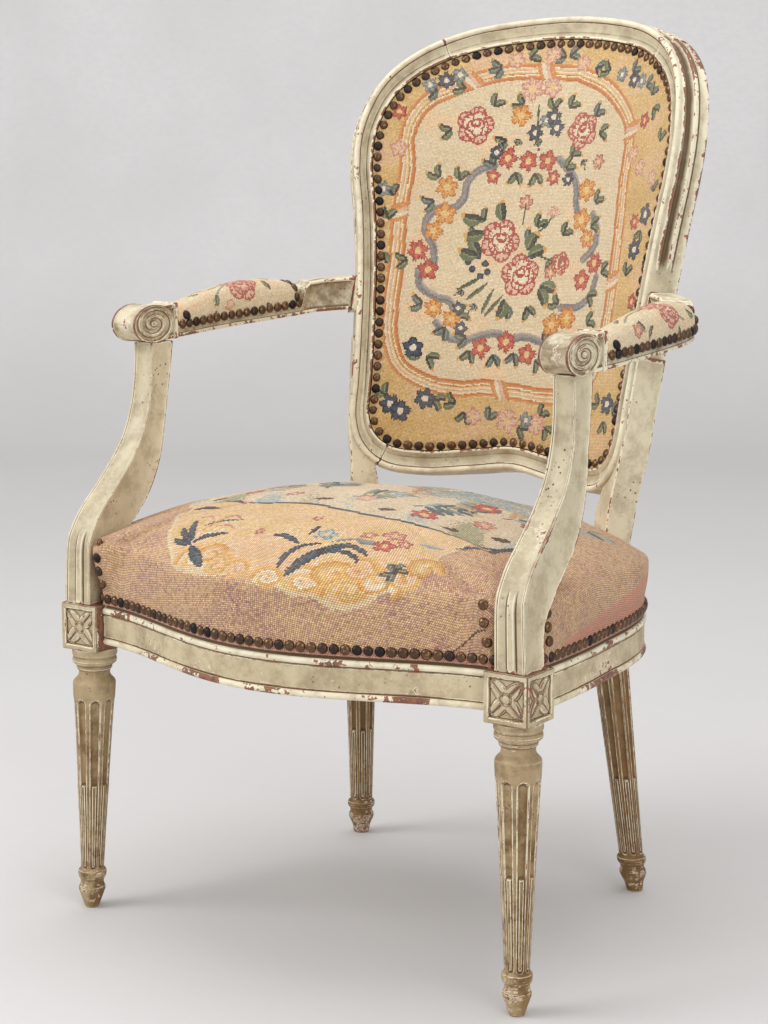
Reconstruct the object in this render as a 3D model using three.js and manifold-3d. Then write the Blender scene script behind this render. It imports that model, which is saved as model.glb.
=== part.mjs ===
// A painted armchair in the Louis XVI manner: fluted legs, serpentine front rail, a bent and leaned
// back with a moulded frame, open arms, and seat, back and arm pads stuffed and covered.
// Millimetres. +X is to the right as seen from the front, the front faces -Y, and +Z is up.
import * as THREE from "three";
import { mergeVertices } from "three/addons/utils/BufferGeometryUtils.js";
import Module from "manifold-3d";

const wasm = await Module();
wasm.setup();

// Fits
const fit = 0.3; // gap between pieces that touch
const overrun = 3; // how far a cutting shape runs past the face it cuts

// Front legs and their joint blocks
const frontSpacing = 500;
const blockSide = 46;
const blockBottom = 271.2;
const blockTop = 318.3;
const frontLegRadius = 22.6;
const frontSplayOut = 5.3;
const frontSplayAhead = 6.7;
const fluteDepth = 3.4;
const panelMargin = 6;
const panelDepth = 1.6;
const rosetteRadius = 6;

// Rear legs: the foot, the seat block and the turn of that block towards the middle
const rearFootX = 175.2;
const rearFootY = 355.7;
const rearTopX = 155.6;
const rearTopY = 327.2;
const rearLegTop = 264;
const rearLegRadius = 18.4;
const rearBlockX = 153;
const rearBlockY = 323.6;
const rearBlockWidth = 29;
const rearBlockThickness = 26;
const rearBlockTurn = THREE.MathUtils.degToRad(33);
const rearBlockTop = 334;

// Seat rails
const railBottom = 278.6;
const railMouldTop = 315.8;
const railTop = 335;
const railThickness = 26;
const railBead = 6.5;
const railBeadDepth = 2.2;
const railRebate = 4.5;
const frontRailSet = 14; // the front rail's ends lie this far ahead of the leg axis
const frontBow = 62;
const bowFullness = 1.6; // 2 is a plain wave, less is fuller towards the legs
const sideRailX = 267;
const backRailBow = 43;

// The back: its front plane is a parabolic cylinder, leaned backwards
const backLean = THREE.MathUtils.degToRad(14.64);
const backFootY = 272.2; // where that plane meets the floor, in the middle
const bendHalfWidth = 200;
const bendDepth = 97.3; // depth of the bend at that half width
const openingHalfWidth = 202;
const openingBottom = 447;
const openingTop = 905;
const stileFace = 20;
const crossFace = 24;
const frameBack = 31;
const rabbetWidth = 12;
const rabbetDepth = 6;
const rearRabbetDepth = 4;
const filletWidth = 2.2;
const filletHeight = 3;
const coveDepth = 0.5;
const beadWidth = 6.5;
const beadHeight = 4.5;
const crestJointReach = 133; // from the middle to the crest joint, along the bend
const lowerJointReach = 140;
const stileFootTop = 560;

// Arms
const supportBaseX = 253.2;
const supportBaseY = 0;
const supportBaseWidth = 32.5;
const supportBaseDepth = 41;
const supportTopX = 246;
const supportTopY = 94.5;
const supportTopWidth = 22.6;
const supportTopDepth = 34;
const supportTop = 571;
const scrollX = 249.5;
const scrollY = 82.3;
const scrollHalfHeight = 19;
const scrollHalfLength = 31; // the scroll is an oval, longer from front to back
const scrollZ = supportTop + scrollHalfHeight;
const scrollWidth = 31;
const volutePlate = 1.2;
const armWidth = 43; // at its widest, under the rear of the pad
const armOutX = 252; // the armrest's axis at its widest
const armHeight = 35;
const armPadSeat = 13; // height of the wood under the arm pad
const padCrown = 33;
const padBulge = 3;
const armRise = 16.5; // from the armrest's front end up to its rear end
const lugLow = supportTop + armRise; // the lug carries the armrest on the stile
const lugHeight = 37;
const lugDepth = 4;

// Tenons and pegs
const tenonLength = 20;
const tenonThickness = 8;
const tenonLow = 282;
const tenonHigh = 302;
const stubTenon = 12;
const pegRadius = 3;
const thinPegRadius = 2.4;
const pegLength = 18;
const shortPeg = 14;
const plugSpacing = 32;
const plugInset = 42;

// Upholstery
const webWidth = 52;
const webThickness = 1.2;
const webSetIn = 7; // a strip's end to the rail's outer face
const webRoom = 2; // a strip is level this far past a crossing
const webFan = 4; // more room where the crossing strip runs aslant
const longWebFrontPitch = 98;
const longWebRearPitch = 68;
const crossWebStart = 52;
const crossWebPitch = 70;
const backWebShares = [0.78, 0.5, 0.215]; // heights of the strips across, as shares of the opening's
const backWebReach = 58;
const backWebPitch = 17;
const patchInset = 1.2; // gap between the back's cover and the frame's fillet
const outsideSet = 1; // the outside cover lies this far behind its rabbet, clear of the bend
const bendRoom = 0.5; // room between flat-sided pieces that lie on one another round the bend
const hessianThickness = 0.8;
const coverThickness = 2;
const seatEdgeLow = 319;
const seatShoulder = 380;
const seatCrown = 436;
const seatCrownY = 100; // where the seat is highest
const seatRearDrop = 9; // how much lower the padding lies at the rear
const seatSideBulge = 13;
const seatEndBulge = 7;
const backDome = 12;

const left = -1;
const right = 1;
const halfSpacing = frontSpacing / 2;
const blockHalf = blockSide / 2;
const railSpanHalf = halfSpacing - blockHalf;

// Solids

function solidOf(geometry) {
  const bare = geometry.clone();
  bare.deleteAttribute("normal");
  bare.deleteAttribute("uv");
  const merged = mergeVertices(bare, 1e-4);
  return new wasm.Manifold(
    new wasm.Mesh({
      numProp: 3,
      vertProperties: merged.attributes.position.array,
      triVerts: new Uint32Array(merged.index.array),
    }),
  );
}

function geometryOf(solid) {
  const mesh = solid.getMesh();
  const geometry = new THREE.BufferGeometry();
  geometry.setAttribute(
    "position",
    new THREE.BufferAttribute(new Float32Array(mesh.vertProperties), 3),
  );
  geometry.setIndex(new THREE.BufferAttribute(new Uint32Array(mesh.triVerts), 1));
  geometry.computeVertexNormals();
  return geometry;
}

// A closed solid through rings that have the same number of points, with a flat cap on each end ring.
function loft(rings) {
  const count = rings[0].length;
  const points = rings.flat();
  const positions = points.flatMap((p) => [p.x, p.y, p.z]);
  const faces = [];
  for (let row = 0; row < rings.length - 1; row++)
    for (let i = 0; i < count; i++) {
      const a = row * count + i;
      const b = row * count + ((i + 1) % count);
      const [p, q, r, s] = [a, b, b + count, a + count].map((k) => points[k]);
      if (p.distanceTo(r) <= q.distanceTo(s)) faces.push(a, b, b + count, a, b + count, a + count);
      else faces.push(a, b, a + count, b, b + count, a + count);
    }
  const last = (rings.length - 1) * count;
  for (const [ring, start, turned] of [
    [rings[0], 0, true],
    [rings[rings.length - 1], last, false],
  ])
    for (const [a, b, c] of capFaces(ring))
      faces.push(...(turned ? [start + a, start + c, start + b] : [start + a, start + b, start + c]));
  const geometry = new THREE.BufferGeometry();
  geometry.setAttribute("position", new THREE.Float32BufferAttribute(positions, 3));
  geometry.setIndex(faces);
  return outward(geometry);
}

// Triangles that fill a flat ring, in the ring's own direction.
function capFaces(ring) {
  const normal = new THREE.Vector3();
  ring.forEach((p, i) => normal.add(p.clone().cross(ring[(i + 1) % ring.length])));
  normal.normalize();
  const across = ring[1].clone().sub(ring[0]).projectOnPlane(normal).normalize();
  const along = normal.clone().cross(across);
  const flat = ring.map((p) => new THREE.Vector2(p.dot(across), p.dot(along)));
  return THREE.ShapeUtils.triangulateShape(flat, []);
}

function outward(geometry) {
  const p = geometry.attributes.position;
  const index = geometry.index.array;
  const [a, b, c] = [new THREE.Vector3(), new THREE.Vector3(), new THREE.Vector3()];
  let volume = 0;
  for (let i = 0; i < index.length; i += 3) {
    a.fromBufferAttribute(p, index[i]);
    b.fromBufferAttribute(p, index[i + 1]);
    c.fromBufferAttribute(p, index[i + 2]);
    volume += a.dot(b.cross(c));
  }
  if (volume < 0)
    for (let i = 0; i < index.length; i += 3)
      [index[i + 1], index[i + 2]] = [index[i + 2], index[i + 1]];
  return geometry;
}

function join(...solids) {
  return solids.reduce((all, one) => all.add(one));
}

function cut(solid, ...cutters) {
  return cutters.reduce((rest, one) => rest.subtract(one), solid);
}

// How far a peg's hole runs past its face. The peg itself, which has no growth, ends at the face.
function past(grow) {
  return grow > 0 ? overrun : 0;
}

function block(centre, width, depth, height, turn = 0) {
  const geometry = new THREE.BoxGeometry(width, depth, height);
  geometry.rotateZ(turn);
  geometry.translate(centre.x, centre.y, centre.z);
  return solidOf(geometry);
}

function rod(start, end, radius, sides = 10) {
  const axis = end.clone().sub(start);
  const geometry = new THREE.CylinderGeometry(radius, radius, axis.length(), sides);
  geometry.applyQuaternion(
    new THREE.Quaternion().setFromUnitVectors(new THREE.Vector3(0, 1, 0), axis.clone().normalize()),
  );
  const middle = start.clone().add(end).divideScalar(2);
  geometry.translate(middle.x, middle.y, middle.z);
  return solidOf(geometry);
}

function mirrored(solid) {
  return solid.mirror([1, 0, 0]);
}

// The leaned and bent plane of the back

const bend = bendDepth / bendHalfWidth ** 2;

function reachAt(x) {
  const slope = 2 * bend * x;
  return (x * Math.hypot(1, slope) + Math.asinh(slope) / (2 * bend)) / 2;
}

function acrossAt(reach) {
  let x = reach;
  for (let step = 0; step < 8; step++) x -= (reachAt(x) - reach) / Math.hypot(1, 2 * bend * x);
  return x;
}

const leanUp = new THREE.Vector3(0, Math.sin(backLean), Math.cos(backLean));
const leanBack = new THREE.Vector3(0, Math.cos(backLean), -Math.sin(backLean));

// Reach runs along the bend from the middle, height up the lean, and lift towards the sitter.
function backPoint(reach, height, lift = 0) {
  const x = acrossAt(reach);
  const slope = 2 * bend * x;
  const point = new THREE.Vector3(x, backFootY, 0);
  point.addScaledVector(leanUp, height).addScaledVector(leanBack, -bend * x * x);
  return point.addScaledVector(backNormal(slope), lift);
}

// The way along the bend, away from the middle.
function backAcross(reach) {
  const slope = 2 * bend * acrossAt(reach);
  return new THREE.Vector3(1, 0, 0).addScaledVector(leanBack, -slope).normalize();
}

function backNormal(slope) {
  const normal = new THREE.Vector3(-slope, 0, 0).addScaledVector(leanBack, -1);
  return normal.normalize();
}

// Height up the lean of a point of the back at a level above the floor.
function leanHeight(reach, level) {
  return (level - backPoint(reach, 0).z) / Math.cos(backLean);
}

// The moulded frame of the back

// Right half of the opening's edge, from the top to the bottom: reach as a share of the opening's half
// width, height as a share of the opening's height.
const openingShares = [
  [0.0, 1.0],
  [0.297, 0.986],
  [0.559, 0.952],
  [0.782, 0.895],
  [0.931, 0.823],
  [1.0, 0.731],
  [0.995, 0.651],
  [0.946, 0.552],
  [0.896, 0.421],
  [0.859, 0.279],
  [0.832, 0.148],
  [0.819, 0.066],
  [0.777, 0.026],
  [0.683, 0.0],
  [0.495, -0.001],
  [0.248, 0.017],
  [0.0, 0.033],
];
const openingHeight = openingTop - openingBottom;
const openingEdge = openingLoop();
// Places on the loop: its top is 0 and its bottom is half way round.
const topPlace = 0;
const bottomPlace = 0.5;
const widestPlace = openingShares.findIndex(([x]) => x === 1) / (2 * openingShares.length - 2);
const crestJoint = jointAt(topPlace, widestPlace, crestJointReach);
const lowerJoint = jointAt(bottomPlace, widestPlace, lowerJointReach);

function openingLoop() {
  const half = openingShares.map(
    ([x, y]) => new THREE.Vector3(x * openingHalfWidth, openingBottom + y * openingHeight, 0),
  );
  const other = half.slice(1, -1).reverse();
  const points = [...half, ...other.map((p) => new THREE.Vector3(-p.x, p.y, 0))];
  return new THREE.CatmullRomCurve3(points, true, "centripetal");
}

// Where the edge reaches a distance from the middle, between two places on the loop.
function jointAt(inner, outer, reach) {
  let [low, high] = [inner, outer];
  for (let step = 0; step < 30; step++) {
    const middle = (low + high) / 2;
    if (openingEdge.getPoint(middle).x < reach) low = middle;
    else high = middle;
  }
  return low;
}

// How many steps each piece of the back's frame is swept in.
const stileSteps = 16;
const crestSteps = 14;
const lowerSteps = 10;
const tenonSteps = 3;

function edgeSpeed(place) {
  const step = 1e-4;
  const at = (t) => openingEdge.getPoint((t + 1) % 1);
  return at(place + step).distanceTo(at(place - step)) / (2 * step);
}

// A place on the loop moved by a length along it.
function further(place, length) {
  return place + length / edgeSpeed(place);
}

function edgeFrame(place) {
  const t = (place + 1) % 1;
  const point = openingEdge.getPoint(t);
  const tangent = openingEdge.getTangent(t);
  const side = new THREE.Vector3(-tangent.y, tangent.x, 0);
  const face = stileFace + (crossFace - stileFace) * side.y ** 2;
  return { point, side, face };
}

function frameSection(face) {
  const bead = face - beadWidth;
  return [
    [-rabbetWidth, -rabbetDepth],
    [0, -rabbetDepth],
    [0, filletHeight],
    [filletWidth, filletHeight],
    [filletWidth + (bead - filletWidth) / 3, -coveDepth],
    [bead - coveDepth, beadHeight / 2],
    [bead, coveDepth],
    [bead + beadWidth / 4, beadHeight - coveDepth],
    [bead + beadWidth / 2, beadHeight],
    [face - coveDepth, beadHeight - filletHeight / 2],
    [face, 0],
    [face, -frameBack + filletWidth],
    [face - filletWidth, -frameBack],
    [0, -frameBack],
    [0, -frameBack + rearRabbetDepth],
    [-rabbetWidth, -frameBack + rearRabbetDepth],
  ];
}

function tenonSection(face, grow) {
  const low = filletWidth - grow;
  const high = face - beadWidth + grow;
  const back = -frameBack + beadHeight - grow;
  const front = back + tenonThickness + 2 * grow;
  return [
    [low, front],
    [high, front],
    [high, back],
    [low, back],
  ];
}

function sweepFrame(section, from, to, steps) {
  const rings = [];
  for (let step = 0; step <= steps; step++) {
    const place = from + ((to - from) * step) / steps;
    const { point, side, face } = edgeFrame(place);
    rings.push(
      section(face).map(([out, lift]) =>
        backPoint(point.x + side.x * out, point.y + side.y * out, lift),
      ),
    );
  }
  return solidOf(loft(rings));
}

function crestTenon(grow, side) {
  const from = further(crestJoint, -overrun);
  const to = further(crestJoint, tenonLength + grow);
  const solid = sweepFrame((face) => tenonSection(face, grow), from, to, tenonSteps);
  return side === right ? solid : mirrored(solid);
}

function lowerTenon(grow, side) {
  const from = further(lowerJoint, overrun);
  const to = further(lowerJoint, -tenonLength / 2 - grow);
  const solid = sweepFrame((face) => tenonSection(face, grow), from, to, tenonSteps);
  return side === right ? solid : mirrored(solid);
}

function crestRail() {
  const end = further(crestJoint, -fit);
  const body = sweepFrame(frameSection, -end, end, crestSteps);
  const tenoned = join(body, crestTenon(0, right), crestTenon(0, left));
  return cut(tenoned, crestPeg(fit), mirrored(crestPeg(fit)));
}

function lowerBackRail() {
  const end = further(lowerJoint, fit);
  const body = sweepFrame(frameSection, end, 1 - end, lowerSteps);
  const tenoned = join(body, lowerTenon(0, right), lowerTenon(0, left));
  return cut(tenoned, lowerRailPeg(fit), mirrored(lowerRailPeg(fit)));
}

// Pegs of the back frame go in from the rear, square to the back.
function framePeg(place, grow) {
  const { point, side, face } = edgeFrame(place);
  const out = face / 2 - filletWidth;
  const at = (lift) => backPoint(point.x + side.x * out, point.y + side.y * out, lift);
  return rod(at(-frameBack - past(grow)), at(-frameBack + shortPeg + grow), pegRadius + grow);
}

// Turned and fluted legs

// Height as a share of the leg's height, radius as a share of its largest radius, flute as a share of
// the full flute depth.
const frontLegShares = [
  [0.0, 0.32, 0],
  [0.037, 0.46, 0],
  [0.074, 0.594, 0],
  [0.098, 0.512, 0],
  [0.135, 0.634, 0],
  [0.152, 0.523, 0],
  [0.17, 0.523, 0],
  [0.185, 0.53, 0.35],
  [0.35, 0.62, 0.35],
  [0.475, 0.705, 0.35],
  [0.5, 0.715, 1],
  [0.79, 0.9, 1],
  [0.82, 0.93, 0],
  [0.868, 0.95, 0],
  [0.885, 0.9, 0],
  [0.9, 0.7, 0],
  [0.925, 0.72, 0],
  [0.94, 0.97, 0],
  [0.965, 0.96, 0],
  [0.98, 1.0, 0],
  [1.0, 1.0, 0],
];
const rearLegShares = [
  [0.0, 0.46, 0],
  [0.038, 0.55, 0],
  [0.076, 0.755, 0],
  [0.102, 0.66, 0],
  [0.132, 0.815, 0],
  [0.155, 0.67, 0],
  [0.18, 0.68, 0.35],
  [0.45, 0.78, 0.35],
  [0.475, 0.79, 1],
  [0.75, 0.9, 1],
  [0.93, 0.98, 1],
  [0.965, 1.0, 0],
  [1.0, 1.0, 0],
];
const fluteCount = 8;
const fluteShare = 0.27; // half a flute's angle as a share of its pitch

function turnedLeg(shares, foot, top, radius) {
  const rings = shares.map(([heightShare, radiusShare, depthShare]) => {
    const centre = foot.clone().lerp(top, heightShare);
    return flutedRing(centre, radius * radiusShare, fluteDepth * depthShare);
  });
  return solidOf(loft(rings));
}

function flutedRing(centre, radius, depth) {
  const pitch = (2 * Math.PI) / fluteCount;
  const ring = [];
  for (let flute = 0; flute < fluteCount; flute++)
    for (const edge of [-1, 0, 1]) {
      const angle = flute * pitch + edge * fluteShare * pitch;
      const r = edge === 0 ? radius - depth : radius;
      ring.push(new THREE.Vector3(r * Math.cos(angle), r * Math.sin(angle), 0).add(centre));
    }
  return ring;
}

function panel(centre, outwardX, outwardY) {
  const size = blockSide - 2 * panelMargin;
  const deep = 2 * panelDepth;
  const recess = block(
    centre,
    outwardX ? deep : size,
    outwardY ? deep : size,
    blockTop - blockBottom - 2 * panelMargin,
  );
  const out = new THREE.Vector3(outwardX, outwardY, 0);
  const button = rod(
    centre.clone().addScaledVector(out, -2 * panelDepth),
    centre.clone().addScaledVector(out, -panelDepth / 4),
    rosetteRadius,
    12,
  );
  return { recess, button };
}

function frontLeg() {
  const foot = new THREE.Vector3(halfSpacing + frontSplayOut, -frontSplayAhead, 0);
  const top = new THREE.Vector3(halfSpacing, 0, blockBottom + overrun);
  const shaft = turnedLeg(frontLegShares, foot, top, frontLegRadius);
  const middle = (blockBottom + blockTop) / 2;
  const cube = block(
    new THREE.Vector3(halfSpacing, 0, middle),
    blockSide,
    blockSide,
    blockTop - blockBottom,
  );
  const front = panel(new THREE.Vector3(halfSpacing, -blockHalf, middle), 0, -1);
  const outer = panel(new THREE.Vector3(halfSpacing + blockHalf, 0, middle), 1, 0);
  const carved = join(cut(cube, front.recess, outer.recess), front.button, outer.button);
  return cut(
    join(carved, shaft),
    frontRailTenon(fit),
    sideRailFrontTenon(fit),
    supportTenon(fit),
    frontRailPeg(fit),
    sideRailFrontPeg(fit),
  );
}

// Seat rails: places on the outer face, seen from above

function bowAt(x) {
  const share = Math.min(Math.abs(x) / railSpanHalf, 1);
  return -frontRailSet - frontBow * Math.cos((share * Math.PI) / 2) ** bowFullness;
}

const blockAcross = new THREE.Vector3(Math.cos(rearBlockTurn), -Math.sin(rearBlockTurn), 0);
const blockAhead = new THREE.Vector3(-Math.sin(rearBlockTurn), -Math.cos(rearBlockTurn), 0);
const rearBlockCentre = new THREE.Vector3(rearBlockX, rearBlockY, 0);
const sideRailEnd = rearBlockCentre
  .clone()
  .addScaledVector(blockAcross, rearBlockWidth / 2)
  .addScaledVector(blockAhead, -railThickness / 2);
const backRailEnd = rearBlockCentre
  .clone()
  .addScaledVector(blockAcross, -rearBlockWidth / 2)
  .addScaledVector(blockAhead, -railThickness / 2);

// Across as a share of the way from the rear leg out to the front end, along as a share of the depth.
const sideRailShares = [
  [0.99, 0.12],
  [0.955, 0.28],
  [0.89, 0.44],
  [0.82, 0.6],
  [0.7, 0.745],
  [0.47, 0.88],
];

function sideRailCurve() {
  const start = new THREE.Vector3(sideRailX, blockHalf, 0);
  const middle = sideRailShares.map(
    ([out, along]) =>
      new THREE.Vector3(
        sideRailEnd.x + out * (sideRailX - sideRailEnd.x),
        blockHalf + along * (sideRailEnd.y - blockHalf),
        0,
      ),
  );
  return new THREE.CatmullRomCurve3([start, ...middle, sideRailEnd], false, "centripetal");
}

const sideCurve = sideRailCurve();

function backRailPoint(share) {
  const x = backRailEnd.x * share;
  return new THREE.Vector3(x, backRailEnd.y + backRailBow * (1 - share * share), 0);
}

// A rail's section: how far in from the outer face, and the level.
function railSection() {
  return [
    [0, railBottom],
    [0, railBottom + railBead],
    [railBeadDepth, railBottom + railBead + railBeadDepth],
    [railBeadDepth, railMouldTop - railBead - railBeadDepth],
    [0, railMouldTop - railBead],
    [0, railMouldTop],
    [railRebate, railMouldTop + railBeadDepth],
    [railRebate, railTop],
    [railThickness, railTop],
    [railThickness, railBottom],
  ];
}

function plainRailSection() {
  return [
    [0, railBottom],
    [0, railMouldTop],
    [railRebate, railMouldTop + railBeadDepth],
    [railRebate, railTop],
    [railThickness, railTop],
    [railThickness, railBottom],
  ];
}

function railRing(section, point, inward) {
  return section.map(([depth, level]) =>
    point.clone().addScaledVector(inward, depth).setZ(level),
  );
}

// Stations along each rail: a point of the outer face and the way in from it.

const frontSteps = 10;
const sideSteps = 7;
const backSteps = 6;
const frontStations = stations(frontSteps, (share) => {
  const x = railSpanHalf * (2 * share - 1);
  return { point: new THREE.Vector3(x, bowAt(x), 0), inward: bowInward(x) };
});
const sideStations = stations(sideSteps, (share) => {
  const tangent = sideCurve.getTangent(share);
  const inward = new THREE.Vector3(-tangent.y, tangent.x, 0);
  return { point: sideCurve.getPoint(share), inward };
});
sideStations[0].inward.set(-1, 0, 0);
sideStations[sideSteps].inward.copy(blockAhead);
const backStations = stations(backSteps, (share) => {
  const place = 1 - 2 * share;
  const slope = (-2 * backRailBow * place) / backRailEnd.x;
  return { point: backRailPoint(place), inward: new THREE.Vector3(slope, -1, 0).normalize() };
});
backStations[0].inward.copy(blockAhead);
backStations[backSteps].inward.set(-blockAhead.x, blockAhead.y, 0);

function stations(steps, at) {
  return Array.from({ length: steps + 1 }, (_, i) => at(i / steps));
}

function bowInward(x) {
  const turn = ((x / railSpanHalf) * Math.PI) / 2;
  const steep = (frontBow * bowFullness * Math.PI) / (2 * railSpanHalf);
  const slope = steep * Math.sin(turn) * Math.abs(Math.cos(turn)) ** (bowFullness - 1);
  return new THREE.Vector3(-slope, 1, 0).normalize();
}

// The rail's two end faces stand back from what they meet by the fit.
function railBody(section, list, startFace, endFace) {
  const rings = list.map(({ point, inward }) => railRing(section, point, inward));
  rings[0] = flattened(rings[0], list[0].point, startFace);
  rings[rings.length - 1] = flattened(rings[rings.length - 1], list[list.length - 1].point, endFace);
  return solidOf(loft(rings));
}

// Moves a ring's points along a normal onto the plane that lies a fit away from the origin given.
function flattened(ring, origin, normal) {
  return ring.map((p) =>
    p.clone().addScaledVector(normal, fit - p.clone().sub(origin).setZ(0).dot(normal)),
  );
}

function frontSeatRail() {
  const body = railBody(
    railSection(),
    frontStations,
    new THREE.Vector3(1, 0, 0),
    new THREE.Vector3(-1, 0, 0),
  );
  return cut(
    join(body, frontRailTenon(0), mirrored(frontRailTenon(0))),
    frontRailPeg(fit),
    mirrored(frontRailPeg(fit)),
    railPlug(0, fit),
    railPlug(1, fit),
  );
}

function sideSeatRail() {
  const body = railBody(railSection(), sideStations, new THREE.Vector3(0, 1, 0), blockAcross);
  return cut(
    join(body, sideRailFrontTenon(0), sideRailRearTenon(0)),
    sideRailFrontPeg(fit),
    sideRailRearPeg(fit),
  );
}

function backSeatRail() {
  const body = railBody(
    plainRailSection(),
    backStations,
    blockAcross.clone().negate(),
    new THREE.Vector3(blockAcross.x, -blockAcross.y, 0),
  );
  return cut(
    join(body, backRailTenon(0), mirrored(backRailTenon(0))),
    backRailPeg(fit),
    mirrored(backRailPeg(fit)),
  );
}

// Tenons of the seat frame. Grown by the fit, the same shapes cut their mortises.

const tenonMiddle = (tenonLow + tenonHigh) / 2;
const tenonHeight = tenonHigh - tenonLow;

function frontRailTenon(grow) {
  const length = tenonLength + overrun + grow;
  const centre = new THREE.Vector3(railSpanHalf - overrun + length / 2, -blockHalf / 4, tenonMiddle);
  return block(centre, length, tenonThickness + 2 * grow, tenonHeight + 2 * grow);
}

function sideRailFrontTenon(grow) {
  const length = tenonLength / 2 + overrun + grow;
  const x = sideRailX - railThickness / 2;
  const centre = new THREE.Vector3(x, blockHalf + overrun - length / 2, tenonMiddle);
  return block(centre, tenonThickness + 2 * grow, length, tenonHeight + 2 * grow);
}

function blockTenon(direction, grow) {
  const length = tenonLength / 2 + overrun + grow;
  const centre = rearBlockCentre
    .clone()
    .addScaledVector(blockAcross, direction * (rearBlockWidth / 2 + overrun - length / 2))
    .setZ(tenonMiddle);
  return block(
    centre,
    length,
    tenonThickness + 2 * grow,
    tenonHeight + 2 * grow,
    -rearBlockTurn,
  );
}

const sideRailRearTenon = (grow) => blockTenon(1, grow);
const backRailTenon = (grow) => blockTenon(-1, grow);

// Pegs of the seat frame

function frontRailPeg(grow) {
  const x = railSpanHalf + 2 * pegRadius + fit;
  return rod(
    new THREE.Vector3(x, blockHalf + past(grow), tenonMiddle),
    new THREE.Vector3(x, -blockHalf / 2 - grow, tenonMiddle),
    pegRadius + grow,
  );
}

function sideRailFrontPeg(grow) {
  const y = blockHalf - 2 * pegRadius;
  return rod(
    new THREE.Vector3(railSpanHalf - past(grow), y, tenonHigh - pegRadius),
    new THREE.Vector3(halfSpacing + pegLength / 2 + grow, y, tenonHigh - pegRadius),
    thinPegRadius + grow,
  );
}

// These go in from the block's rear face, through the tenon.
function blockPeg(direction, grow) {
  const at = (ahead) =>
    rearBlockCentre
      .clone()
      .addScaledVector(blockAcross, direction * (rearBlockWidth / 2 - 2 * pegRadius))
      .addScaledVector(blockAhead, ahead)
      .setZ(tenonMiddle);
  const face = rearBlockThickness / 2;
  return rod(at(-face - past(grow)), at(-face + pegLength + grow), pegRadius + grow);
}

const sideRailRearPeg = (grow) => blockPeg(1, grow);
const backRailPeg = (grow) => blockPeg(-1, grow);

// Two plugs show on the front rail's face, near its right end.
function railPlug(number, grow) {
  const x = railSpanHalf - plugInset - number * plugSpacing;
  const face = bowAt(x) + railBeadDepth;
  return rod(
    new THREE.Vector3(x, face - past(grow), tenonMiddle),
    new THREE.Vector3(x, face + pegLength / 2 + grow, tenonMiddle),
    pegRadius + grow,
  );
}

// Rear leg and stile: one timber from the floor to the crest joint

// Stile below the opening: height as a share of the way from the seat block to the stile's foot top,
// then the reach of its inner and outer sides as shares of the opening's half width.
const stileFootShares = [
  [0.3, 0.705, 0.857],
  [0.4, 0.742, 0.872],
  [0.51, 0.77, 0.9],
  [0.6, 0.81, 0.92],
  [0.75, 0.85, 0.933],
  [1.0, 0.885, 0.958],
];

function blockRing(level, inset) {
  const ring = [];
  for (const [across, ahead] of [
    [-1, 1],
    [1, 1],
    [1, -1],
    [-1, -1],
  ])
    ring.push(
      rearBlockCentre
        .clone()
        .addScaledVector(blockAcross, across * (rearBlockWidth / 2 - inset))
        .addScaledVector(blockAhead, ahead * (rearBlockThickness / 2 - inset))
        .setZ(level),
    );
  return ring;
}

function stileRings(grow) {
  const rings = [blockRing(rearBlockTop, -grow)];
  for (const [heightShare, innerShare, outerShare] of stileFootShares) {
    const height = rearBlockTop + heightShare * (stileFootTop - rearBlockTop);
    const inner = innerShare * openingHalfWidth - grow;
    const outer = outerShare * openingHalfWidth + grow;
    rings.push([
      backPoint(inner, height, grow - coveDepth),
      backPoint(outer, height, grow - coveDepth),
      backPoint(outer, height, -frameBack - grow),
      backPoint(inner, height, -frameBack - grow),
    ]);
  }
  return rings;
}

function stileFoot() {
  const rings = [blockRing(rearLegTop - overrun, filletWidth), blockRing(rearLegTop + filletWidth, 0)];
  return solidOf(loft([...rings, ...stileRings(0)]));
}

const lugMiddle = lugLow + lugHeight / 2;

function outerReach(level) {
  let reach = openingHalfWidth;
  for (let step = 0; step < 12; step++)
    reach = openingReach(leanHeight(reach, level)) + stileFace;
  return reach;
}

const lugReach = outerReach(lugMiddle);

function lug() {
  const ring = (reach, inset) => {
    const low = leanHeight(reach, lugLow + inset);
    const high = leanHeight(reach, lugLow + lugHeight - inset);
    return [
      backPoint(reach, low, -coveDepth - inset),
      backPoint(reach, low, -frameBack + inset),
      backPoint(reach, high, -frameBack + inset),
      backPoint(reach, high, -coveDepth - inset),
    ];
  };
  const start = lugReach - filletWidth - overrun;
  return solidOf(loft([ring(start, 0), ring(lugReach + lugDepth, 0)]));
}

function rearLegStile() {
  const foot = new THREE.Vector3(rearFootX, rearFootY, 0);
  const top = new THREE.Vector3(rearTopX, rearTopY, rearLegTop);
  const leg = turnedLeg(rearLegShares, foot, top, rearLegRadius);
  const from = further(crestJoint, fit);
  const to = further(lowerJoint, -fit);
  const moulded = sweepFrame(frameSection, from, to, stileSteps);
  return cut(
    join(leg, stileFoot(), moulded, lug()),
    crestTenon(fit, right),
    lowerTenon(fit, right),
    sideRailRearTenon(fit),
    backRailTenon(fit),
    sideRailRearPeg(fit),
    backRailPeg(fit),
    crestPeg(fit),
    lowerRailPeg(fit),
    armTenon(fit),
    armPeg(fit),
  );
}

const crestPeg = (grow) => framePeg(further(crestJoint, tenonLength / 2), grow);
const lowerRailPeg = (grow) => framePeg(further(lowerJoint, -tenonLength / 4), grow);

// Arm supports

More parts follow.
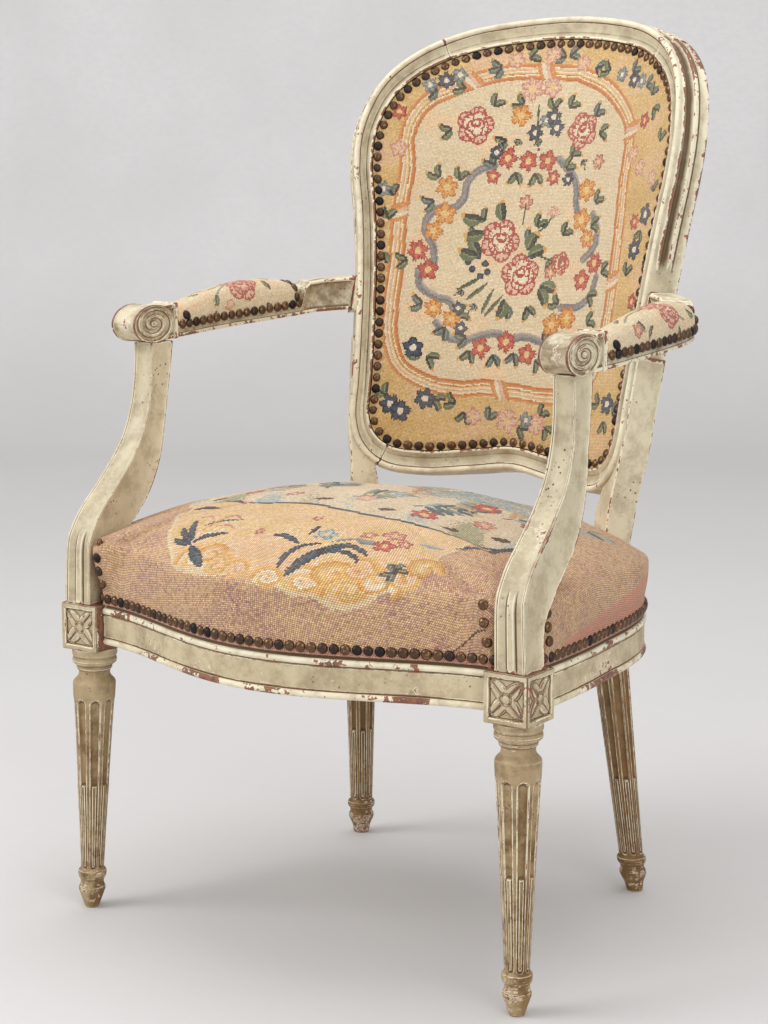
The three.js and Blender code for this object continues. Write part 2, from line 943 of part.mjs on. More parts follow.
// Height as a share of the support's height, then how far the front and the rear face have moved from
// their base place to their top place.
const supportShares = [
  [0.0, 0.0, 0.0],
  [0.14, 0.0, 0.0],
  [0.25, 0.015, 0.19],
  [0.315, 0.1, 0.34],
  [0.37, 0.21, 0.5],
  [0.45, 0.43, 0.66],
  [0.55, 0.68, 0.78],
  [0.65, 0.86, 0.84],
  [0.78, 0.97, 0.9],
  [0.9, 1.0, 0.96],
  [1.0, 1.0, 1.0],
];
const supportCove = 2;

function supportRing(share, frontShare, rearShare, grow) {
  const level = blockTop + fit + share * (supportTop - fit - blockTop - fit);
  const x = THREE.MathUtils.lerp(supportBaseX, supportTopX, share);
  const width = THREE.MathUtils.lerp(supportBaseWidth, supportTopWidth, share) + 2 * grow;
  const frontBase = supportBaseY - supportBaseDepth / 2;
  const rearBase = supportBaseY + supportBaseDepth / 2;
  const front = THREE.MathUtils.lerp(frontBase, supportTopY - supportTopDepth / 2, frontShare) - grow;
  const rear = THREE.MathUtils.lerp(rearBase, supportTopY + supportTopDepth / 2, rearShare) + grow;
  const [west, east] = [x - width / 2, x + width / 2];
  const middle = (front + rear) / 2;
  const outline = [
    [west, front],
    [x, front + supportCove],
    [east, front],
    [east - supportCove, middle],
    [east, rear],
    [west, rear],
    [west + supportCove, middle],
  ];
  return outline.map(([px, py]) => new THREE.Vector3(px, py, level));
}

function supportBody(grow) {
  return solidOf(loft(supportShares.map(([a, b, c]) => supportRing(a, b, c, grow))));
}

function supportTenon(grow) {
  const height = stubTenon + overrun + grow;
  const centre = new THREE.Vector3(supportBaseX, supportBaseY, blockTop + overrun - height / 2);
  return block(centre, stubTenon + 2 * grow, stubTenon + 2 * grow, height);
}

function supportTopTenon(grow) {
  const height = stubTenon + overrun + grow;
  const centre = new THREE.Vector3(supportTopX, supportTopY, supportTop - overrun + height / 2);
  return block(centre, stubTenon + 2 * grow, stubTenon + 2 * grow, height);
}

function armSupport() {
  return join(supportBody(0), supportTenon(0), supportTopTenon(0));
}

// Armrests

const armEndHeight = leanHeight(lugReach, lugMiddle);
const armEnd = backPoint(lugReach + lugDepth + fit, armEndHeight, -(frameBack + coveDepth) / 2);
const armEndNormal = backAcross(lugReach + lugDepth);
const armEndAcross = armEndNormal.clone().setZ(0).normalize();

// The armrest's axis seen from above: across as a share of the way from its rear end out to the widest
// place, along as a share of the way from the scroll to its rear end.
const armAxisShares = [
  [1.0, 0.23],
  [0.985, 0.41],
  [0.92, 0.58],
  [0.8, 0.735],
  [0.55, 0.88],
];

function armAxisCurve() {
  const start = new THREE.Vector3(scrollX, scrollY, 0);
  const middle = armAxisShares.map(
    ([out, along]) =>
      new THREE.Vector3(
        armEnd.x + out * (armOutX - armEnd.x),
        scrollY + along * (armEnd.y - scrollY),
        0,
      ),
  );
  const end = armEnd.clone().setZ(0);
  return new THREE.CatmullRomCurve3([start, ...middle, end], false, "centripetal");
}

const armAxis = armAxisCurve();
const scrollSides = 24;
const eyeShare = 0.33; // the volute's eye against the scroll

// Place along the axis, then the wood's height as a share of the way from the pad's seat up to its full
// height, and its width as a share of its largest width.
const armShares = [
  [0.0, 1.0, 0.66],
  [0.05, 1.0, 0.65],
  [0.085, 1.0, 0.64],
  [0.1, 0.0, 0.64],
  [0.3, 0.0, 0.68],
  [0.45, 0.0, 0.84],
  [0.6, 0.0, 0.98],
  [0.7, 0.0, 1.0],
  [0.765, 0.0, 0.9],
  [0.785, 0.7, 0.84],
  [0.82, 0.95, 0.72],
  [0.9, 1.0, 0.64],
  [1.0, 1.0, 0.62],
];
const padStart = 0.105;
const padEnd = 0.755;

function armFrame(t) {
  const point = armAxis.getPoint(t);
  const tangent = armAxis.getTangent(t);
  const across = new THREE.Vector3(tangent.y, -tangent.x, 0);
  const bottom = scrollZ - scrollHalfHeight + armRise * t;
  return { point, across, bottom };
}

function armHalfWidth(t) {
  const next = armShares.findIndex(([place]) => place >= t && place > 0);
  const [a, , from] = armShares[next - 1];
  const [b, , to] = armShares[next];
  return (armWidth / 2) * THREE.MathUtils.mapLinear(t, a, b, from, to);
}

function armRing(t, heightShare) {
  const { point, across, bottom } = armFrame(t);
  const half = armHalfWidth(t);
  const top = bottom + THREE.MathUtils.lerp(armPadSeat, armHeight, heightShare);
  const edge = filletHeight;
  return [
    [-half + edge, bottom],
    [half - edge, bottom],
    [half, bottom + edge],
    [half - filletWidth, (bottom + top) / 2],
    [half, top - edge],
    [half - edge, top],
    [-half + edge, top],
    [-half, top - edge],
    [-half + filletWidth, (bottom + top) / 2],
    [-half, bottom + edge],
  ].map(([out, level]) => point.clone().addScaledVector(across, out).setZ(level));
}

function armTenon(grow) {
  const inward = armEndAcross.clone().negate();
  const length = tenonLength / 2 + overrun + grow;
  const centre = armEnd
    .clone()
    .addScaledVector(inward, length / 2 - overrun)
    .setZ(lugMiddle);
  const turn = Math.atan2(armEndAcross.y, armEndAcross.x);
  return block(centre, length, tenonThickness + 2 * grow, tenonHeight + 2 * grow, turn);
}

function armPeg(grow) {
  const reach = lugReach + lugDepth - 2 * pegRadius;
  const height = leanHeight(reach, lugMiddle);
  return rod(
    backPoint(reach, height, -frameBack - past(grow)),
    backPoint(reach, height, -frameBack + shortPeg + grow),
    pegRadius + grow,
  );
}

function armrest() {
  const rings = armShares.map(([t, share]) => armRing(t, share));
  for (const p of rings[rings.length - 1]) {
    const short = armEnd.clone().sub(p).dot(armEndNormal) / armEndAcross.dot(armEndNormal);
    p.addScaledVector(armEndAcross, short);
  }
  const body = solidOf(loft(rings));
  const scroll = oval(scrollWidth, 1, scrollSides);
  const eye = oval(scrollWidth + 2 * volutePlate, eyeShare, scrollSides / 2);
  return cut(join(body, scroll, eye, armTenon(0)), supportTopTenon(fit), armPeg(fit));
}

// An oval across the front of the armrest, at a share of the scroll's size.
function oval(width, share, sides) {
  const geometry = new THREE.CylinderGeometry(1, 1, width, sides);
  geometry.rotateZ(Math.PI / 2);
  geometry.scale(1, share * scrollHalfHeight, share * scrollHalfLength);
  geometry.rotateX(Math.PI / 2);
  geometry.translate(scrollX, scrollY, scrollZ);
  return solidOf(geometry);
}

// Arm pads stand on the wood, bulge over its sides and are crowned

// Across and up as shares of the half width and of the crown.
const padSectionShares = [
  [-0.97, 0.0],
  [-1.0, 0.3],
  [-0.93, 0.62],
  [-0.7, 0.87],
  [-0.36, 0.98],
  [0.0, 1.0],
  [0.36, 0.98],
  [0.7, 0.87],
  [0.93, 0.62],
  [1.0, 0.3],
  [0.97, 0.0],
];
// Place along the pad, then its crown and its bulge as shares of the full ones.
const padShares = [
  [0.0, 0.64, 0.0],
  [0.1, 0.74, 0.5],
  [0.25, 0.87, 0.8],
  [0.42, 0.97, 1.0],
  [0.6, 1.0, 1.0],
  [0.76, 0.95, 1.0],
  [0.88, 0.85, 0.6],
  [0.96, 0.68, -0.4],
  [1.0, 0.5, -1.6],
];

// Inset is measured from the cover's outer face, and drop from the pad's seat.
function padForm(inset, drop) {
  const length = armAxis.getLength();
  const [from, to] = [padStart + inset / length, padEnd - inset / length];
  const rings = padShares.map(([share, crownShare, bulgeShare]) => {
    const t = THREE.MathUtils.lerp(from, to, share);
    const { point, across, bottom } = armFrame(t);
    const half = armHalfWidth(t) + padBulge * bulgeShare - inset;
    const crown = padCrown * crownShare - inset;
    const seat = bottom + armPadSeat + fit;
    return padSectionShares.map(([out, rise]) =>
      point
        .clone()
        .addScaledVector(across, out * half)
        .setZ(seat + rise * crown - (rise ? 0 : drop)),
    );
  });
  return solidOf(loft(rings));
}

const armPadCover = () => cut(padForm(0, 0), padForm(coverThickness, overrun));
const armPadStuffing = () => padForm(coverThickness + fit, 0);

// Seat upholstery

// The outer faces of the rails as one ring, seen from above.
const flipX = ({ point, inward }) => ({
  point: new THREE.Vector3(-point.x, point.y, 0),
  inward: new THREE.Vector3(-inward.x, inward.y, 0),
});
const plan = [
  ...frontStations,
  ...sideStations,
  ...backStations,
  ...sideStations.map(flipX).reverse(),
];

// The plan moved out by a distance, and by more where the padding bulges.
function planRing(distance, bulge, level) {
  return plan.map(({ point, inward }) => {
    const out = seatSideBulge * inward.x ** 2 + seatEndBulge * inward.y ** 2;
    return point.clone().addScaledVector(inward, -distance - bulge * out).setZ(level);
  });
}

// Level as a share of the way from the rails up to the shoulder, and the bulge there.
const seatSideShares = [
  [0.0, 0.0],
  [0.3, 0.6],
  [0.62, 0.92],
  [1.0, 1.0],
];
// How far a ring has drawn in to the middle, and its level as a share of the crown's rise.
const seatTopShares = [
  [0.96, 0.15],
  [0.86, 0.34],
  [0.68, 0.6],
  [0.42, 0.86],
  [0.12, 1.0],
];
const coverFace = coverThickness + fit - railRebate;

function seatForm(inset, low) {
  const base = Math.max(low, railTop);
  const rings = low < railTop ? [planRing(coverFace - inset, 0, low)] : [];
  for (const [rise, bulge] of seatSideShares)
    rings.push(planRing(coverFace - inset, bulge, base + rise * (seatShoulder - base)));
  const middle = new THREE.Vector3(0, seatCrownY, 0);
  const shoulder = rings[rings.length - 1];
  for (const [spread, rise] of seatTopShares) {
    const level = seatShoulder + rise * (seatCrown - seatShoulder) - inset;
    rings.push(shoulder.map((p) => middle.clone().lerp(p, spread).setZ(level)));
  }
  return solidOf(loft(rings.map((ring) => ring.map(dropped))));
}

// Lowers a point of the padding, more so towards the rear.
function dropped(point) {
  const rise = THREE.MathUtils.smoothstep(point.z, stuffingLevel, seatShoulder);
  const along = Math.max(0, (point.y - seatCrownY) / (rearBlockY - seatCrownY));
  return point.clone().setZ(point.z - seatRearDrop * rise * along);
}

// What stands up through the upholstery's corners, with room round it.
function cornerPosts(grow) {
  const corner = block(
    new THREE.Vector3(halfSpacing, 0, blockTop),
    blockSide + 2 * grow,
    blockSide + 2 * grow,
    2 * (railTop - blockTop),
  );
  const posts = [supportBody(grow), corner, stilePost(grow)];
  return [...posts, ...posts.map(mirrored)];
}

function stilePost(grow) {
  const rings = [blockRing(seatEdgeLow - overrun, -grow), ...stileRings(grow)];
  return solidOf(loft(rings));
}

function seatCover() {
  const shell = cut(seatForm(0, seatEdgeLow), seatForm(coverThickness, seatEdgeLow - overrun));
  return largest(cut(shell, ...cornerPosts(2 * fit)));
}

function seatStuffing() {
  return cut(seatForm(coverThickness + fit, stuffingLevel), ...cornerPosts(2 * fit));
}

function seatHessian() {
  const inset = coverFace - coverThickness - fit;
  const rings = [0, hessianThickness].map((rise) => planRing(inset, 0, hessianLevel + rise));
  return cut(solidOf(loft(rings)), ...cornerPosts(2 * fit));
}

// The largest body, without the slivers that a cut can leave.
function largest(solid) {
  return solid.decompose().reduce((best, one) => (one.volume() > best.volume() ? one : best));
}

// Webbing. A strip runs level, and steps over or under each strip that it crosses.

const webStep = webThickness + fit;
const webLevel = railTop + fit;
const hessianLevel = webLevel + webStep + webThickness + fit;
const stuffingLevel = hessianLevel + hessianThickness + fit;

// Stations are [place along the strip, lift]. The last argument turns (along, across, lift) to a point.
function webStrip(stations, pieces, pointAt) {
  const rings = stations.map(([along, lift]) => {
    const ring = [];
    for (let i = 0; i <= pieces; i++) ring.push(pointAt(along, webWidth * (i / pieces - 0.5), lift));
    for (let i = pieces; i >= 0; i--)
      ring.push(pointAt(along, webWidth * (i / pieces - 0.5), lift + webThickness));
    return ring;
  });
  return solidOf(loft(rings));
}

// Over is true where the strip passes over the crossing, and reach is half the crossing's room.
function webStations(from, to, crossings, reach, pitch) {
  const stations = [[from, 0]];
  for (const { at, over } of crossings) {
    const lift = over ? webStep : 0;
    stations.push([at - reach, lift], [at + reach, lift]);
  }
  stations.push([to, 0]);
  const fine = [stations[0]];
  for (let i = 1; i < stations.length; i++) {
    const [a, b] = [stations[i - 1], stations[i]];
    const count = Math.max(1, Math.round((b[0] - a[0]) / pitch));
    for (let k = 1; k <= count; k++)
      fine.push([a[0] + ((b[0] - a[0]) * k) / count, a[1] + ((b[1] - a[1]) * k) / count]);
  }
  return fine;
}

const longWebs = [-1.5, -0.5, 0.5, 1.5];
const crossWebs = [0, 1, 2, 3];
const crossWebY = (row) => crossWebStart + row * crossWebPitch;

function longWebX(column, y) {
  const share = y / rearBlockY;
  return column * THREE.MathUtils.lerp(longWebFrontPitch, longWebRearPitch, share);
}

function longSeatWeb(column, index) {
  const edges = [-webWidth / 2, webWidth / 2];
  const front = Math.max(...edges.map((e) => bowAt(longWebX(column, 0) + e)));
  const reach = Math.abs(longWebX(column, rearBlockY)) + webWidth / 2;
  const rear = backRailPoint(reach / backRailEnd.x).y;
  const crossings = crossWebs.map((row) => ({ at: crossWebY(row), over: (row + index) % 2 === 0 }));
  return webStrip(
    webStations(front + webSetIn, rear - webSetIn, crossings, webWidth / 2 + webRoom, frontSpacing),
    1,
    (along, across, lift) => new THREE.Vector3(longWebX(column, along) + across, along, webLevel + lift),
  );
}

// The reach of the side rail's outer face at a distance behind the front legs.
function sideReach(y) {
  let [low, high] = [0, 1];
  for (let step = 0; step < 30; step++) {
    const middle = (low + high) / 2;
    if (sideCurve.getPoint(middle).y < y) low = middle;
    else high = middle;
  }
  return sideCurve.getPoint(low).x;
}

function crossSeatWeb(row) {
  const y = crossWebY(row);
  const end = Math.min(sideReach(y - webWidth / 2), sideReach(y + webWidth / 2)) - webSetIn;
  const crossings = longWebs.map((column, index) => ({
    at: longWebX(column, y),
    over: (row + index) % 2 === 1,
  }));
  return webStrip(
    webStations(-end, end, crossings, webWidth / 2 + webRoom + webFan, frontSpacing),
    1,
    (along, across, lift) => new THREE.Vector3(along, y + across, webLevel + lift),
  );
}

// Back upholstery

const backWebHeights = backWebShares.map((share) => openingBottom + share * openingHeight);
const backWebLift = -rabbetDepth + fit + bendRoom;
const backHessianLift = backWebLift + webStep + webThickness + fit;
const backCoverLift = backHessianLift + hessianThickness + fit;
const backMiddle = (openingBottom + openingTop) / 2;

function openingReach(height) {
  let [low, high] = [topPlace, lowerJoint];
  for (let step = 0; step < 30; step++) {
    const middle = (low + high) / 2;
    if (openingEdge.getPoint(middle).y > height) low = middle;
    else high = middle;
  }
  return openingEdge.getPoint(low).x;
}

function acrossBackWeb(row) {
  const height = backWebHeights[row];
  const end =
    Math.min(openingReach(height - webWidth / 2), openingReach(height + webWidth / 2)) - filletWidth;
  const crossings = [left, right].map((side) => ({
    at: side * backWebReach,
    over: (row + (side > 0 ? 1 : 0)) % 2 === 0,
  }));
  return webStrip(
    webStations(-end, end, crossings, webWidth / 2 + webRoom, backWebPitch),
    1,
    (along, across, lift) => backPoint(along, height + across, backWebLift + lift),
  );
}

function uprightBackWeb(side) {
  const far = backWebReach + webWidth / 2;
  const top = openingEdge.getPoint(jointAt(topPlace, widestPlace, far)).y - filletWidth;
  const bottom = openingEdge.getPoint(jointAt(bottomPlace, widestPlace, backWebReach - webWidth / 2)).y;
  const crossings = backWebHeights
    .map((at, row) => ({ at, over: (row + (side > 0 ? 1 : 0)) % 2 === 1 }))
    .sort((a, b) => a.at - b.at);
  return webStrip(
    webStations(bottom + webSetIn, top, crossings, webWidth / 2 + webRoom, openingHeight),
    4,
    (along, across, lift) => backPoint(side * backWebReach + across, along, backWebLift + lift),
  );
}

const patchShares = [1, 0.92, 0.76, 0.54, 0.3, 0.08];
const patchPoints = 36;

// A sheet over the back's opening: the rear lift, the front lift, how much each is domed, and the share
// of the opening that it fills.
function backPatch({ rear, front, rearDome = 0, frontDome = 0, largestShare = 1 }) {
  const edge = [];
  for (let i = 0; i < patchPoints; i++) {
    const { point, side } = edgeFrame(i / patchPoints);
    edge.push(new THREE.Vector2(point.x - side.x * patchInset, point.y - side.y * patchInset));
  }
  const middle = new THREE.Vector2(0, backMiddle);
  const shares = patchShares.filter((share) => share <= largestShare);
  const ring = (share, lift, dome) =>
    edge
      .map((p) => middle.clone().lerp(p, share))
      .map((p) => backPoint(p.x, p.y, lift + dome * (1 - share ** 3)));
  const rearRings = shares.map((share) => ring(share, rear, rearDome)).reverse();
  const frontRings = shares.map((share) => ring(share, front, frontDome));
  return solidOf(loft([...rearRings, ...frontRings]));
}

// A sheet of even thickness over the opening, in columns that run straight up the back.
function backSheet(rear, thickness) {
  const end = openingHalfWidth - 2 * patchInset;
  const rings = [];
  for (let column = 0; column <= sheetColumns; column++) {
    const place = (2 * column) / sheetColumns - 1;
    const reach = end * Math.sin((place * Math.PI) / 2);
    const outer = Math.min(Math.abs(reach) + patchInset, openingHalfWidth);
    const top = openingEdge.getPoint(jointAt(topPlace, widestPlace, outer)).y - patchInset;
    const bottom = openingEdge.getPoint(jointAt(bottomPlace, widestPlace, outer)).y + 2 * patchInset;
    rings.push([
      backPoint(reach, bottom, rear),
      backPoint(reach, bottom, rear + thickness),
      backPoint(reach, top, rear + thickness),
      backPoint(reach, top, rear),
    ]);
  }
  return solidOf(loft(rings));
}

const sheetColumns = 26;
const backHessian = () => backSheet(backHessianLift, hessianThickness);
const backCoverFront = () =>
  backPatch({
    rear: backCoverLift,
    front: backCoverLift + coverThickness,
    rearDome: backDome,
    frontDome: backDome,
  });
const backStuffing = () =>
  backPatch({
    rear: backCoverLift + hessianThickness,
    front: backCoverLift - fit,
    frontDome: backDome,
    largestShare: 0.92,
  });
const backCoverOutside = () =>
  backSheet(-frameBack + rearRabbetDepth - outsideSet - coverThickness, coverThickness);

// Assembly

function material(color, roughness, metalness = 0) {
  return new THREE.MeshStandardMaterial({ color, roughness, metalness, flatShading: true });
}

const finishes = {
  paint: () => material(0xcdc6a5, 0.55),
  bareWood: () => material(0xb08a5a, 0.7),
  jute: () => material(0xa8895c, 0.9),
  hair: () => material(0x4b3d33, 0.95),
  needlepoint: () => material(0xcdb07a, 0.95),
  plainCloth: () => material(0xcfc3a4, 0.95),
};

const chair = new THREE.Group();

function add(name, solid, finish) {
  const mesh = new THREE.Mesh(geometryOf(solid), finishes[finish]());
  mesh.name = name;
  chair.add(mesh);
}

function addPair(name, solid, finish) {
  add(name + "_right", solid, finish);
  add(name + "_left", mirrored(solid), finish);
}

addPair("front_leg", frontLeg(), "paint");
addPair("rear_leg_stile", rearLegStile(), "paint");
add("front_seat_rail", frontSeatRail(), "paint");
addPair("side_seat_rail", sideSeatRail(), "paint");
add("back_seat_rail", backSeatRail(), "paint");
add("crest_rail", crestRail(), "paint");
add("lower_back_rail", lowerBackRail(), "paint");
addPair("arm_support", armSupport(), "paint");
addPair("armrest", armrest(), "paint");
addPair("arm_pad_cover", armPadCover(), "needlepoint");
addPair("arm_pad_stuffing", armPadStuffing(), "hair");
addPair("front_rail_peg", frontRailPeg(0), "bareWood");
addPair("side_rail_front_peg", sideRailFrontPeg(0), "bareWood");
addPair("side_rail_rear_peg", sideRailRearPeg(0), "bareWood");
addPair("back_rail_peg", backRailPeg(0), "bareWood");
addPair("crest_peg", crestPeg(0), "bareWood");
addPair("lower_rail_peg", lowerRailPeg(0), "bareWood");
addPair("arm_peg", armPeg(0), "bareWood");
add("front_rail_plug_outer", railPlug(0, 0), "bareWood");
add("front_rail_plug_inner", railPlug(1, 0), "bareWood");
longWebs.forEach((column, i) => add("seat_web_long_" + (i + 1), longSeatWeb(column, i), "jute"));
crossWebs.forEach((row) => add("seat_web_cross_" + (row + 1), crossSeatWeb(row), "jute"));
add("seat_hessian", seatHessian(), "jute");
add("seat_stuffing", seatStuffing(), "hair");
add("seat_cover", seatCover(), "needlepoint");
backWebHeights.forEach((_, row) => add("back_web_cross_" + (row + 1), acrossBackWeb(row), "jute"));
add("back_web_upright_right", uprightBackWeb(right), "jute");
add("back_web_upright_left", uprightBackWeb(left), "jute");
add("back_hessian", backHessian(), "jute");
add("back_stuffing", backStuffing(), "hair");
add("back_cover_front", backCoverFront(), "needlepoint");
add("back_cover_outside", backCoverOutside(), "plainCloth");

// The origin is the middle of the bounding box, on the floor.
chair.updateMatrixWorld(true);
const box = new THREE.Box3().setFromObject(chair, true);
chair.position.y = -(box.min.y + box.max.y) / 2;

export default chair;
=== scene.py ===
"""A painted armchair in the Louis XVI manner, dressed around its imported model.

Metres. +X is to the right as seen from the front, the front faces -Y, and +Z is up.
"""
import math

import bmesh
import bpy
import numpy as np
from mathutils import Matrix, Vector
from mathutils.bvhtree import BVHTree


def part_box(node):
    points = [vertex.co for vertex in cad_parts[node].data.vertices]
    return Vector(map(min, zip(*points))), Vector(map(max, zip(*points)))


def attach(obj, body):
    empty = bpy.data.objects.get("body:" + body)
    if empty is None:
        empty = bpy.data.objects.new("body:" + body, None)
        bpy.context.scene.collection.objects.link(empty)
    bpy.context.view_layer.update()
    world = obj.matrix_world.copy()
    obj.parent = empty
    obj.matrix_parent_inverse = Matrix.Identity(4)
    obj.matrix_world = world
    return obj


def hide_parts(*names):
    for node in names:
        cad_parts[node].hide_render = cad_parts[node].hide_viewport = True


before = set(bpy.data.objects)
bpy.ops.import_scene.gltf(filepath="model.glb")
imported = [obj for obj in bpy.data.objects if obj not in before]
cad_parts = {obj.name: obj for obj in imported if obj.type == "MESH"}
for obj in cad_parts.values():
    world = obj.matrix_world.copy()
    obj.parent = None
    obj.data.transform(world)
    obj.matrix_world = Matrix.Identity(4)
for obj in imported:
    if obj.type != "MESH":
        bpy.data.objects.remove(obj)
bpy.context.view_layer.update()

bl_info = {
    "name": "Painted fauteuil",
    "version": (1, 0, 0),
    "blender": (4, 5, 0),
    "location": "View3D > Sidebar > Fauteuil",
    "description": "Builds the visible pieces of a painted armchair around its packed model",
    "category": "Add Mesh",
}

MM = 0.001
LEG_AXIS_Y = (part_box("arm_support_left")[0].y + 0.5 * 41 * MM)  # the front legs' axis, in the frame

# Sizes of the timber, in millimetres, as the model's source has them

FIT = 0.3
HALF_SPACING = 250.0
BLOCK_HALF = 23.0
BLOCK_BOTTOM = 271.2
BLOCK_TOP = 318.3
FRONT_LEG_RADIUS = 22.6
FRONT_FOOT = (255.3, -6.7, 0.0)
FRONT_LEG_HEAD = (250.0, 0.0, 271.2)
REAR_FOOT = (175.2, 355.7, 0.0)
REAR_LEG_HEAD = (155.6, 327.2, 264.0)
REAR_LEG_RADIUS = 18.4
FLUTES = 8

REAR_BLOCK = np.array([153.0, 323.6])
REAR_BLOCK_WIDTH = 29.0
REAR_BLOCK_THICKNESS = 26.0
REAR_BLOCK_TURN = math.radians(33)
REAR_BLOCK_TOP = 334.0

RAIL_BOTTOM = 278.6
RAIL_MOULD_TOP = 315.8
RAIL_TOP = 335.0
RAIL_THICKNESS = 26.0
RAIL_REBATE = 4.5
FRONT_RAIL_SET = 14.0
FRONT_BOW = 62.0
BOW_FULLNESS = 1.6
SIDE_RAIL_X = 267.0
BACK_RAIL_BOW = 43.0

BACK_LEAN = math.radians(14.64)
BACK_FOOT_Y = 272.2
BEND = 97.3 / 200.0**2
OPENING_HALF_WIDTH = 202.0
OPENING_BOTTOM = 447.0
OPENING_TOP = 905.0
STILE_FACE = 20.0
CROSS_FACE = 24.0
FRAME_BACK = 31.0
CREST_JOINT_REACH = 133.0
LOWER_JOINT_REACH = 140.0
STILE_FOOT_TOP = 560.0
LUG_LOW = 587.5
LUG_HEIGHT = 37.0
LUG_DEPTH = 4.0

SUPPORT_BASE = (253.2, 0.0)
SUPPORT_BASE_SIZE = (32.5, 41.0)
SUPPORT_TOP_AXIS = (246.0, 94.5)
SUPPORT_TOP_SIZE = (22.6, 34.0)
SUPPORT_TOP = 571.0
SCROLL = (249.5, 82.3, 590.0)
SCROLL_HALF_HEIGHT = 19.0
SCROLL_HALF_LENGTH = 31.0
SCROLL_WIDTH = 31.0
ARM_WIDTH = 43.0
ARM_OUT_X = 252.0
ARM_HEIGHT = 35.0
ARM_PAD_SEAT = 13.0
PAD_CROWN = 33.0
PAD_BULGE = 3.0

SEAT_EDGE_LOW = 319.0
SEAT_SHOULDER = 380.0
SEAT_CROWN = 436.0
SEAT_CROWN_Y = 100.0
SEAT_REAR_DROP = 9.0
SEAT_SIDE_BULGE = 13.0
SEAT_END_BULGE = 7.0
BACK_DOME = 12.0

OPENING_SHARES = [
    (0.0, 1.0), (0.297, 0.986), (0.559, 0.952), (0.782, 0.895), (0.931, 0.823), (1.0, 0.731),
    (0.995, 0.651), (0.946, 0.552), (0.896, 0.421), (0.859, 0.279), (0.832, 0.148), (0.819, 0.066),
    (0.777, 0.026), (0.683, 0.0), (0.495, -0.001), (0.248, 0.017), (0.0, 0.033),
]
SIDE_RAIL_SHARES = [(0.99, 0.12), (0.955, 0.28), (0.89, 0.44), (0.82, 0.6), (0.7, 0.745), (0.47, 0.88)]
STILE_FOOT_SHARES = [
    (0.3, 0.705, 0.857), (0.4, 0.742, 0.872), (0.51, 0.77, 0.9),
    (0.6, 0.81, 0.92), (0.75, 0.85, 0.933), (1.0, 0.885, 0.958),
]
SUPPORT_SHARES = [
    (0.0, 0.0, -0.09), (0.14, 0.0, -0.06), (0.25, 0.015, 0.16), (0.315, 0.1, 0.34), (0.37, 0.21, 0.5),
    (0.45, 0.43, 0.66), (0.55, 0.68, 0.78), (0.65, 0.86, 0.84), (0.78, 0.97, 0.9), (0.9, 1.0, 0.96),
    (1.0, 1.0, 1.0),
]
ARM_AXIS_SHARES = [(1.0, 0.23), (0.985, 0.41), (0.92, 0.58), (0.8, 0.735), (0.55, 0.88)]
ARM_SHARES = [
    (0.0, 1.0, 0.66), (0.05, 1.0, 0.65), (0.085, 1.0, 0.64), (0.1, 0.0, 0.64), (0.3, 0.0, 0.68),
    (0.45, 0.0, 0.84), (0.6, 0.0, 0.98), (0.7, 0.0, 1.0), (0.765, 0.0, 0.9), (0.785, 0.7, 0.84),
    (0.82, 0.95, 0.72), (0.9, 1.0, 0.64), (1.0, 1.0, 0.62),
]
PAD_START = 0.105
PAD_END = 0.755
PAD_SHARES = [
    (0.0, 0.64, 0.0), (0.1, 0.74, 0.5), (0.25, 0.87, 0.8), (0.42, 0.97, 1.0), (0.6, 1.0, 1.0),
    (0.76, 0.95, 1.0), (0.88, 0.85, 0.6), (0.96, 0.68, -0.4), (1.0, 0.5, -1.6),
]
# where hands, feet and brooms have rubbed the paint through: a place and how far round it
RUBBED = [
    (172, 470, 862, 42), (192, 455, 800, 26), (60, 500, 905, 20), (140, 490, 885, 22),
    (-150, -50, 279, 40), (-60, -74, 279, 46), (30, -76, 279, 34), (150, -50, 279, 40),
    (-200, -25, 315, 22), (90, -68, 316, 24), (272, -22, 300, 24), (267, 150, 279, 60),
    (240, 250, 279, 50), (262, 18, 440, 36), (264, 4, 400, 20), (249, 72, 612, 26), (-249, 72, 612, 26),
    (249, 52, 590, 16), (-249, 52, 590, 16), (160, 320, 345, 26), (255, -7, 24, 26), (-255, -7, 24, 26),
    (175, 356, 24, 26), (-175, 356, 24, 26), (-166, 392, 560, 26), (252, -4, 255, 16),
    (-252, -4, 255, 16), (-90, 448, 470, 20),
]


# What a user may change


class FauteuilLooks(bpy.types.PropertyGroup):
    paint_colour: bpy.props.FloatVectorProperty(
        name="Paint", description="The distemper where it is clean", subtype="COLOR", size=4,
        default=(0.672, 0.591, 0.413, 1.0), min=0, max=1,
    )
    wear: bpy.props.FloatProperty(
        name="Wear", description="How far the edges are rubbed and chipped", subtype="FACTOR",
        default=0.6, min=0, max=1,
    )
    nail_colour: bpy.props.FloatVectorProperty(
        name="Nails", description="The bronzed metal of the nails", subtype="COLOR", size=4,
        default=(0.13, 0.075, 0.042, 1.0), min=0, max=1,
    )
    nail_diameter: bpy.props.FloatProperty(
        name="Nail diameter", description="Across a nail's round head", unit="LENGTH",
        default=0.0102, min=0.006, max=0.012,
    )
    nail_height: bpy.props.FloatProperty(
        name="Nail height", description="How far a nail's head stands up", unit="LENGTH",
        default=0.0032, min=0.001, max=0.006,
    )
    fullness: bpy.props.FloatProperty(
        name="Fullness", description="The pressure that fills the pads in their simulation",
        default=4.0, min=0, max=8,
    )
    fading: bpy.props.FloatProperty(
        name="Fading", description="How far light has faded the needlework", subtype="FACTOR",
        default=0.12, min=0, max=0.6,
    )


def settings():
    return bpy.context.scene.fauteuil_looks


# Curves and shapes in millimetres, with the front legs' axis at y = 0


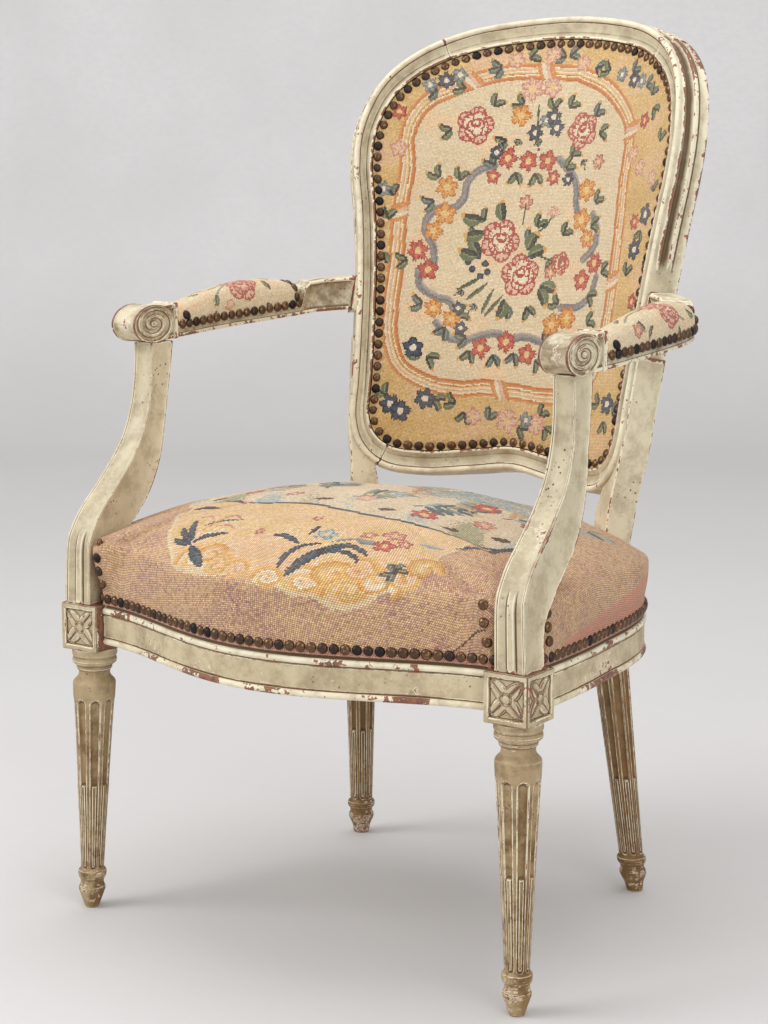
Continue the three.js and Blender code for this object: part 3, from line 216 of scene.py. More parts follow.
class Curve:
    """A centripetal Catmull-Rom curve, sampled finely so that places on it are quick to look up."""

    def __init__(self, points, closed=False, samples=3000):
        self.points = np.asarray(points, float)
        self.closed = closed
        self.places = np.linspace(0, 1, samples)
        self.table = np.array([self._exact(t) for t in self.places])
        slope = np.gradient(self.table, self.places, axis=0)
        if closed:
            slope[0] = slope[-1] = (self.table[1] - self.table[-2]) / (2 * self.places[1])
        self.slopes = unit(slope)

    def _exact(self, t):
        pts, count = self.points, len(self.points)
        place = (count - (0 if self.closed else 1)) * t
        index = int(math.floor(place))
        weight = place - index
        if not self.closed and weight == 0 and index == count - 1:
            index, weight = count - 2, 1.0
        if self.closed:
            around = [pts[(index + k) % count] for k in (-1, 0, 1, 2)]
        else:
            before = pts[index - 1] if index > 0 else 2 * pts[0] - pts[1]
            after = pts[index + 2] if index + 2 < count else 2 * pts[-1] - pts[-2]
            around = [before, pts[index], pts[index + 1], after]
        gaps = [max(float(np.sum((b - a) ** 2)) ** 0.25, 1e-4) for a, b in zip(around, around[1:])]
        p0, p1, p2, p3 = around
        start = ((p1 - p0) / gaps[0] - (p2 - p0) / (gaps[0] + gaps[1]) + (p2 - p1) / gaps[1]) * gaps[1]
        end = ((p2 - p1) / gaps[1] - (p3 - p1) / (gaps[1] + gaps[2]) + (p3 - p2) / gaps[2]) * gaps[1]
        w = weight
        return (
            (2 * w**3 - 3 * w**2 + 1) * p1
            + (w**3 - 2 * w**2 + w) * start
            + (3 * w**2 - 2 * w**3) * p2
            + (w**3 - w**2) * end
        )

    def at(self, t):
        t = np.mod(t, 1) if self.closed else t
        return np.stack([np.interp(t, self.places, column) for column in self.table.T], -1)

    def tangent(self, t):
        t = np.mod(t, 1) if self.closed else t
        return unit(np.stack([np.interp(t, self.places, column) for column in self.slopes.T], -1))


def unit(vectors):
    """The same ways with a length of 1."""
    return vectors / np.linalg.norm(vectors, axis=-1, keepdims=True)


def lengths(path):
    """How far along a line of points each of them lies."""
    return np.concatenate([[0], np.cumsum(np.linalg.norm(np.diff(path, axis=0), axis=1))])


def toward(degrees):
    """A step of length 1, at an angle from the first axis."""
    return np.array([math.cos(math.radians(degrees)), math.sin(math.radians(degrees))])


def smooth(value, low, high):
    share = np.clip((value - low) / (high - low), 0, 1)
    return share * share * (3 - 2 * share)


def across_at(reach):
    x = np.asarray(reach, float).copy()
    for _ in range(10):
        slope = 2 * BEND * x
        length = (x * np.hypot(1, slope) + np.arcsinh(slope) / (2 * BEND)) / 2
        x = x - (length - reach) / np.hypot(1, slope)
    return x


LEAN_UP = np.array([0, math.sin(BACK_LEAN), math.cos(BACK_LEAN)])
LEAN_BACK = np.array([0, math.cos(BACK_LEAN), -math.sin(BACK_LEAN)])


def back_point(reach, height, lift=0.0):
    """Reach runs along the bend from the middle, height up the lean, and lift towards the sitter."""
    reach, height, lift = np.broadcast_arrays(
        *(np.asarray(value, float) for value in (reach, height, lift))
    )
    x = across_at(reach)
    slope = 2 * BEND * x
    point = np.zeros(reach.shape + (3,))
    point[..., 0] = x
    point[..., 1] = BACK_FOOT_Y
    point += height[..., None] * LEAN_UP - (BEND * x * x)[..., None] * LEAN_BACK
    normal = -np.broadcast_to(LEAN_BACK, point.shape).copy()
    normal[..., 0] = -slope
    return point + lift[..., None] * unit(normal)


def lean_height(reach, level):
    return (level - back_point(reach, 0)[..., 2]) / math.cos(BACK_LEAN)


def opening_loop():
    height = OPENING_TOP - OPENING_BOTTOM
    half = [(x * OPENING_HALF_WIDTH, OPENING_BOTTOM + y * height) for x, y in OPENING_SHARES]
    return Curve(half + [(-x, y) for x, y in half[-2:0:-1]], closed=True)


OPENING = opening_loop()
WIDEST_PLACE = [x for x, _ in OPENING_SHARES].index(1.0) / (2 * len(OPENING_SHARES) - 2)


def joint_at(inner, outer, reach):
    low, high = inner, outer
    for _ in range(30):
        middle = (low + high) / 2
        if OPENING.at(middle)[0] < reach:
            low = middle
        else:
            high = middle
    return low


CREST_JOINT = joint_at(0.0, WIDEST_PLACE, CREST_JOINT_REACH)
LOWER_JOINT = joint_at(0.5, WIDEST_PLACE, LOWER_JOINT_REACH)


def further(place, length):
    step = 1e-3
    speed = np.linalg.norm(OPENING.at(place + step) - OPENING.at(place - step)) / (2 * step)
    return place + length / speed


def edge_frame(place):
    point = OPENING.at(place)
    tangent = OPENING.tangent(place)
    side = np.stack([-tangent[..., 1], tangent[..., 0]], -1)
    face = STILE_FACE + (CROSS_FACE - STILE_FACE) * side[..., 1] ** 2
    return point, side, face


def opening_reach(height):
    low, high = 0.0, LOWER_JOINT
    for _ in range(30):
        middle = (low + high) / 2
        if OPENING.at(middle)[1] > height:
            low = middle
        else:
            high = middle
    return float(OPENING.at(low)[0])


def outer_reach(level):
    reach = OPENING_HALF_WIDTH
    for _ in range(12):
        reach = opening_reach(float(lean_height(reach, level))) + STILE_FACE
    return reach


LUG_MIDDLE = LUG_LOW + LUG_HEIGHT / 2
LUG_REACH = outer_reach(LUG_MIDDLE)


# Meshes: a shape is a pair of vertices in millimetres and faces

CREASE = math.radians(32)  # edges that turn further than this are sharp


def loft(rings, closed_ends=True):
    """A shape through rings of points, with each end closed by one flat face."""
    rings = np.asarray(rings, float)
    rows, count, _ = rings.shape
    row, column = np.meshgrid(np.arange(rows - 1), np.arange(count), indexing="ij")
    a = row * count + column
    b = row * count + (column + 1) % count
    faces = np.stack([a, b, b + count, a + count], -1).reshape(-1, 4).tolist()
    if closed_ends:
        faces.append(list(range(count))[::-1])
        faces.append([(rows - 1) * count + k for k in range(count)])
    return outward(rings.reshape(-1, 3), faces)


def outward(points, faces):
    """Turns a closed shape's faces so that they point out."""
    triangles = np.array([(f[0], f[k], f[k + 1]) for f in faces for k in range(1, len(f) - 1)])
    a, b, c = (points[triangles[:, k]] for k in range(3))
    if np.einsum("ij,ij->i", a, np.cross(b, c)).sum() < 0:
        faces = [f[::-1] for f in faces]
    return points, faces


def flipped(shape):
    points, faces = shape
    return points * np.array([-1, 1, 1]), [f[::-1] for f in faces]


def joined(shapes):
    points, faces, start = [], [], 0
    for more_points, more_faces in shapes:
        points.append(more_points)
        faces += [[start + k for k in f] for f in more_faces]
        start += len(more_points)
    return np.concatenate(points), faces


def in_frame(points):
    """Millimetres from the legs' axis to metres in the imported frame."""
    return np.asarray(points, float) * MM + np.array([0, LEG_AXIS_Y, 0])


def add_object(name, data):
    obj = bpy.data.objects.new(name, data)
    bpy.context.scene.collection.objects.link(obj)
    return obj


def declare(obj, replaced=()):
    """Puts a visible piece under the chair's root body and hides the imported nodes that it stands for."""
    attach(obj, "root")
    if replaced:
        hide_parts(*replaced)
    return obj


def new_piece(name, shape, finish, replaced, relief=True):
    """A finished object of the chair, in place, with the finish and the nodes that it stands for."""
    points, faces = shape
    mesh = bpy.data.meshes.new(name)
    mesh.from_pydata(in_frame(points).tolist(), [], faces)
    mesh.validate()
    mesh.shade_smooth()
    mesh.set_sharp_from_angle(angle=CREASE)
    obj = add_object(name, mesh)
    mesh.materials.append(finish_named(finish))
    if relief:
        mark_relief(mesh)
    return declare(obj, replaced)


def mark_relief(mesh):
    """Stores how far each point stands out of its neighbours: over 0 on an edge, under 0 in a hollow."""
    count = len(mesh.vertices)
    points = np.empty(count * 3)
    mesh.vertices.foreach_get("co", points)
    points = points.reshape(-1, 3)
    normals = np.empty(count * 3, np.float32)
    mesh.vertex_normals.foreach_get("vector", normals)
    normals = normals.reshape(-1, 3)
    ends = np.empty(len(mesh.edges) * 2, np.int32)
    mesh.edges.foreach_get("vertices", ends)
    ends = ends.reshape(-1, 2)
    ends = np.concatenate([ends, ends[:, ::-1]])
    away = points[ends[:, 0]] - points[ends[:, 1]]
    length = np.maximum(np.linalg.norm(away, axis=1), 1e-6)
    weight = 1 / np.maximum(length, 0.0008) ** 1.5
    rise = np.einsum("ij,ij->i", away, normals[ends[:, 0]])
    top = np.bincount(ends[:, 0], weight * rise, count)
    bottom = np.bincount(ends[:, 0], weight * length, count)
    relief = top / np.maximum(bottom, 1e-9)
    form = relief.copy()
    reach = np.full(count, 0.0)
    for _ in range(10):
        # an even share of each neighbour within 5 mm
        near = length < 0.005
        total = np.bincount(ends[near, 0], form[ends[near, 1]], count) + form
        form = total / (np.bincount(ends[near, 0], minlength=count) + 1)
    spots = points / MM - (0, LEG_AXIS_Y / MM, 0)
    for x, y, z, size in RUBBED:
        gap = np.linalg.norm(spots - (x, y, z), axis=1) / size
        reach = np.maximum(reach, np.exp(-(gap**2)))
    for name, values in (("relief", relief), ("form", form), ("rub", reach)):
        attribute = mesh.attributes.new(name, "FLOAT", "POINT")
        attribute.data.foreach_set("value", values.astype(np.float32))


# Sections of the mouldings


def arc(centre, radii, start, end, steps):
    angle = np.radians(np.linspace(start, end, steps))
    return [(centre[0] + radii[0] * math.cos(a), centre[1] + radii[1] * math.sin(a)) for a in angle]


def frame_outline(face, groove):
    """The back frame's section: out from the opening, and lift. Groove is how deep the outer side's is."""
    bead = face - 6.5
    front = [(0, -6.0), (0, 2.4), (0.6, 3.0), (2.0, 3.0), (2.5, 2.6)]
    cove_width = bead - 2.5
    for k in range(1, 10):
        share = k / 10
        if share < 0.5:
            rise = max(-0.5, 2.6 - 3.3 * math.sin(math.pi * share * 1.25) ** 0.8)
        else:
            rise = -0.5 + 3.0 * ((share - 0.5) / 0.5) ** 1.6
        front.append((2.5 + share * cove_width, rise))
    front += [(bead - 0.2, 2.3), (bead, 0.9), (bead + 0.3, 0.9)]
    front += arc((bead + 3.3, 1.3), (3.1, 3.2), 168, 12, 9)
    side = [(face - 0.1, 0.6), (face, -0.6)]
    depth = FRAME_BACK
    side += [
        (face, -0.16 * depth),
        (face - 0.5 * groove, -0.19 * depth),
        (face - groove, -0.26 * depth),
        (face - groove, -0.34 * depth),
        (face - 0.45 * groove, -0.42 * depth),
        (face, -0.46 * depth),
        (face + 0.12 * groove, -0.53 * depth),
        (face, -0.6 * depth),
        (face - 0.25 * groove, -0.63 * depth),
        (face - 0.1 * groove, -0.7 * depth),
    ]
    rear = [(face, -depth + 3.5), (face - 1.0, -depth + 1.0), (face - 3.5, -depth), (0.5, -depth)]
    rear += [(0, -depth + 0.5), (0, -depth + 4.0), (-12.0, -depth + 4.0), (-12.0, -6.0)]
    return front + side + rear


def sweep_frame(start, end, steps, groove_at):
    places = np.linspace(start, end, steps + 1)
    rings = []
    for place in places:
        point, side, face = edge_frame(place)
        outline = np.array(frame_outline(float(face), float(groove_at(point))))
        reach = point[0] + side[0] * outline[:, 0]
        height = point[1] + side[1] * outline[:, 0]
        rings.append(back_point(reach, height, outline[:, 1]))
    return loft(rings)


def upper_groove(point):
    """The outer side of the frame is grooved above the arms only."""
    level = OPENING_BOTTOM + 0.42 * (OPENING_TOP - OPENING_BOTTOM)
    return 3.4 * smooth(point[1], level, level + 30)


# Turned and fluted legs

FRONT_PROFILE = [
    (0.0, 0.30), (0.006, 0.335), (0.037, 0.46), (0.058, 0.55), (0.068, 0.592), (0.074, 0.6),
    (0.080, 0.592), (0.088, 0.545), (0.098, 0.512), (0.108, 0.53), (0.118, 0.6), (0.128, 0.632),
    (0.136, 0.636), (0.144, 0.625), (0.15, 0.56), (0.153, 0.523), (0.17, 0.523), (0.185, 0.53),
    (0.35, 0.62), (0.475, 0.705), (0.6, 0.775), (0.72, 0.85), (0.79, 0.9), (0.82, 0.93), (0.85, 0.945),
    (0.866, 0.95), (0.872, 0.94), (0.878, 0.9), (0.884, 0.83), (0.892, 0.74), (0.9, 0.7), (0.91, 0.695),
    (0.918, 0.72), (0.922, 0.78), (0.928, 0.79), (0.936, 0.8), (0.941, 0.9), (0.947, 0.97),
    (0.955, 0.99), (0.963, 0.97), (0.968, 0.94), (0.972, 0.97), (0.978, 1.0), (1.0, 1.0),
]
REAR_PROFILE = [
    (0.0, 0.44), (0.008, 0.47), (0.038, 0.55), (0.058, 0.68), (0.07, 0.75), (0.076, 0.76), (0.084, 0.745),
    (0.094, 0.68), (0.102, 0.66), (0.11, 0.68), (0.12, 0.79), (0.13, 0.82), (0.14, 0.81), (0.148, 0.72),
    (0.153, 0.67), (0.18, 0.68), (0.45, 0.78), (0.75, 0.9), (0.9, 0.965), (0.935, 0.98), (0.94, 0.94),
    (0.948, 0.94), (0.953, 0.99), (0.965, 1.02), (0.978, 1.0), (1.0, 1.0),
]


def turned_leg(profile, foot, head, radius, flute, rings=190, sides=96):
    """Flute holds its low end, the end of its reeds and its top, as shares of the leg's height."""
    foot, head = np.array(foot), np.array(head)
    low, reeded, top = flute
    table = np.array(profile)
    places = np.unique(np.concatenate([table[:, 0], np.linspace(0, 1, rings)]))
    radii = radius * np.interp(places, table[:, 0], table[:, 1])
    angle = np.linspace(0, 2 * math.pi, sides, endpoint=False)
    pitch = 2 * math.pi / FLUTES
    off = np.abs((angle + pitch / 2) % pitch - pitch / 2) / (0.32 * pitch)
    height = float(head[2] - foot[2])
    out = []
    for place, r in zip(places, radii):
        half_width = 0.32 * pitch * r
        room_top = (top - place) * height / half_width
        room_low = (place - low) * height / half_width
        room = np.clip(min(room_top, room_low), 0, 1)
        reach = math.sqrt(max(0.0, 1 - (1 - room) ** 2))
        inside = np.clip(1 - (off / max(reach, 1e-3)) ** 2, 0, 1) if reach > 0.02 else np.zeros(sides)
        hollow = 3.4 * np.sqrt(inside) * min(1.0, reach * 1.3)
        fill = smooth(np.array(reeded - place), -0.004, 0.004)
        reed = 0.9 * np.sqrt(np.clip(1 - (off / 0.72) ** 2, 0, 1)) if reach > 0.9 else np.zeros(sides)
        ring_r = r - hollow * (1 - fill) - fill * np.maximum(0.5 * hollow - 2.1 * reed, 0)
        centre = foot + (head - foot) * place
        ring = np.stack([ring_r * np.cos(angle), ring_r * np.sin(angle), np.zeros(sides)], -1)
        out.append(centre + ring)
    return loft(out)


def rosette_height(u, v):
    """Depth under the block's face of a framed panel with four pointed leaves and a button."""
    far = np.maximum(np.abs(u), np.abs(v))
    depth = 2.6 * smooth(-far, -0.80, -0.74)
    depth = depth - 0.5 * smooth(-far, -0.92, -0.88) * smooth(far, 0.80, 0.84)
    radius = np.hypot(u, v)
    angle = np.arctan2(v, u)
    to_corner = np.abs((angle) % (math.pi / 2) - math.pi / 4)
    long = 0.95
    width = 0.34 * np.sqrt(np.clip(np.sin(np.clip(radius / long, 0, 1) * math.pi), 0, 1))
    leaf = smooth(width - radius * np.sin(to_corner), 0.0, 0.10) * (radius < long) * (far < 0.76)
    vein = smooth(0.04 - radius * np.sin(to_corner), -0.02, 0.02) * (radius > 0.22)
    depth = depth - (1.9 * leaf - 0.9 * leaf * vein)
    button = np.sqrt(np.clip(1 - (radius / 0.2) ** 2, 0, 1))
    ring = smooth(0.05 - np.abs(radius - 0.25), 0, 0.04)
    depth = np.where(radius < 0.2, 2.4 - 2.3 * button, depth + 0.8 * ring)
    return np.maximum(depth, 0)


def leg_block():
    """The square block over a front leg, with a rosette cut in its front and in its outer face."""
    middle, half = (BLOCK_BOTTOM + BLOCK_TOP) / 2, (BLOCK_TOP - BLOCK_BOTTOM) / 2
    share = np.concatenate([[-1], np.linspace(-0.95, 0.95, 47), [1]])
    u, v = np.meshgrid(share, share, indexing="ij")
    depth = rosette_height(u, v)
    level = middle + v * half
    front = np.stack([HALF_SPACING + u * BLOCK_HALF, -BLOCK_HALF + depth, level], -1)
    outer = np.stack([HALF_SPACING + BLOCK_HALF - depth, u * BLOCK_HALF, level], -1)
    mesh = bmesh.new()
    rows = [[mesh.verts.new(point) for point in row] for row in front]
    rows += [rows[-1]] + [[mesh.verts.new(point) for point in row] for row in outer[1:]]
    across = len(share)
    for start in (0, across):
        for i in range(start, start + across - 1):
            for j in range(across - 1):
                mesh.faces.new((rows[i][j], rows[i + 1][j], rows[i + 1][j + 1], rows[i][j + 1]))
    inner, last = HALF_SPACING - BLOCK_HALF, len(rows) - 1
    low, high = (mesh.verts.new((inner, BLOCK_HALF, z)) for z in (BLOCK_BOTTOM, BLOCK_TOP))
    ring = rows[:across] + rows[across + 1 :]
    mesh.faces.new([row[0] for row in ring] + [low])
    mesh.faces.new([row[-1] for row in ring] + [high])
    mesh.faces.new(rows[0] + [high, low])
    mesh.faces.new(rows[last] + [high, low])
    bmesh.ops.recalc_face_normals(mesh, faces=mesh.faces)
    arris = [e for e in mesh.edges if e.calc_face_angle() > 1.2 and e.calc_length() > 0]
    bmesh.ops.bevel(mesh, geom=arris, offset=0.9, segments=2, affect="EDGES", clamp_overlap=True)
    points = np.array([v.co[:] for v in mesh.verts])
    faces = [[v.index for v in f.verts] for f in mesh.faces]
    mesh.free()
    return outward(points, faces)


# Seat rails


def bow_at(x):
    share = np.minimum(np.abs(x) / (HALF_SPACING - BLOCK_HALF), 1)
    return -FRONT_RAIL_SET - FRONT_BOW * np.cos(share * math.pi / 2) ** BOW_FULLNESS


BLOCK_ACROSS = np.array([math.cos(REAR_BLOCK_TURN), -math.sin(REAR_BLOCK_TURN)])
BLOCK_AHEAD = np.array([-math.sin(REAR_BLOCK_TURN), -math.cos(REAR_BLOCK_TURN)])
SIDE_RAIL_END = REAR_BLOCK + BLOCK_ACROSS * REAR_BLOCK_WIDTH / 2 - BLOCK_AHEAD * RAIL_THICKNESS / 2
BACK_RAIL_END = REAR_BLOCK - BLOCK_ACROSS * REAR_BLOCK_WIDTH / 2 - BLOCK_AHEAD * RAIL_THICKNESS / 2
SIDE_CURVE = Curve(
    [(SIDE_RAIL_X, BLOCK_HALF)]
    + [
        (
            SIDE_RAIL_END[0] + out * (SIDE_RAIL_X - SIDE_RAIL_END[0]),
            BLOCK_HALF + along * (SIDE_RAIL_END[1] - BLOCK_HALF),
        )
        for out, along in SIDE_RAIL_SHARES
    ]
    + [tuple(SIDE_RAIL_END)]
)


def front_stations(steps):
    x = np.linspace(-1, 1, steps + 1) * (HALF_SPACING - BLOCK_HALF)
    y = bow_at(x)
    slope = np.gradient(y, x)
    slope[0] = slope[-1] = 0
    inward = np.stack([-slope, np.ones_like(x)], -1)
    return np.stack([x, y], -1), unit(inward)


def side_stations(steps):
    t = np.linspace(0, 1, steps + 1)
    tangent = SIDE_CURVE.tangent(t)
    inward = np.stack([-tangent[:, 1], tangent[:, 0]], -1)
    inward[0] = (-1, 0)
    inward[-1] = BLOCK_AHEAD
    return SIDE_CURVE.at(t), inward


def back_stations(steps):
    place = np.linspace(1, -1, steps + 1)
    points = np.stack(
        [BACK_RAIL_END[0] * place, BACK_RAIL_END[1] + BACK_RAIL_BOW * (1 - place**2)], -1
    )
    slope = -2 * BACK_RAIL_BOW * place / BACK_RAIL_END[0]
    inward = unit(np.stack([slope, -np.ones_like(slope)], -1))
    inward[0] = BLOCK_AHEAD
    inward[-1] = BLOCK_AHEAD * (-1, 1)
    return points, inward


def rail_outline():
    """Depth in from the outer face, and level: a bead along the foot and one under the nails."""
    low, top = RAIL_BOTTOM, RAIL_MOULD_TOP
    bead = arc((3.2, low + 3.3), (3.2, 3.3), 262, 98, 9)
    upper = arc((3.2, top - 3.2), (3.2, 3.2), 262, 98, 9)
    field = [(3.3, low + 6.9), (2.2, low + 7.6), (2.1, low + 8.8), (2.05, low + 11), (2.0, (low + top) / 2)]
    field += [(2.05, top - 10.8), (2.1, top - 8.6), (2.2, top - 7.4), (3.3, top - 6.7)]
    back = [(3.3, top), (RAIL_REBATE, top + 1.4), (RAIL_REBATE, RAIL_TOP)]
    back += [(RAIL_THICKNESS, RAIL_TOP), (RAIL_THICKNESS, low)]
    return np.array(bead + field + upper + back)


def plain_rail_outline():
    low, top = RAIL_BOTTOM, RAIL_MOULD_TOP
    return np.array(
        [(1.5, low), (0, low + 1.5), (0, top - 1), (1.2, top), (RAIL_REBATE, top + 2)]
        + [(RAIL_REBATE, RAIL_TOP), (RAIL_THICKNESS, RAIL_TOP), (RAIL_THICKNESS, low)]
    )


def rail(outline, stations, start_face, end_face):
    points, inward = stations
    rings = []
    for point, way in zip(points, inward):
        ring = np.zeros((len(outline), 3))
        ring[:, :2] = point + way * outline[:, :1]
        ring[:, 2] = outline[:, 1]
        rings.append(ring)
    for index, normal in ((0, np.array(start_face)), (-1, np.array(end_face))):
        off = (rings[index][:, :2] - points[index]) @ normal
        rings[index][:, :2] += (FIT - off)[:, None] * normal
    return loft(rings)


# The rear leg's block and the stile up to the frame


def rounded_square(corners, radius, steps=4):
    """A ring through four corners, each of them rounded."""
    ring = []
    for k in range(4):
        before, here, after = (np.array(corners[(k + i) % 4], float) for i in (-1, 0, 1))
        to_before = (before - here) / np.linalg.norm(before - here)
        to_after = (after - here) / np.linalg.norm(after - here)
        start, end = here + to_before * radius, here + to_after * radius
        for i in range(steps + 1):
            t = i / steps
            ring.append((1 - t) ** 2 * start + 2 * t * (1 - t) * here + t * t * end)
    return np.array(ring)


def block_ring(level, inset=0.0):
    corners = []
    for across, ahead in ((-1, 1), (1, 1), (1, -1), (-1, -1)):
        spot = (
            REAR_BLOCK
            + BLOCK_ACROSS * across * (REAR_BLOCK_WIDTH / 2 - inset)
            + BLOCK_AHEAD * ahead * (REAR_BLOCK_THICKNESS / 2 - inset)
        )
        corners.append((spot[0], spot[1], level))
    return corners


def stile_ring(share):
    table = np.array(STILE_FOOT_SHARES)
    height = REAR_BLOCK_TOP + share * (STILE_FOOT_TOP - REAR_BLOCK_TOP)
    inner, outer = (
        np.interp(share, table[:, 0], table[:, k]) * OPENING_HALF_WIDTH for k in (1, 2)
    )
    places = [(inner, -0.5), (outer, -0.5), (outer, -FRAME_BACK), (inner, -FRAME_BACK)]
    return [back_point(reach, height, lift) for reach, lift in places]


def stile_foot():
    rings = [rounded_square(block_ring(261.5, 4), 3), rounded_square(block_ring(264, 1.2), 2.5)]
    rings += [rounded_square(block_ring(z), 2.2) for z in (266.5, 300, REAR_BLOCK_TOP)]
    first = STILE_FOOT_SHARES[0][0]
    head, foot = np.array(block_ring(REAR_BLOCK_TOP)), np.array(stile_ring(first))
    for k in range(1, 9):
        rings.append(rounded_square(head + (foot - head) * smooth(np.array(k / 9), 0, 1), 2.2))
    for share in np.linspace(first, 1, 26):
        rings.append(rounded_square(stile_ring(share), 2.2))
    return loft(rings)


def lug():
    rings = []
    for reach in (LUG_REACH - 8, LUG_REACH + 2, LUG_REACH + LUG_DEPTH):
        low, high = lean_height(reach, LUG_LOW), lean_height(reach, LUG_LOW + LUG_HEIGHT)
        ends = [(low, -0.5), (low, -FRAME_BACK), (high, -FRAME_BACK), (high, -0.5)]
        rings.append(rounded_square([back_point(reach, h, lift) for h, lift in ends], 2.5))
    return loft(rings)


# Arm supports


def support_ring(share, front_share, rear_share):
    low, high = BLOCK_TOP + FIT, SUPPORT_TOP - FIT
    level = low + share * (high - low)
    x = SUPPORT_BASE[0] + share * (SUPPORT_TOP_AXIS[0] - SUPPORT_BASE[0])
    width = SUPPORT_BASE_SIZE[0] + share * (SUPPORT_TOP_SIZE[0] - SUPPORT_BASE_SIZE[0])
    ends = []
    for sign, moved in ((-1, front_share), (1, rear_share)):
        base = SUPPORT_BASE[1] + sign * SUPPORT_BASE_SIZE[1] / 2
        top = SUPPORT_TOP_AXIS[1] + sign * SUPPORT_TOP_SIZE[1] / 2
        ends.append(base + (top - base) * moved)
    front, rear = ends
    half = width / 2
    u = np.sin(np.linspace(-1, 1, 31) * math.pi / 2)
    reed_top = 0.29
    reed = np.sqrt(np.clip(1 - (u / 0.3) ** 2, 0, 1)) * math.sqrt(max(0, 1 - (share / reed_top) ** 6))
    cove = 3.2 * np.clip(1 - (np.abs(u) / 0.8) ** 3, 0, 1) ** 0.6
    edge_bead = 0.9 * np.exp(-(((np.abs(u) - 0.84) / 0.05) ** 2))
    sunk = np.where(reed > 0, np.minimum(cove, 3.2) - 2.8 * reed, cove) + edge_bead
    sunk[0] = sunk[-1] = 0.5
    outline = [(x + half * a, front + b) for a, b in zip(u, sunk)]
    v = np.linspace(-1, 1, 17)[1:-1]
    side = 2.6 * np.clip(1 - np.abs(v / 0.86) ** 3, 0, 1) ** 0.6
    side = side + 0.6 * np.exp(-(((np.abs(v) - 0.88) / 0.05) ** 2))
    middle, reach = (front + rear) / 2, (rear - front) / 2
    outline += [(x + half - d, middle + reach * a) for a, d in zip(v, side)]
    outline += [(x + half - 0.8, rear), (x, rear + 0.4), (x - half + 0.8, rear)]
    outline += [(x - half + d, middle - reach * a) for a, d in zip(v, side[::-1])]
    return np.array([(px, py, level) for px, py in outline])


def support_table(count):
    """The support's bend, drawn smoothly through the source's places."""
    curve = Curve(np.array(SUPPORT_SHARES), samples=900)
    rows = curve.at(np.linspace(0, 1, 700))
    share = np.linspace(0, 1, count)
    return [(s, np.interp(s, rows[:, 0], rows[:, 1]), np.interp(s, rows[:, 0], rows[:, 2])) for s in share]


def arm_support():
    return loft([support_ring(*row) for row in support_table(72)])


# Armrests


def arm_end():
    height = lean_height(LUG_REACH, LUG_MIDDLE)
    return back_point(LUG_REACH + LUG_DEPTH + FIT, height, -(FRAME_BACK + 0.5) / 2)


ARM_END = arm_end()
ARM_AXIS = Curve(
    [SCROLL[:2]]
    + [
        (ARM_END[0] + out * (ARM_OUT_X - ARM_END[0]), SCROLL[1] + along * (ARM_END[1] - SCROLL[1]))
        for out, along in ARM_AXIS_SHARES
    ]
    + [tuple(ARM_END[:2])]
)
ARM_BOTTOM = SCROLL[2] - SCROLL_HALF_HEIGHT
ARM_RISE = LUG_LOW - ARM_BOTTOM


def arm_frame(t):
    point = ARM_AXIS.at(t)
    tangent = ARM_AXIS.tangent(t)
    across = np.stack([tangent[..., 1], -tangent[..., 0]], -1)
    return point, across, ARM_BOTTOM + ARM_RISE * t


def arm_half_width(t):
    table = np.array(ARM_SHARES)
    return ARM_WIDTH / 2 * np.interp(t, table[:, 0], table[:, 2])


def arm_height(t):
    table = np.array(ARM_SHARES)
    return ARM_PAD_SEAT + (ARM_HEIGHT - ARM_PAD_SEAT) * np.interp(t, table[:, 0], table[:, 1])


def arm_outline(half, height):
    """Out and up: a bead along the lower edge, a hollowed side and a bead along the upper edge."""
    side = [(half - 2.2, 0), (half - 0.6, 0.7), (half, 2.2), (half - 0.6, 3.8), (half - 1.2, 4.2)]
    room = height - 8.4
    hollow = 1.6 * min(1.0, max(0.0, (height - 16) / 10))
    for k in range(1, 8):
        share = k / 8
        side.append((half - 1.2 - hollow * math.sin(math.pi * share) ** 0.5, 4.2 + room * share))
    side += [(half - 1.2, height - 4.2), (half - 0.4, height - 3.4), (half, height - 2)]
    side += [(half - 0.7, height - 0.6), (half - 2.4, height)]
    return np.array(side + [(-a, b) for a, b in side[::-1]])


def arm_body():
    table = np.array(ARM_SHARES)
    places = np.unique(np.concatenate([np.linspace(0, 1, 110), table[:, 0], [0.0852, 0.0998]]))
    rings = []
    for t in places:
        point, across, bottom = arm_frame(t)
        outline = arm_outline(float(arm_half_width(t)), float(arm_height(t)))
        ring = np.zeros((len(outline), 3))
        ring[:, :2] = point + across * outline[:, :1]
        ring[:, 2] = bottom + outline[:, 1]
        rings.append(ring)
    end_normal = back_point(LUG_REACH + LUG_DEPTH + 1, 600) - back_point(LUG_REACH + LUG_DEPTH - 1, 600)
    end_normal /= np.linalg.norm(end_normal)
    way = np.array([end_normal[0], end_normal[1], 0])
    way /= np.linalg.norm(way)
    off = (ARM_END - rings[-1]) @ end_normal / (way @ end_normal)
    rings[-1] = rings[-1] + off[:, None] * way
    return loft(rings)


def arm_collar(place, length, proud):
    """A raised band round the armrest, where the pad starts."""
    rings = []
    for share, grow in ((0, 0), (0.15, 0.75), (0.5, 1), (0.85, 0.75), (1, 0)):
        t = place + length * share
        point, across, bottom = arm_frame(t)
        half, height = float(arm_half_width(0.05)), ARM_HEIGHT
        corners = [(-half, 0), (half, 0), (half, height), (-half, height)]
        out = proud * grow
        ring = []
        for a, b in corners:
            a += math.copysign(out, a)
            b += out if b else -0.3 * out
            ring.append((point[0] + across[0] * a, point[1] + across[1] * a, bottom + b))
        rings.append(rounded_square(ring, 2.4))
    return loft(rings)


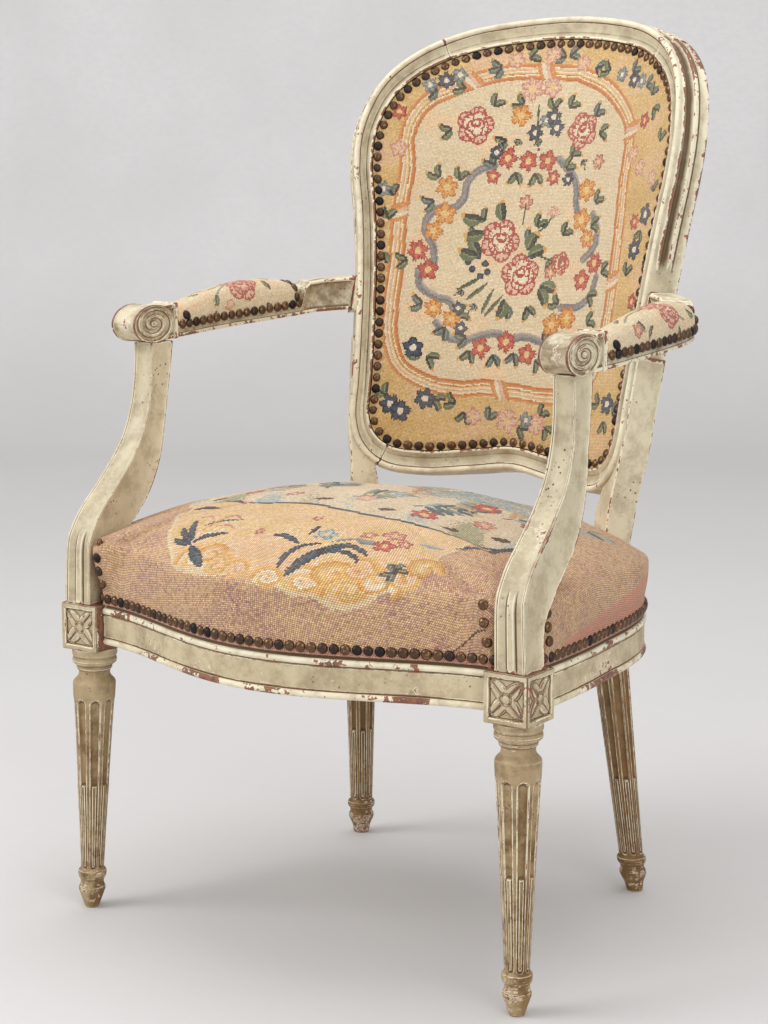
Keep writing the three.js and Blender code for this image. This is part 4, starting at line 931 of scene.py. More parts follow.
def volute_rise(share, angle):
    """How far the spiral stands out of the scroll's end, from its rim (share 1) to its eye (0)."""
    turn = (angle / (2 * math.pi)) % 1
    turns = 2.15
    place = (1 - share) * turns / 0.86 - turn
    ridge = smooth(np.abs((place + 0.5) % 1 - 0.5) * 2, 0.45, 0.75)
    eye = np.sqrt(np.clip(1 - (share / 0.16) ** 2, 0, 1))
    rim = smooth(share, 0.9, 0.93)
    rise = np.where(share < 0.17, 2.3 * eye, 1.7 * ridge)
    return np.where(share > 0.9, 1.6 + 0.2 * rim, rise)


def scroll():
    sides = 80
    angle = np.linspace(0, 2 * math.pi, sides, endpoint=False)
    # angle 0 is the top, and it turns towards the front
    y = -np.sin(angle) * SCROLL_HALF_LENGTH
    z = np.cos(angle) * SCROLL_HALF_HEIGHT
    half = SCROLL_WIDTH / 2
    face = np.concatenate([np.linspace(0.04, 0.9, 30), [0.915, 0.93, 0.95]])
    rings = []

    def ring(share, x):
        points = np.zeros((sides, 3))
        points[:, 0] = SCROLL[0] + x
        points[:, 1] = SCROLL[1] + y * share
        points[:, 2] = SCROLL[2] + z * share
        return points

    for share in face:
        rings.append(ring(share, -(half - 1.8 + volute_rise(share, angle))))
    barrel = [(1.0, 1.0), (0.97, 1.035), (0.85, 1.035), (0.8, 1.0), (0.72, 0.975), (0.4, 0.955), (0, 0.95)]
    across = [(-a, b) for a, b in barrel] + barrel[-2::-1]
    for place, scale in across:
        rings.append(ring(0.965 * scale, place * half))
    for share in face[::-1]:
        rings.append(ring(share, half - 1.8 + volute_rise(share, angle)))
    return loft(rings)


# Finishes


def colour(*srgb):
    """A colour as Blender holds it, from red, green and blue of 0 to 255."""
    share = [c / 255 for c in srgb]
    return tuple(s / 12.92 if s < 0.04045 else ((s + 0.055) / 1.055) ** 2.4 for s in share) + (1.0,)


class Finish:
    """A material under construction: adds nodes and links what it is given to their sockets."""

    def __init__(self, name):
        self.material = bpy.data.materials.new(name)
        self.material.use_nodes = True
        self.tree = self.material.node_tree
        self.tree.nodes.clear()

    def add(self, kind, inputs=(), **settings):
        node = self.tree.nodes.new(kind)
        for key, value in settings.items():
            setattr(node, key, value)
        for key, value in dict(inputs).items():
            socket = node.inputs[key]
            if isinstance(value, bpy.types.NodeSocket):
                self.tree.links.new(value, socket)
            else:
                socket.default_value = value
        return node

    def place(self, scale=(1, 1, 1), turn=(0, 0, 0)):
        coordinates = self.add("ShaderNodeTexCoord").outputs["Object"]
        mapping = self.add("ShaderNodeMapping", {"Vector": coordinates, "Scale": scale, "Rotation": turn})
        return mapping.outputs["Vector"]

    def noise(self, scale, detail=3.0, where=None, rough=0.55, distort=0.0):
        node = self.add(
            "ShaderNodeTexNoise",
            {
                "Vector": where or self.place(),
                "Scale": scale,
                "Detail": detail,
                "Roughness": rough,
                "Distortion": distort,
            },
        )
        return node.outputs[0]

    def band(self, value, low, high, to_low=0.0, to_high=1.0):
        node = self.add(
            "ShaderNodeMapRange",
            {"Value": value, "From Min": low, "From Max": high, "To Min": to_low, "To Max": to_high},
            interpolation_type="SMOOTHSTEP",
        )
        return node.outputs["Result"]

    def math(self, operation, a, b=0.0, c=0.0):
        return self.add("ShaderNodeMath", {0: a, 1: b, 2: c}, operation=operation).outputs[0]

    def mix(self, share, a, b, blend="MIX"):
        node = self.add("ShaderNodeMix", {0: share, 6: a, 7: b}, data_type="RGBA", blend_type=blend)
        return node.outputs[2]

    def value(self, name):
        return self.add("ShaderNodeAttribute", attribute_name=name).outputs["Fac"]

    def finish(self, base, roughness, bump=None, depth=0.0, strength=0.6, **extra):
        inputs = {"Base Color": base, "Roughness": roughness}
        inputs.update({key.replace("_", " "): value for key, value in extra.items()})
        if bump is not None:
            node = self.add("ShaderNodeBump", {"Height": bump, "Distance": depth, "Strength": strength})
            inputs["Normal"] = node.outputs[0]
        shader = self.add("ShaderNodeBsdfPrincipled", inputs)
        output = self.add("ShaderNodeOutputMaterial")
        self.tree.links.new(shader.outputs[0], output.inputs[0])
        return self.material


def old_paint(name, soil_and_shade=0.25, chips=0.5, handled=0.0):
    """Cream distemper, rubbed white on its edges, browned in its hollows and where it is handled, chipped
    to red-brown wood. Its proud mouldings are painted lighter, a painted highlight, and its flats and coves
    greyer, painted shade; low under the seat it is darkened partly by soil and partly by painted shade."""
    look = Finish(name)
    chips += settings().wear - 0.6
    broad = look.noise(9, 4)
    streaks = look.noise(26, 4, look.place((1, 1, 0.16)), 0.6)
    fine = look.noise(190, 5, rough=0.65)
    patch = look.noise(55, 4, rough=0.6, distort=0.4)
    clean = settings().paint_colour
    shaded = tuple(0.85 * share for share in clean[:3]) + (1.0,)
    cream = look.mix(look.band(broad, 0.35, 0.65), tuple(clean), shaded)
    cream = look.mix(look.band(streaks, 0.45, 0.72, 0, 0.5), cream, colour(228, 216, 184))
    cream = look.mix(look.band(fine, 0.5, 0.75, 0, 0.45), cream, colour(186, 168, 124))
    relief = look.value("relief")
    broad_form = look.value("form")
    # painted light: the proud mouldings are painted lighter, a painted highlight, and the flats and coves
    # between them greyer, painted shade
    cream = look.mix(look.band(broad_form, 0.0, 0.12, 0, 0.5), cream, colour(238, 228, 198))
    cream = look.mix(look.band(broad_form, 0.02, -0.1, 0, 0.45), cream, colour(164, 150, 116))
    level = look.add("ShaderNodeSeparateXYZ", {0: look.place()}).outputs[2]
    # and yellower and browner towards the floor; under the seat the browning is partly soil and partly
    # painted shade
    cream = look.mix(look.band(level, 0.46, 0.1, 0, 0.55), cream, colour(198, 172, 118))
    cream = look.mix(look.band(level, 0.33, 0.24, 0, 0.75 * soil_and_shade), cream, colour(138, 106, 62))
    low = look.band(level, 0.34, 0.05, 0, 1.6 * soil_and_shade)
    cream = look.mix(look.math("MULTIPLY", look.band(streaks, 0.62, 0.38), low), cream, colour(132, 100, 56))
    hollow = look.math("MULTIPLY_ADD", patch, 0.26, look.math("MULTIPLY", relief, -2.2))
    cream = look.mix(look.band(hollow, 0.2, 0.5, 0, 0.94), cream, colour(92, 68, 40))
    # blotches of dirt, heavier where it is handled and low under the seat, where they are partly painted
    # shade
    dirt = look.band(look.noise(34, 6, rough=0.72), 0.42, 0.64)
    soiled_and_shaded = look.math("MULTIPLY", dirt, look.math("ADD", low, 0.36 + handled))
    cream = look.mix(soiled_and_shaded, cream, colour(112, 82, 44))
    edge = look.math("MULTIPLY_ADD", patch, 0.34, look.math("MULTIPLY", relief, 1.8))
    cream = look.mix(look.band(edge, 0.29, 0.42, 0, 0.8), cream, colour(242, 234, 208))
    bare = look.math("MULTIPLY_ADD", fine, 0.5, look.math("MULTIPLY", relief, 1.6))
    bare = look.math("MULTIPLY_ADD", look.noise(26, 4, rough=0.6), 0.55, bare)
    bare = look.math("MULTIPLY_ADD", look.noise(95, 3, rough=0.6), 0.4, bare)
    bare = look.math("MULTIPLY_ADD", look.value("rub"), 0.27, bare)
    worn = look.band(bare, 1.2 - 0.2 * chips, 1.24 - 0.2 * chips, 0, 0.94)
    wood = look.mix(look.band(fine, 0.4, 0.6), colour(82, 46, 32), colour(146, 80, 52))
    halo = look.band(bare, 1.13 - 0.2 * chips, 1.2 - 0.2 * chips, 0, 0.7)
    cream = look.mix(halo, cream, colour(240, 230, 204))
    cream = look.mix(worn, cream, wood)
    pits = look.add("ShaderNodeTexVoronoi", {"Vector": look.place(), "Scale": 190.0, "Randomness": 1.0})
    chance = look.band(look.noise(23, 3), 0.62 - 0.14 * chips, 0.7, 0, 1)
    pit = look.math("MULTIPLY", look.band(pits.outputs["Distance"], 0.24, 0.12), chance)
    cream = look.mix(pit, cream, colour(84, 54, 34))
    height = look.math("MULTIPLY_ADD", worn, -1.2, look.math("MULTIPLY", fine, 0.5))
    height = look.math("MULTIPLY_ADD", pit, -1.5, look.math("MULTIPLY_ADD", streaks, 0.8, height))
    rough = look.band(patch, 0.3, 0.7, 0.42, 0.62)
    return look.finish(cream, rough, height, 0.0006, 0.5, Specular_IOR_Level=0.4)


def bronze():
    """Bronzed nails. Each one's patina is on its own points, from nearly black to rubbed copper; the light
    copper flecks are partly rubbed metal and partly painted glints.
    """
    look = Finish("antique bronze")
    patina = look.value("patina")
    rub = look.noise(420, 3)
    metal = settings().nail_colour
    base = look.mix(look.band(patina, 0.15, 0.75), colour(44, 38, 40), tuple(metal))
    # light copper flecks: partly rubbed metal, partly painted glints
    rubbed_copper_and_glint = look.math("MULTIPLY", look.band(rub, 0.52, 0.7, 0, 0.7), look.band(patina, 0.3, 0.95))
    base = look.mix(rubbed_copper_and_glint, base, colour(184, 132, 88))
    return look.finish(base, look.band(patina, 0.0, 1.0, 0.46, 0.3), rub, 0.0002, 0.4, Metallic=0.8)


def wool(name, gap, bare):
    """Needlepoint: each stitch's colour is on its own face, and its slant comes from the UV map. Gap
    shades the stitch's colour where it sinks between two stitches, and bare says how strongly: this is
    painted shade, and each stitch is also painted lighter on its crown and darker on its sides."""
    look = Finish(name)
    stitch = look.add("ShaderNodeAttribute", attribute_name="stitch").outputs["Color"]
    count = look.add("ShaderNodeUVMap", uv_map="stitches").outputs[0]
    split = look.add("ShaderNodeSeparateXYZ", {0: count})
    across = look.math("FRACT", split.outputs[0])
    along = look.math("FRACT", split.outputs[1])
    slant = look.math("ABSOLUTE", look.math("SUBTRACT", across, along))
    strand = look.band(slant, 0.75, 0.1, 0, 1)
    ends_a = look.math("PINGPONG", split.outputs[0], 0.5)
    ends_b = look.math("PINGPONG", split.outputs[1], 0.5)
    plump = look.math("MINIMUM", look.band(ends_a, 0, 0.28), look.band(ends_b, 0, 0.28))
    height = look.math("MULTIPLY", look.math("MULTIPLY_ADD", strand, 0.6, 0.4), plump)
    fuzz = look.noise(1500, 2)
    fuzz = look.math("MULTIPLY_ADD", fuzz, 0.3, -0.15)
    # painted light and shade: each stitch lighter on its crown and darker on its sides
    shade = look.math("ADD", fuzz, look.band(height, 0, 0.7, 0.88, 1.06))
    tone = look.add("ShaderNodeCombineColor", {0: shade, 1: shade, 2: shade}).outputs[0]
    base = look.mix(1.0, stitch, tone, "MULTIPLY")
    # painted shade: the gap colour darkens each stitch where it sinks between two stitches
    base = look.mix(look.band(height, 0.5, 0.1, 0, bare), base, look.mix(1.0, stitch, gap, "MULTIPLY"))
    return look.finish(base, 0.95, height, 0.0005, 0.8, Sheen_Weight=0.15, Specular_IOR_Level=0.2)


def woven(name, thread, gap, pitch, depth=0.0004):
    """Plain woven cloth: two crossing sets of threads, with slubs, dirty patches and a soft surface."""
    look = Finish(name)
    density = math.pi / pitch
    split = look.add("ShaderNodeSeparateXYZ", {0: look.place()})
    upright = look.math("ADD", split.outputs[1], split.outputs[2])
    warp = look.math("ABSOLUTE", look.math("SINE", look.math("MULTIPLY", split.outputs[0], density)))
    weft = look.math("ABSOLUTE", look.math("SINE", look.math("MULTIPLY", upright, density)))
    height = look.math("MULTIPLY", warp, weft)
    slub = look.noise(140, 3, look.place((1, 0.15, 0.15)))
    base = look.mix(look.band(height, 0.05, 0.6), gap, thread)
    base = look.mix(look.band(slub, 0.52, 0.72, 0, 0.35), base, tuple(0.82 * c for c in thread[:3]) + (1.0,))
    base = look.mix(look.band(look.noise(14, 4), 0.45, 0.75, 0, 0.4), base, gap)
    return look.finish(base, 0.92, height, depth, 0.7, Sheen_Weight=0.1)


FINISHES = {}


def finish_named(name):
    """The chair's finishes, each made the first time it is asked for."""
    makers = {
        "paint": lambda: old_paint("old cream paint", 0.2, 0.6),
        "arm paint": lambda: old_paint("old cream paint of the arms", 0.2, 0.75, 0.4),
        # the legs, the rear ones most, are darkened low under the seat: partly soil and partly painted shade
        "leg paint": lambda: old_paint("old cream paint of the legs", 0.55, 0.8),
        "rear paint": lambda: old_paint("old cream paint of the rear legs", 1.2, 0.9),
        "bronze": bronze,
        "seat wool": lambda: wool("needlepoint of the seat", colour(150, 124, 134), 0.66),
        "back wool": lambda: wool("needlepoint of the back", colour(206, 190, 172), 0.5),
        "linen": lambda: woven("cream linen", colour(206, 194, 162), colour(172, 158, 124), 0.0011),
        "jute": lambda: woven("jute webbing", colour(176, 146, 100), colour(104, 80, 50), 0.0026, 0.0008),
        "hessian": lambda: woven("hessian", colour(168, 138, 94), colour(92, 70, 46), 0.0018, 0.0006),
    }
    if name not in FINISHES:
        FINISHES[name] = makers[name]()
    return FINISHES[name]


def refinish(finish, *nodes):
    """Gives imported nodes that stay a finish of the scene's own."""
    for name in nodes:
        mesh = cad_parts[name].data
        mesh.materials.clear()
        mesh.materials.append(finish_named(finish))


# Padding: forms that are filled by a cloth simulation

SWELL_FRAMES = 20
# the furthest that the cloth may move, in millimetres
SEAT_SWELL, BACK_SWELL, PAD_SWELL = 9.0, 7.0, 3.0
CLOTH_SETTINGS = {
    "quality": 6, "mass": 0.3, "tension_stiffness": 18, "compression_stiffness": 18, "shear_stiffness": 6,
    "bending_stiffness": 1.5, "air_damping": 2, "use_pressure": True,
}


def swell(rows, around, held, cap, pressure):
    """Fills a form under its cloth. Rows of points run up the form; around is true where they close
    round it, held says which points are nailed down, and cap is the furthest that a point may move."""
    rows = np.asarray(rows, float)
    count, width, _ = rows.shape
    faces = []
    for r in range(count - 1):
        for k in range(width if around else width - 1):
            nxt = (k + 1) % width
            faces.append((r * width + k, r * width + nxt, (r + 1) * width + nxt, (r + 1) * width + k))
    mesh = bpy.data.meshes.new("padding")
    start = in_frame(rows.reshape(-1, 3))
    mesh.from_pydata(start.tolist(), [], faces)
    mesh.update()
    obj = add_object("padding", mesh)
    scene = bpy.context.scene
    group = obj.vertex_groups.new(name="held")
    group.add([int(k) for k in np.flatnonzero(np.asarray(held).reshape(-1))], 1.0, "REPLACE")
    cloth = obj.modifiers.new("cloth", "CLOTH")
    for name, value in CLOTH_SETTINGS.items():
        setattr(cloth.settings, name, value)
    cloth.settings.uniform_pressure_force = pressure
    cloth.settings.vertex_group_mass = "held"
    cloth.settings.effector_weights.gravity = 0
    cloth.collision_settings.use_collision = False
    cloth.point_cache.frame_start = 1
    cloth.point_cache.frame_end = SWELL_FRAMES
    for step in range(1, SWELL_FRAMES + 1):
        scene.frame_set(step)
    shown = obj.evaluated_get(bpy.context.evaluated_depsgraph_get())
    ended = np.empty(len(mesh.vertices) * 3)
    shown.data.vertices.foreach_get("co", ended)
    moved = ended.reshape(-1, 3) - start
    scene.frame_set(1)
    bpy.data.objects.remove(obj)
    bpy.data.meshes.remove(mesh)
    far = np.maximum(np.linalg.norm(moved, axis=1, keepdims=True), 1e-9)
    moved = moved / far * (cap * MM * np.tanh(far / (cap * MM)))
    if not np.isfinite(moved).all():
        raise RuntimeError("the cloth simulation of the padding broke up")
    return rows + (moved / MM).reshape(rows.shape)


def evenly(columns, count):
    """Curves through columns of points, each cut in steps of even length."""
    out = []
    for column in columns:
        curve = Curve(column, samples=240).table
        length = lengths(curve)
        at = np.linspace(0, length[-1], count)
        out.append(np.stack([np.interp(at, length, curve[:, axis]) for axis in range(3)], -1))
    return np.array(out)


def wave(points, size, seed):
    """A smooth uneven field, mostly between -1 and 1, such as lumps of hair under a cover."""
    random = np.random.default_rng(seed)
    total = np.zeros(points.shape[:-1])
    for _ in range(9):
        way = random.normal(size=points.shape[-1])
        way *= random.uniform(0.6, 1.7) * 2 * math.pi / (size * np.linalg.norm(way))
        total += np.sin(points @ way + random.uniform(0, 2 * math.pi))
    return total / 4.5


class Cloth:
    """Cloth in a grid of stitches. Flat places are in millimetres, and cells are painted one by one."""

    def __init__(self, low, high, stitch):
        self.columns = np.arange(low[0], high[0] + stitch, stitch)
        self.rows = np.arange(low[1], high[1] + stitch, stitch)
        self.x, self.y = np.meshgrid(self.columns, self.rows, indexing="ij")
        self.u = (self.x[:-1, :-1] + self.x[1:, 1:]) / 2
        self.v = (self.y[:-1, :-1] + self.y[1:, 1:]) / 2
        self.tint = np.zeros(self.u.shape + (3,))

    def piece(self, name, points, kept, finish, replaced, fill):
        """The cover over given points, of the cells that are kept."""
        tall = len(self.rows)
        i, j = np.nonzero(kept)
        corners = np.stack([i * tall + j, (i + 1) * tall + j, (i + 1) * tall + j + 1, i * tall + j + 1], -1)
        used = np.unique(corners)
        number = np.full(len(self.columns) * tall, -1)
        number[used] = np.arange(len(used))
        vertices = in_frame(points.reshape(-1, 3)[used])
        faces = number[corners]
        mesh = bpy.data.meshes.new(name)
        mesh.from_pydata(vertices.tolist(), [], faces.tolist())
        coordinates = np.stack([corners // tall, corners % tall], -1).astype(np.float32)
        uv = mesh.uv_layers.new(name="stitches")
        uv.data.foreach_set("uv", coordinates.reshape(-1))
        tint = np.ones((len(faces), 4, 4), np.float32)
        tint[:, :, :3] = self.tint[i, j][:, None, :]
        stitch = mesh.color_attributes.new("stitch", "FLOAT_COLOR", "CORNER")
        stitch.data.foreach_set("color", tint.reshape(-1))
        mesh.validate()
        mesh.shade_smooth()
        obj = add_object(name, mesh)
        mesh.materials.append(finish_named(finish))
        declare(obj, replaced)
        return obj


def refined(grid, times, around, axis):
    """A grid of points with more rows along one axis, on smooth curves through the given ones."""
    rows = np.moveaxis(grid, axis, 0)
    count = len(rows)
    place = np.arange(count * times if around else (count - 1) * times + 1) / times
    low = np.floor(place).astype(int)
    if not around:
        low = low.clip(0, count - 2)
        rows = np.concatenate([2 * rows[:1] - rows[1:2], rows, 2 * rows[-1:] - rows[-2:-1]])
    t = (place - low).reshape((-1,) + (1,) * (rows.ndim - 1))
    a, b, c, d = (rows[(low + k) % count] if around else rows[low + k + 1] for k in (-1, 0, 1, 2))
    fine = b + 0.5 * t * (c - a + t * (2 * a - 5 * b + 4 * c - d + t * (3 * (b - c) + d - a)))
    return np.moveaxis(fine, 0, axis)


class Form:
    """A filled form, with the flat place that each of its points has in the cloth that covers it."""

    def __init__(self, flat, solid, around):
        both = np.concatenate([np.asarray(flat, float), np.asarray(solid, float)], axis=-1)
        both = refined(refined(both, 3, False, 0), 3, around, 1)
        rows, wide, _ = both.shape
        self.flat = both.reshape(-1, 5)[:, :2]
        self.solid = both.reshape(-1, 5)[:, 2:]
        triangles = []
        for r in range(rows - 1):
            for k in range(wide if around else wide - 1):
                a, b = r * wide + k, r * wide + (k + 1) % wide
                triangles += [(a, b, b + wide), (a, b + wide, a + wide)]
        self.triangles = np.array(triangles)
        level = np.concatenate([self.flat, np.zeros((len(self.flat), 1))], axis=1)
        self.tree = BVHTree.FromPolygons(level.tolist(), triangles)

    def at(self, spots):
        """The points of the form at flat places, and which of the places lie on it."""
        shape = spots.shape[:-1]
        spots = spots.reshape(-1, 2)
        number = np.zeros(len(spots), int)
        place = np.zeros((len(spots), 2))
        on = np.zeros(len(spots), bool)
        for k, (x, y) in enumerate(spots):
            hit, _, index, gap = self.tree.find_nearest(Vector((x, y, 0.0)))
            number[k], place[k], on[k] = index, hit[:2], gap < 1e-4
        a, b, c = (self.flat[self.triangles[number, k]] for k in range(3))
        cross = lambda p, q: p[:, 0] * q[:, 1] - p[:, 1] * q[:, 0]
        area = cross(b - a, c - a)
        area = np.where(np.abs(area) < 1e-12, 1e-12, area)
        share_b = cross(place - a, c - a) / area
        share_c = cross(b - a, place - a) / area
        a, b, c = (self.solid[self.triangles[number, k]] for k in range(3))
        points = a + (b - a) * share_b[:, None] + (c - a) * share_c[:, None]
        return points.reshape(shape + (3,)), on.reshape(shape)

    def lay(self, cloth):
        """The cloth's points on the form, and the stitches that the form carries."""
        points, on = self.at(np.stack([cloth.x, cloth.y], -1))
        return points, ~corners_all(~on)

    def ways_at(self, spots):
        """The ways out of the form at flat places."""
        step = np.array([[0.7, 0.0], [0.0, 0.7]])
        across = self.at(spots + step[0])[0] - self.at(spots - step[0])[0]
        along = self.at(spots + step[1])[0] - self.at(spots - step[1])[0]
        return unit(np.cross(across, along))


def corners_all(mask):
    return mask[:-1, :-1] & mask[1:, :-1] & mask[:-1, 1:] & mask[1:, 1:]


# The seat


def seat_plan():
    """The rails' outer faces as one ring from above, with the way in from each place."""
    points, inward = [], []
    side_points, side_inward = side_stations(44)
    for some, ways in (
        front_stations(70),
        (side_points, side_inward),
        back_stations(40),
        (side_points[::-1] * (-1, 1), side_inward[::-1] * (-1, 1)),
    ):
        if points:
            gap = np.linalg.norm(some[0] - points[-1][-1])
            steps = max(1, int(gap / 7))
            share = np.arange(1, steps)[:, None] / steps
            points.append(points[-1][-1] + (some[0] - points[-1][-1]) * share)
            inward.append(inward[-1][-1] + (ways[0] - inward[-1][-1]) * share)
        points.append(some)
        inward.append(ways)
    gap = np.linalg.norm(points[0][0] - points[-1][-1])
    share = np.arange(1, int(gap / 7))[:, None] / int(gap / 7)
    points.append(points[-1][-1] + (points[0][0] - points[-1][-1]) * share)
    inward.append(inward[-1][-1] + (inward[0][0] - inward[-1][-1]) * share)
    return np.concatenate(points), unit(np.concatenate(inward))


SEAT_FACE = 2.2  # the cover's outer face behind the rails' outer faces
SEAT_SHARES = [(0.3, 0.6), (0.62, 0.92), (1.0, 1.0)]
SEAT_TOP_SHARES = [(0.96, 0.15), (0.86, 0.34), (0.68, 0.6), (0.42, 0.86), (0.12, 1.0), (0.002, 1.0)]
STUFFING_LEVEL = 339.0
SEAT_CORNER_FILL = 14.0  # how far the cover comes forward beside the arm supports
SEAT_START = 4.0  # how far the form starts inside the cover's face before it is filled


def dropped(points):
    rise = smooth(points[..., 2], STUFFING_LEVEL, SEAT_SHOULDER)
    along = np.maximum(0, (points[..., 1] - SEAT_CROWN_Y) / (REAR_BLOCK[1] - SEAT_CROWN_Y))
    points = points.copy()
    points[..., 2] -= SEAT_REAR_DROP * rise * along
    return points


def seat_form():
    """Columns of the filled seat, one for each place round it, from its nailed edge up to its crown."""
    plan, inward = seat_plan()

    def ring(bulge, level, inset):
        side = SEAT_SIDE_BULGE * inward[:, 0] ** 2 * smooth(plan[:, 1], 18, 90)
        out = side + SEAT_END_BULGE * inward[:, 1] ** 2 * smooth(np.abs(plan[:, 0]), 232, 150)
        out = out + SEAT_CORNER_FILL * smooth(np.abs(plan[:, 0]), 196, 222) * (plan[:, 1] < 4)
        spot = plan + inward * (SEAT_FACE + inset - bulge * out)[:, None]
        return np.concatenate([spot, np.full((len(spot), 1), level)], axis=1)

    rings = [ring(0 * inward[:, 0], SEAT_EDGE_LOW, 0), ring(0 * inward[:, 0], RAIL_TOP, 0)]
    for rise, bulge in SEAT_SHARES:
        rings.append(ring(bulge, RAIL_TOP + rise * (SEAT_SHOULDER - RAIL_TOP), SEAT_START * bulge))
    middle = np.array([0, SEAT_CROWN_Y, 0])
    shoulder = rings[-1]
    for share, rise in SEAT_TOP_SHARES:
        spot = middle + (shoulder - middle) * share
        spot[:, 2] = SEAT_SHOULDER + rise * (SEAT_CROWN - SEAT_SHOULDER) - SEAT_START
        rings.append(spot)
    columns = evenly(dropped(np.stack(rings, 1)), 40)
    columns = columns + wave(columns, 90, 4)[..., None] * smooth(columns[..., 2:], 345, 400) * (0, 0, 1.6)
    held = np.zeros(columns.shape[:2], bool)
    held[:, :2] = True
    held |= inside_posts(columns, 4.0)
    held &= columns[..., 2] < 400
    rows = swell(columns.swapaxes(0, 1), True, held.T, SEAT_SWELL, settings().fullness)
    return rows.swapaxes(0, 1)


def inside_posts(points, room=0.0):
    """Which points lie in an arm support or in a stile, by more than an amount, or less if it is under 0."""
    x, y, z = np.abs(points[..., 0]), points[..., 1], points[..., 2]
    rows = np.array(support_table(60))
    level = BLOCK_TOP + rows[:, 0] * (SUPPORT_TOP - BLOCK_TOP)
    share = np.interp(z, level, rows[:, 0])
    centre = SUPPORT_BASE[0] + share * (SUPPORT_TOP_AXIS[0] - SUPPORT_BASE[0])
    half = (SUPPORT_BASE_SIZE[0] + share * (SUPPORT_TOP_SIZE[0] - SUPPORT_BASE_SIZE[0])) / 2
    edges = []
    for sign, column in ((-1, 1), (1, 2)):
        base = SUPPORT_BASE[1] + sign * SUPPORT_BASE_SIZE[1] / 2
        top = SUPPORT_TOP_AXIS[1] + sign * SUPPORT_TOP_SIZE[1] / 2
        edges.append(base + (top - base) * np.interp(z, level, rows[:, column]))
    room_x = half + room - np.abs(x - centre)
    inside = (room_x > 0) & (y > edges[0] - room) & (y < edges[1] + room)
    first = STILE_FOOT_SHARES[0][0]
    foot, head = np.array(block_ring(REAR_BLOCK_TOP)), np.array(stile_ring(first))
    share = np.clip((z - REAR_BLOCK_TOP) / (head[:, 2].mean() - REAR_BLOCK_TOP), 0, 1)
    within = np.ones(x.shape, bool)
    for k in range(4):
        a = foot[k, :2] + (head[k] - foot[k])[:2] * share[..., None]
        b = foot[(k + 1) % 4, :2] + (head[(k + 1) % 4] - foot[(k + 1) % 4])[:2] * share[..., None]
        edge = b - a
        off = edge[..., 0] * (y - a[..., 1]) - edge[..., 1] * (x - a[..., 0])
        within &= -off / np.linalg.norm(edge, axis=-1) > -room
    return inside | within


SEAT_RING = 27  # the row of the form where its top ends and the cloth turns down


def seat_flat(columns):
    """Flat places of the seat's points: from above on its top, and as far as it falls at its sides."""
    ring = columns[:, SEAT_RING, :2]
    around = np.roll(ring, -1, axis=0) - np.roll(ring, 1, axis=0)
    turn = np.unwrap(np.arctan2(-around[:, 0], around[:, 1]))
    # the threads fan out evenly round the corners and never cross
    straight = turn[0] + np.arange(len(turn)) * 2 * math.pi * np.sign(turn[-1] - turn[0]) / len(turn)
    swing = turn - straight
    for _ in range(220):
        swing = (np.roll(swing, 1) + swing + np.roll(swing, -1)) / 3
    turn = straight + swing
    way = np.stack([np.cos(turn), np.sin(turn)], -1)
    middle = ring.mean(axis=0)
    way *= np.sign(np.einsum("ij,ij->i", way, ring - middle))[:, None]
    step = np.linalg.norm(np.diff(columns, axis=1), axis=2)
    length = np.concatenate([np.zeros((len(columns), 1)), np.cumsum(step, axis=1)], axis=1)
    fall = np.maximum(length[:, SEAT_RING : SEAT_RING + 1] - length, 0)
    flat = ring[:, None] + way[:, None] * fall[..., None]
    flat[:, SEAT_RING:] = columns[:, SEAT_RING:, :2]
    return flat


def seat_cloth(columns):
    """The seat's cover as a grid of stitches, and which of them there are."""
    cloth = Cloth((-345, -170), (345, 440), 2.0)
    form = Form(seat_flat(columns).swapaxes(0, 1), columns.swapaxes(0, 1), True)
    points, kept = form.lay(cloth)
    hidden = inside_posts(points, -3.0)
    return cloth, points, kept & ~corners_all(hidden)


# The back


BACK_NAIL_COUNT = 122
COVER_LIFT = 0.9
PATCH_INSET = 1.2
NAIL_INSET = 5.5  # from the opening's edge to the middle of a nail
BACK_MIDDLE = np.array([0.0, (OPENING_BOTTOM + OPENING_TOP) / 2])


def opening_ring(count, inset):
    place = np.arange(count) / count
    point, side, _ = edge_frame(place)
    return point[:, :2] - side * inset


def round_opening(count):
    """Flat places for a number of nails at even steps round the opening."""
    ring = opening_ring(1440, NAIL_INSET)
    closed = np.concatenate([ring, ring[:1]])
    length = lengths(closed)
    at = np.arange(count) * length[-1] / count
    return np.stack([np.interp(at, length, closed[:, k]) for k in range(2)], -1)


def back_form():
    """The filled back, in rings that draw in from the opening's edge to its middle."""
    edge = opening_ring(4 * BACK_NAIL_COUNT, PATCH_INSET)
    shares = 1 - np.concatenate([[0, 0.008, 0.02, 0.035, 0.055, 0.08], np.linspace(0.115, 0.998, 26)])
    flat = BACK_MIDDLE + (edge[None] - BACK_MIDDLE) * shares[:, None, None]
    lift = COVER_LIFT + (BACK_DOME - 4.5) * (1 - shares[:, None] ** 3.4)
    lift = lift + 0.6 * wave(flat, 110, 7) * (1 - shares[:, None])
    held = np.zeros(flat.shape[:2], bool)
    held[0] = True
    rings = back_point(flat[..., 0], flat[..., 1], lift)
    filled = swell(rings, True, held, BACK_SWELL, settings().fullness)
    # each nail draws the cloth down, and it stands up in puckers between two nails
    gap = np.linalg.norm(flat - flat[0], axis=-1)
    between = np.cos(2 * math.pi * np.arange(len(edge)) / 4)[None, :]
    drawn = 1.5 * np.exp(-(((gap - 4.5) / 4.0) ** 2)) + 0.55 * between * np.exp(-(((gap - 8) / 7) ** 2))
    normal = back_point(flat[..., 0], flat[..., 1], 1) - back_point(flat[..., 0], flat[..., 1], 0)
    return Form(flat, filled - drawn[..., None] * normal, True)


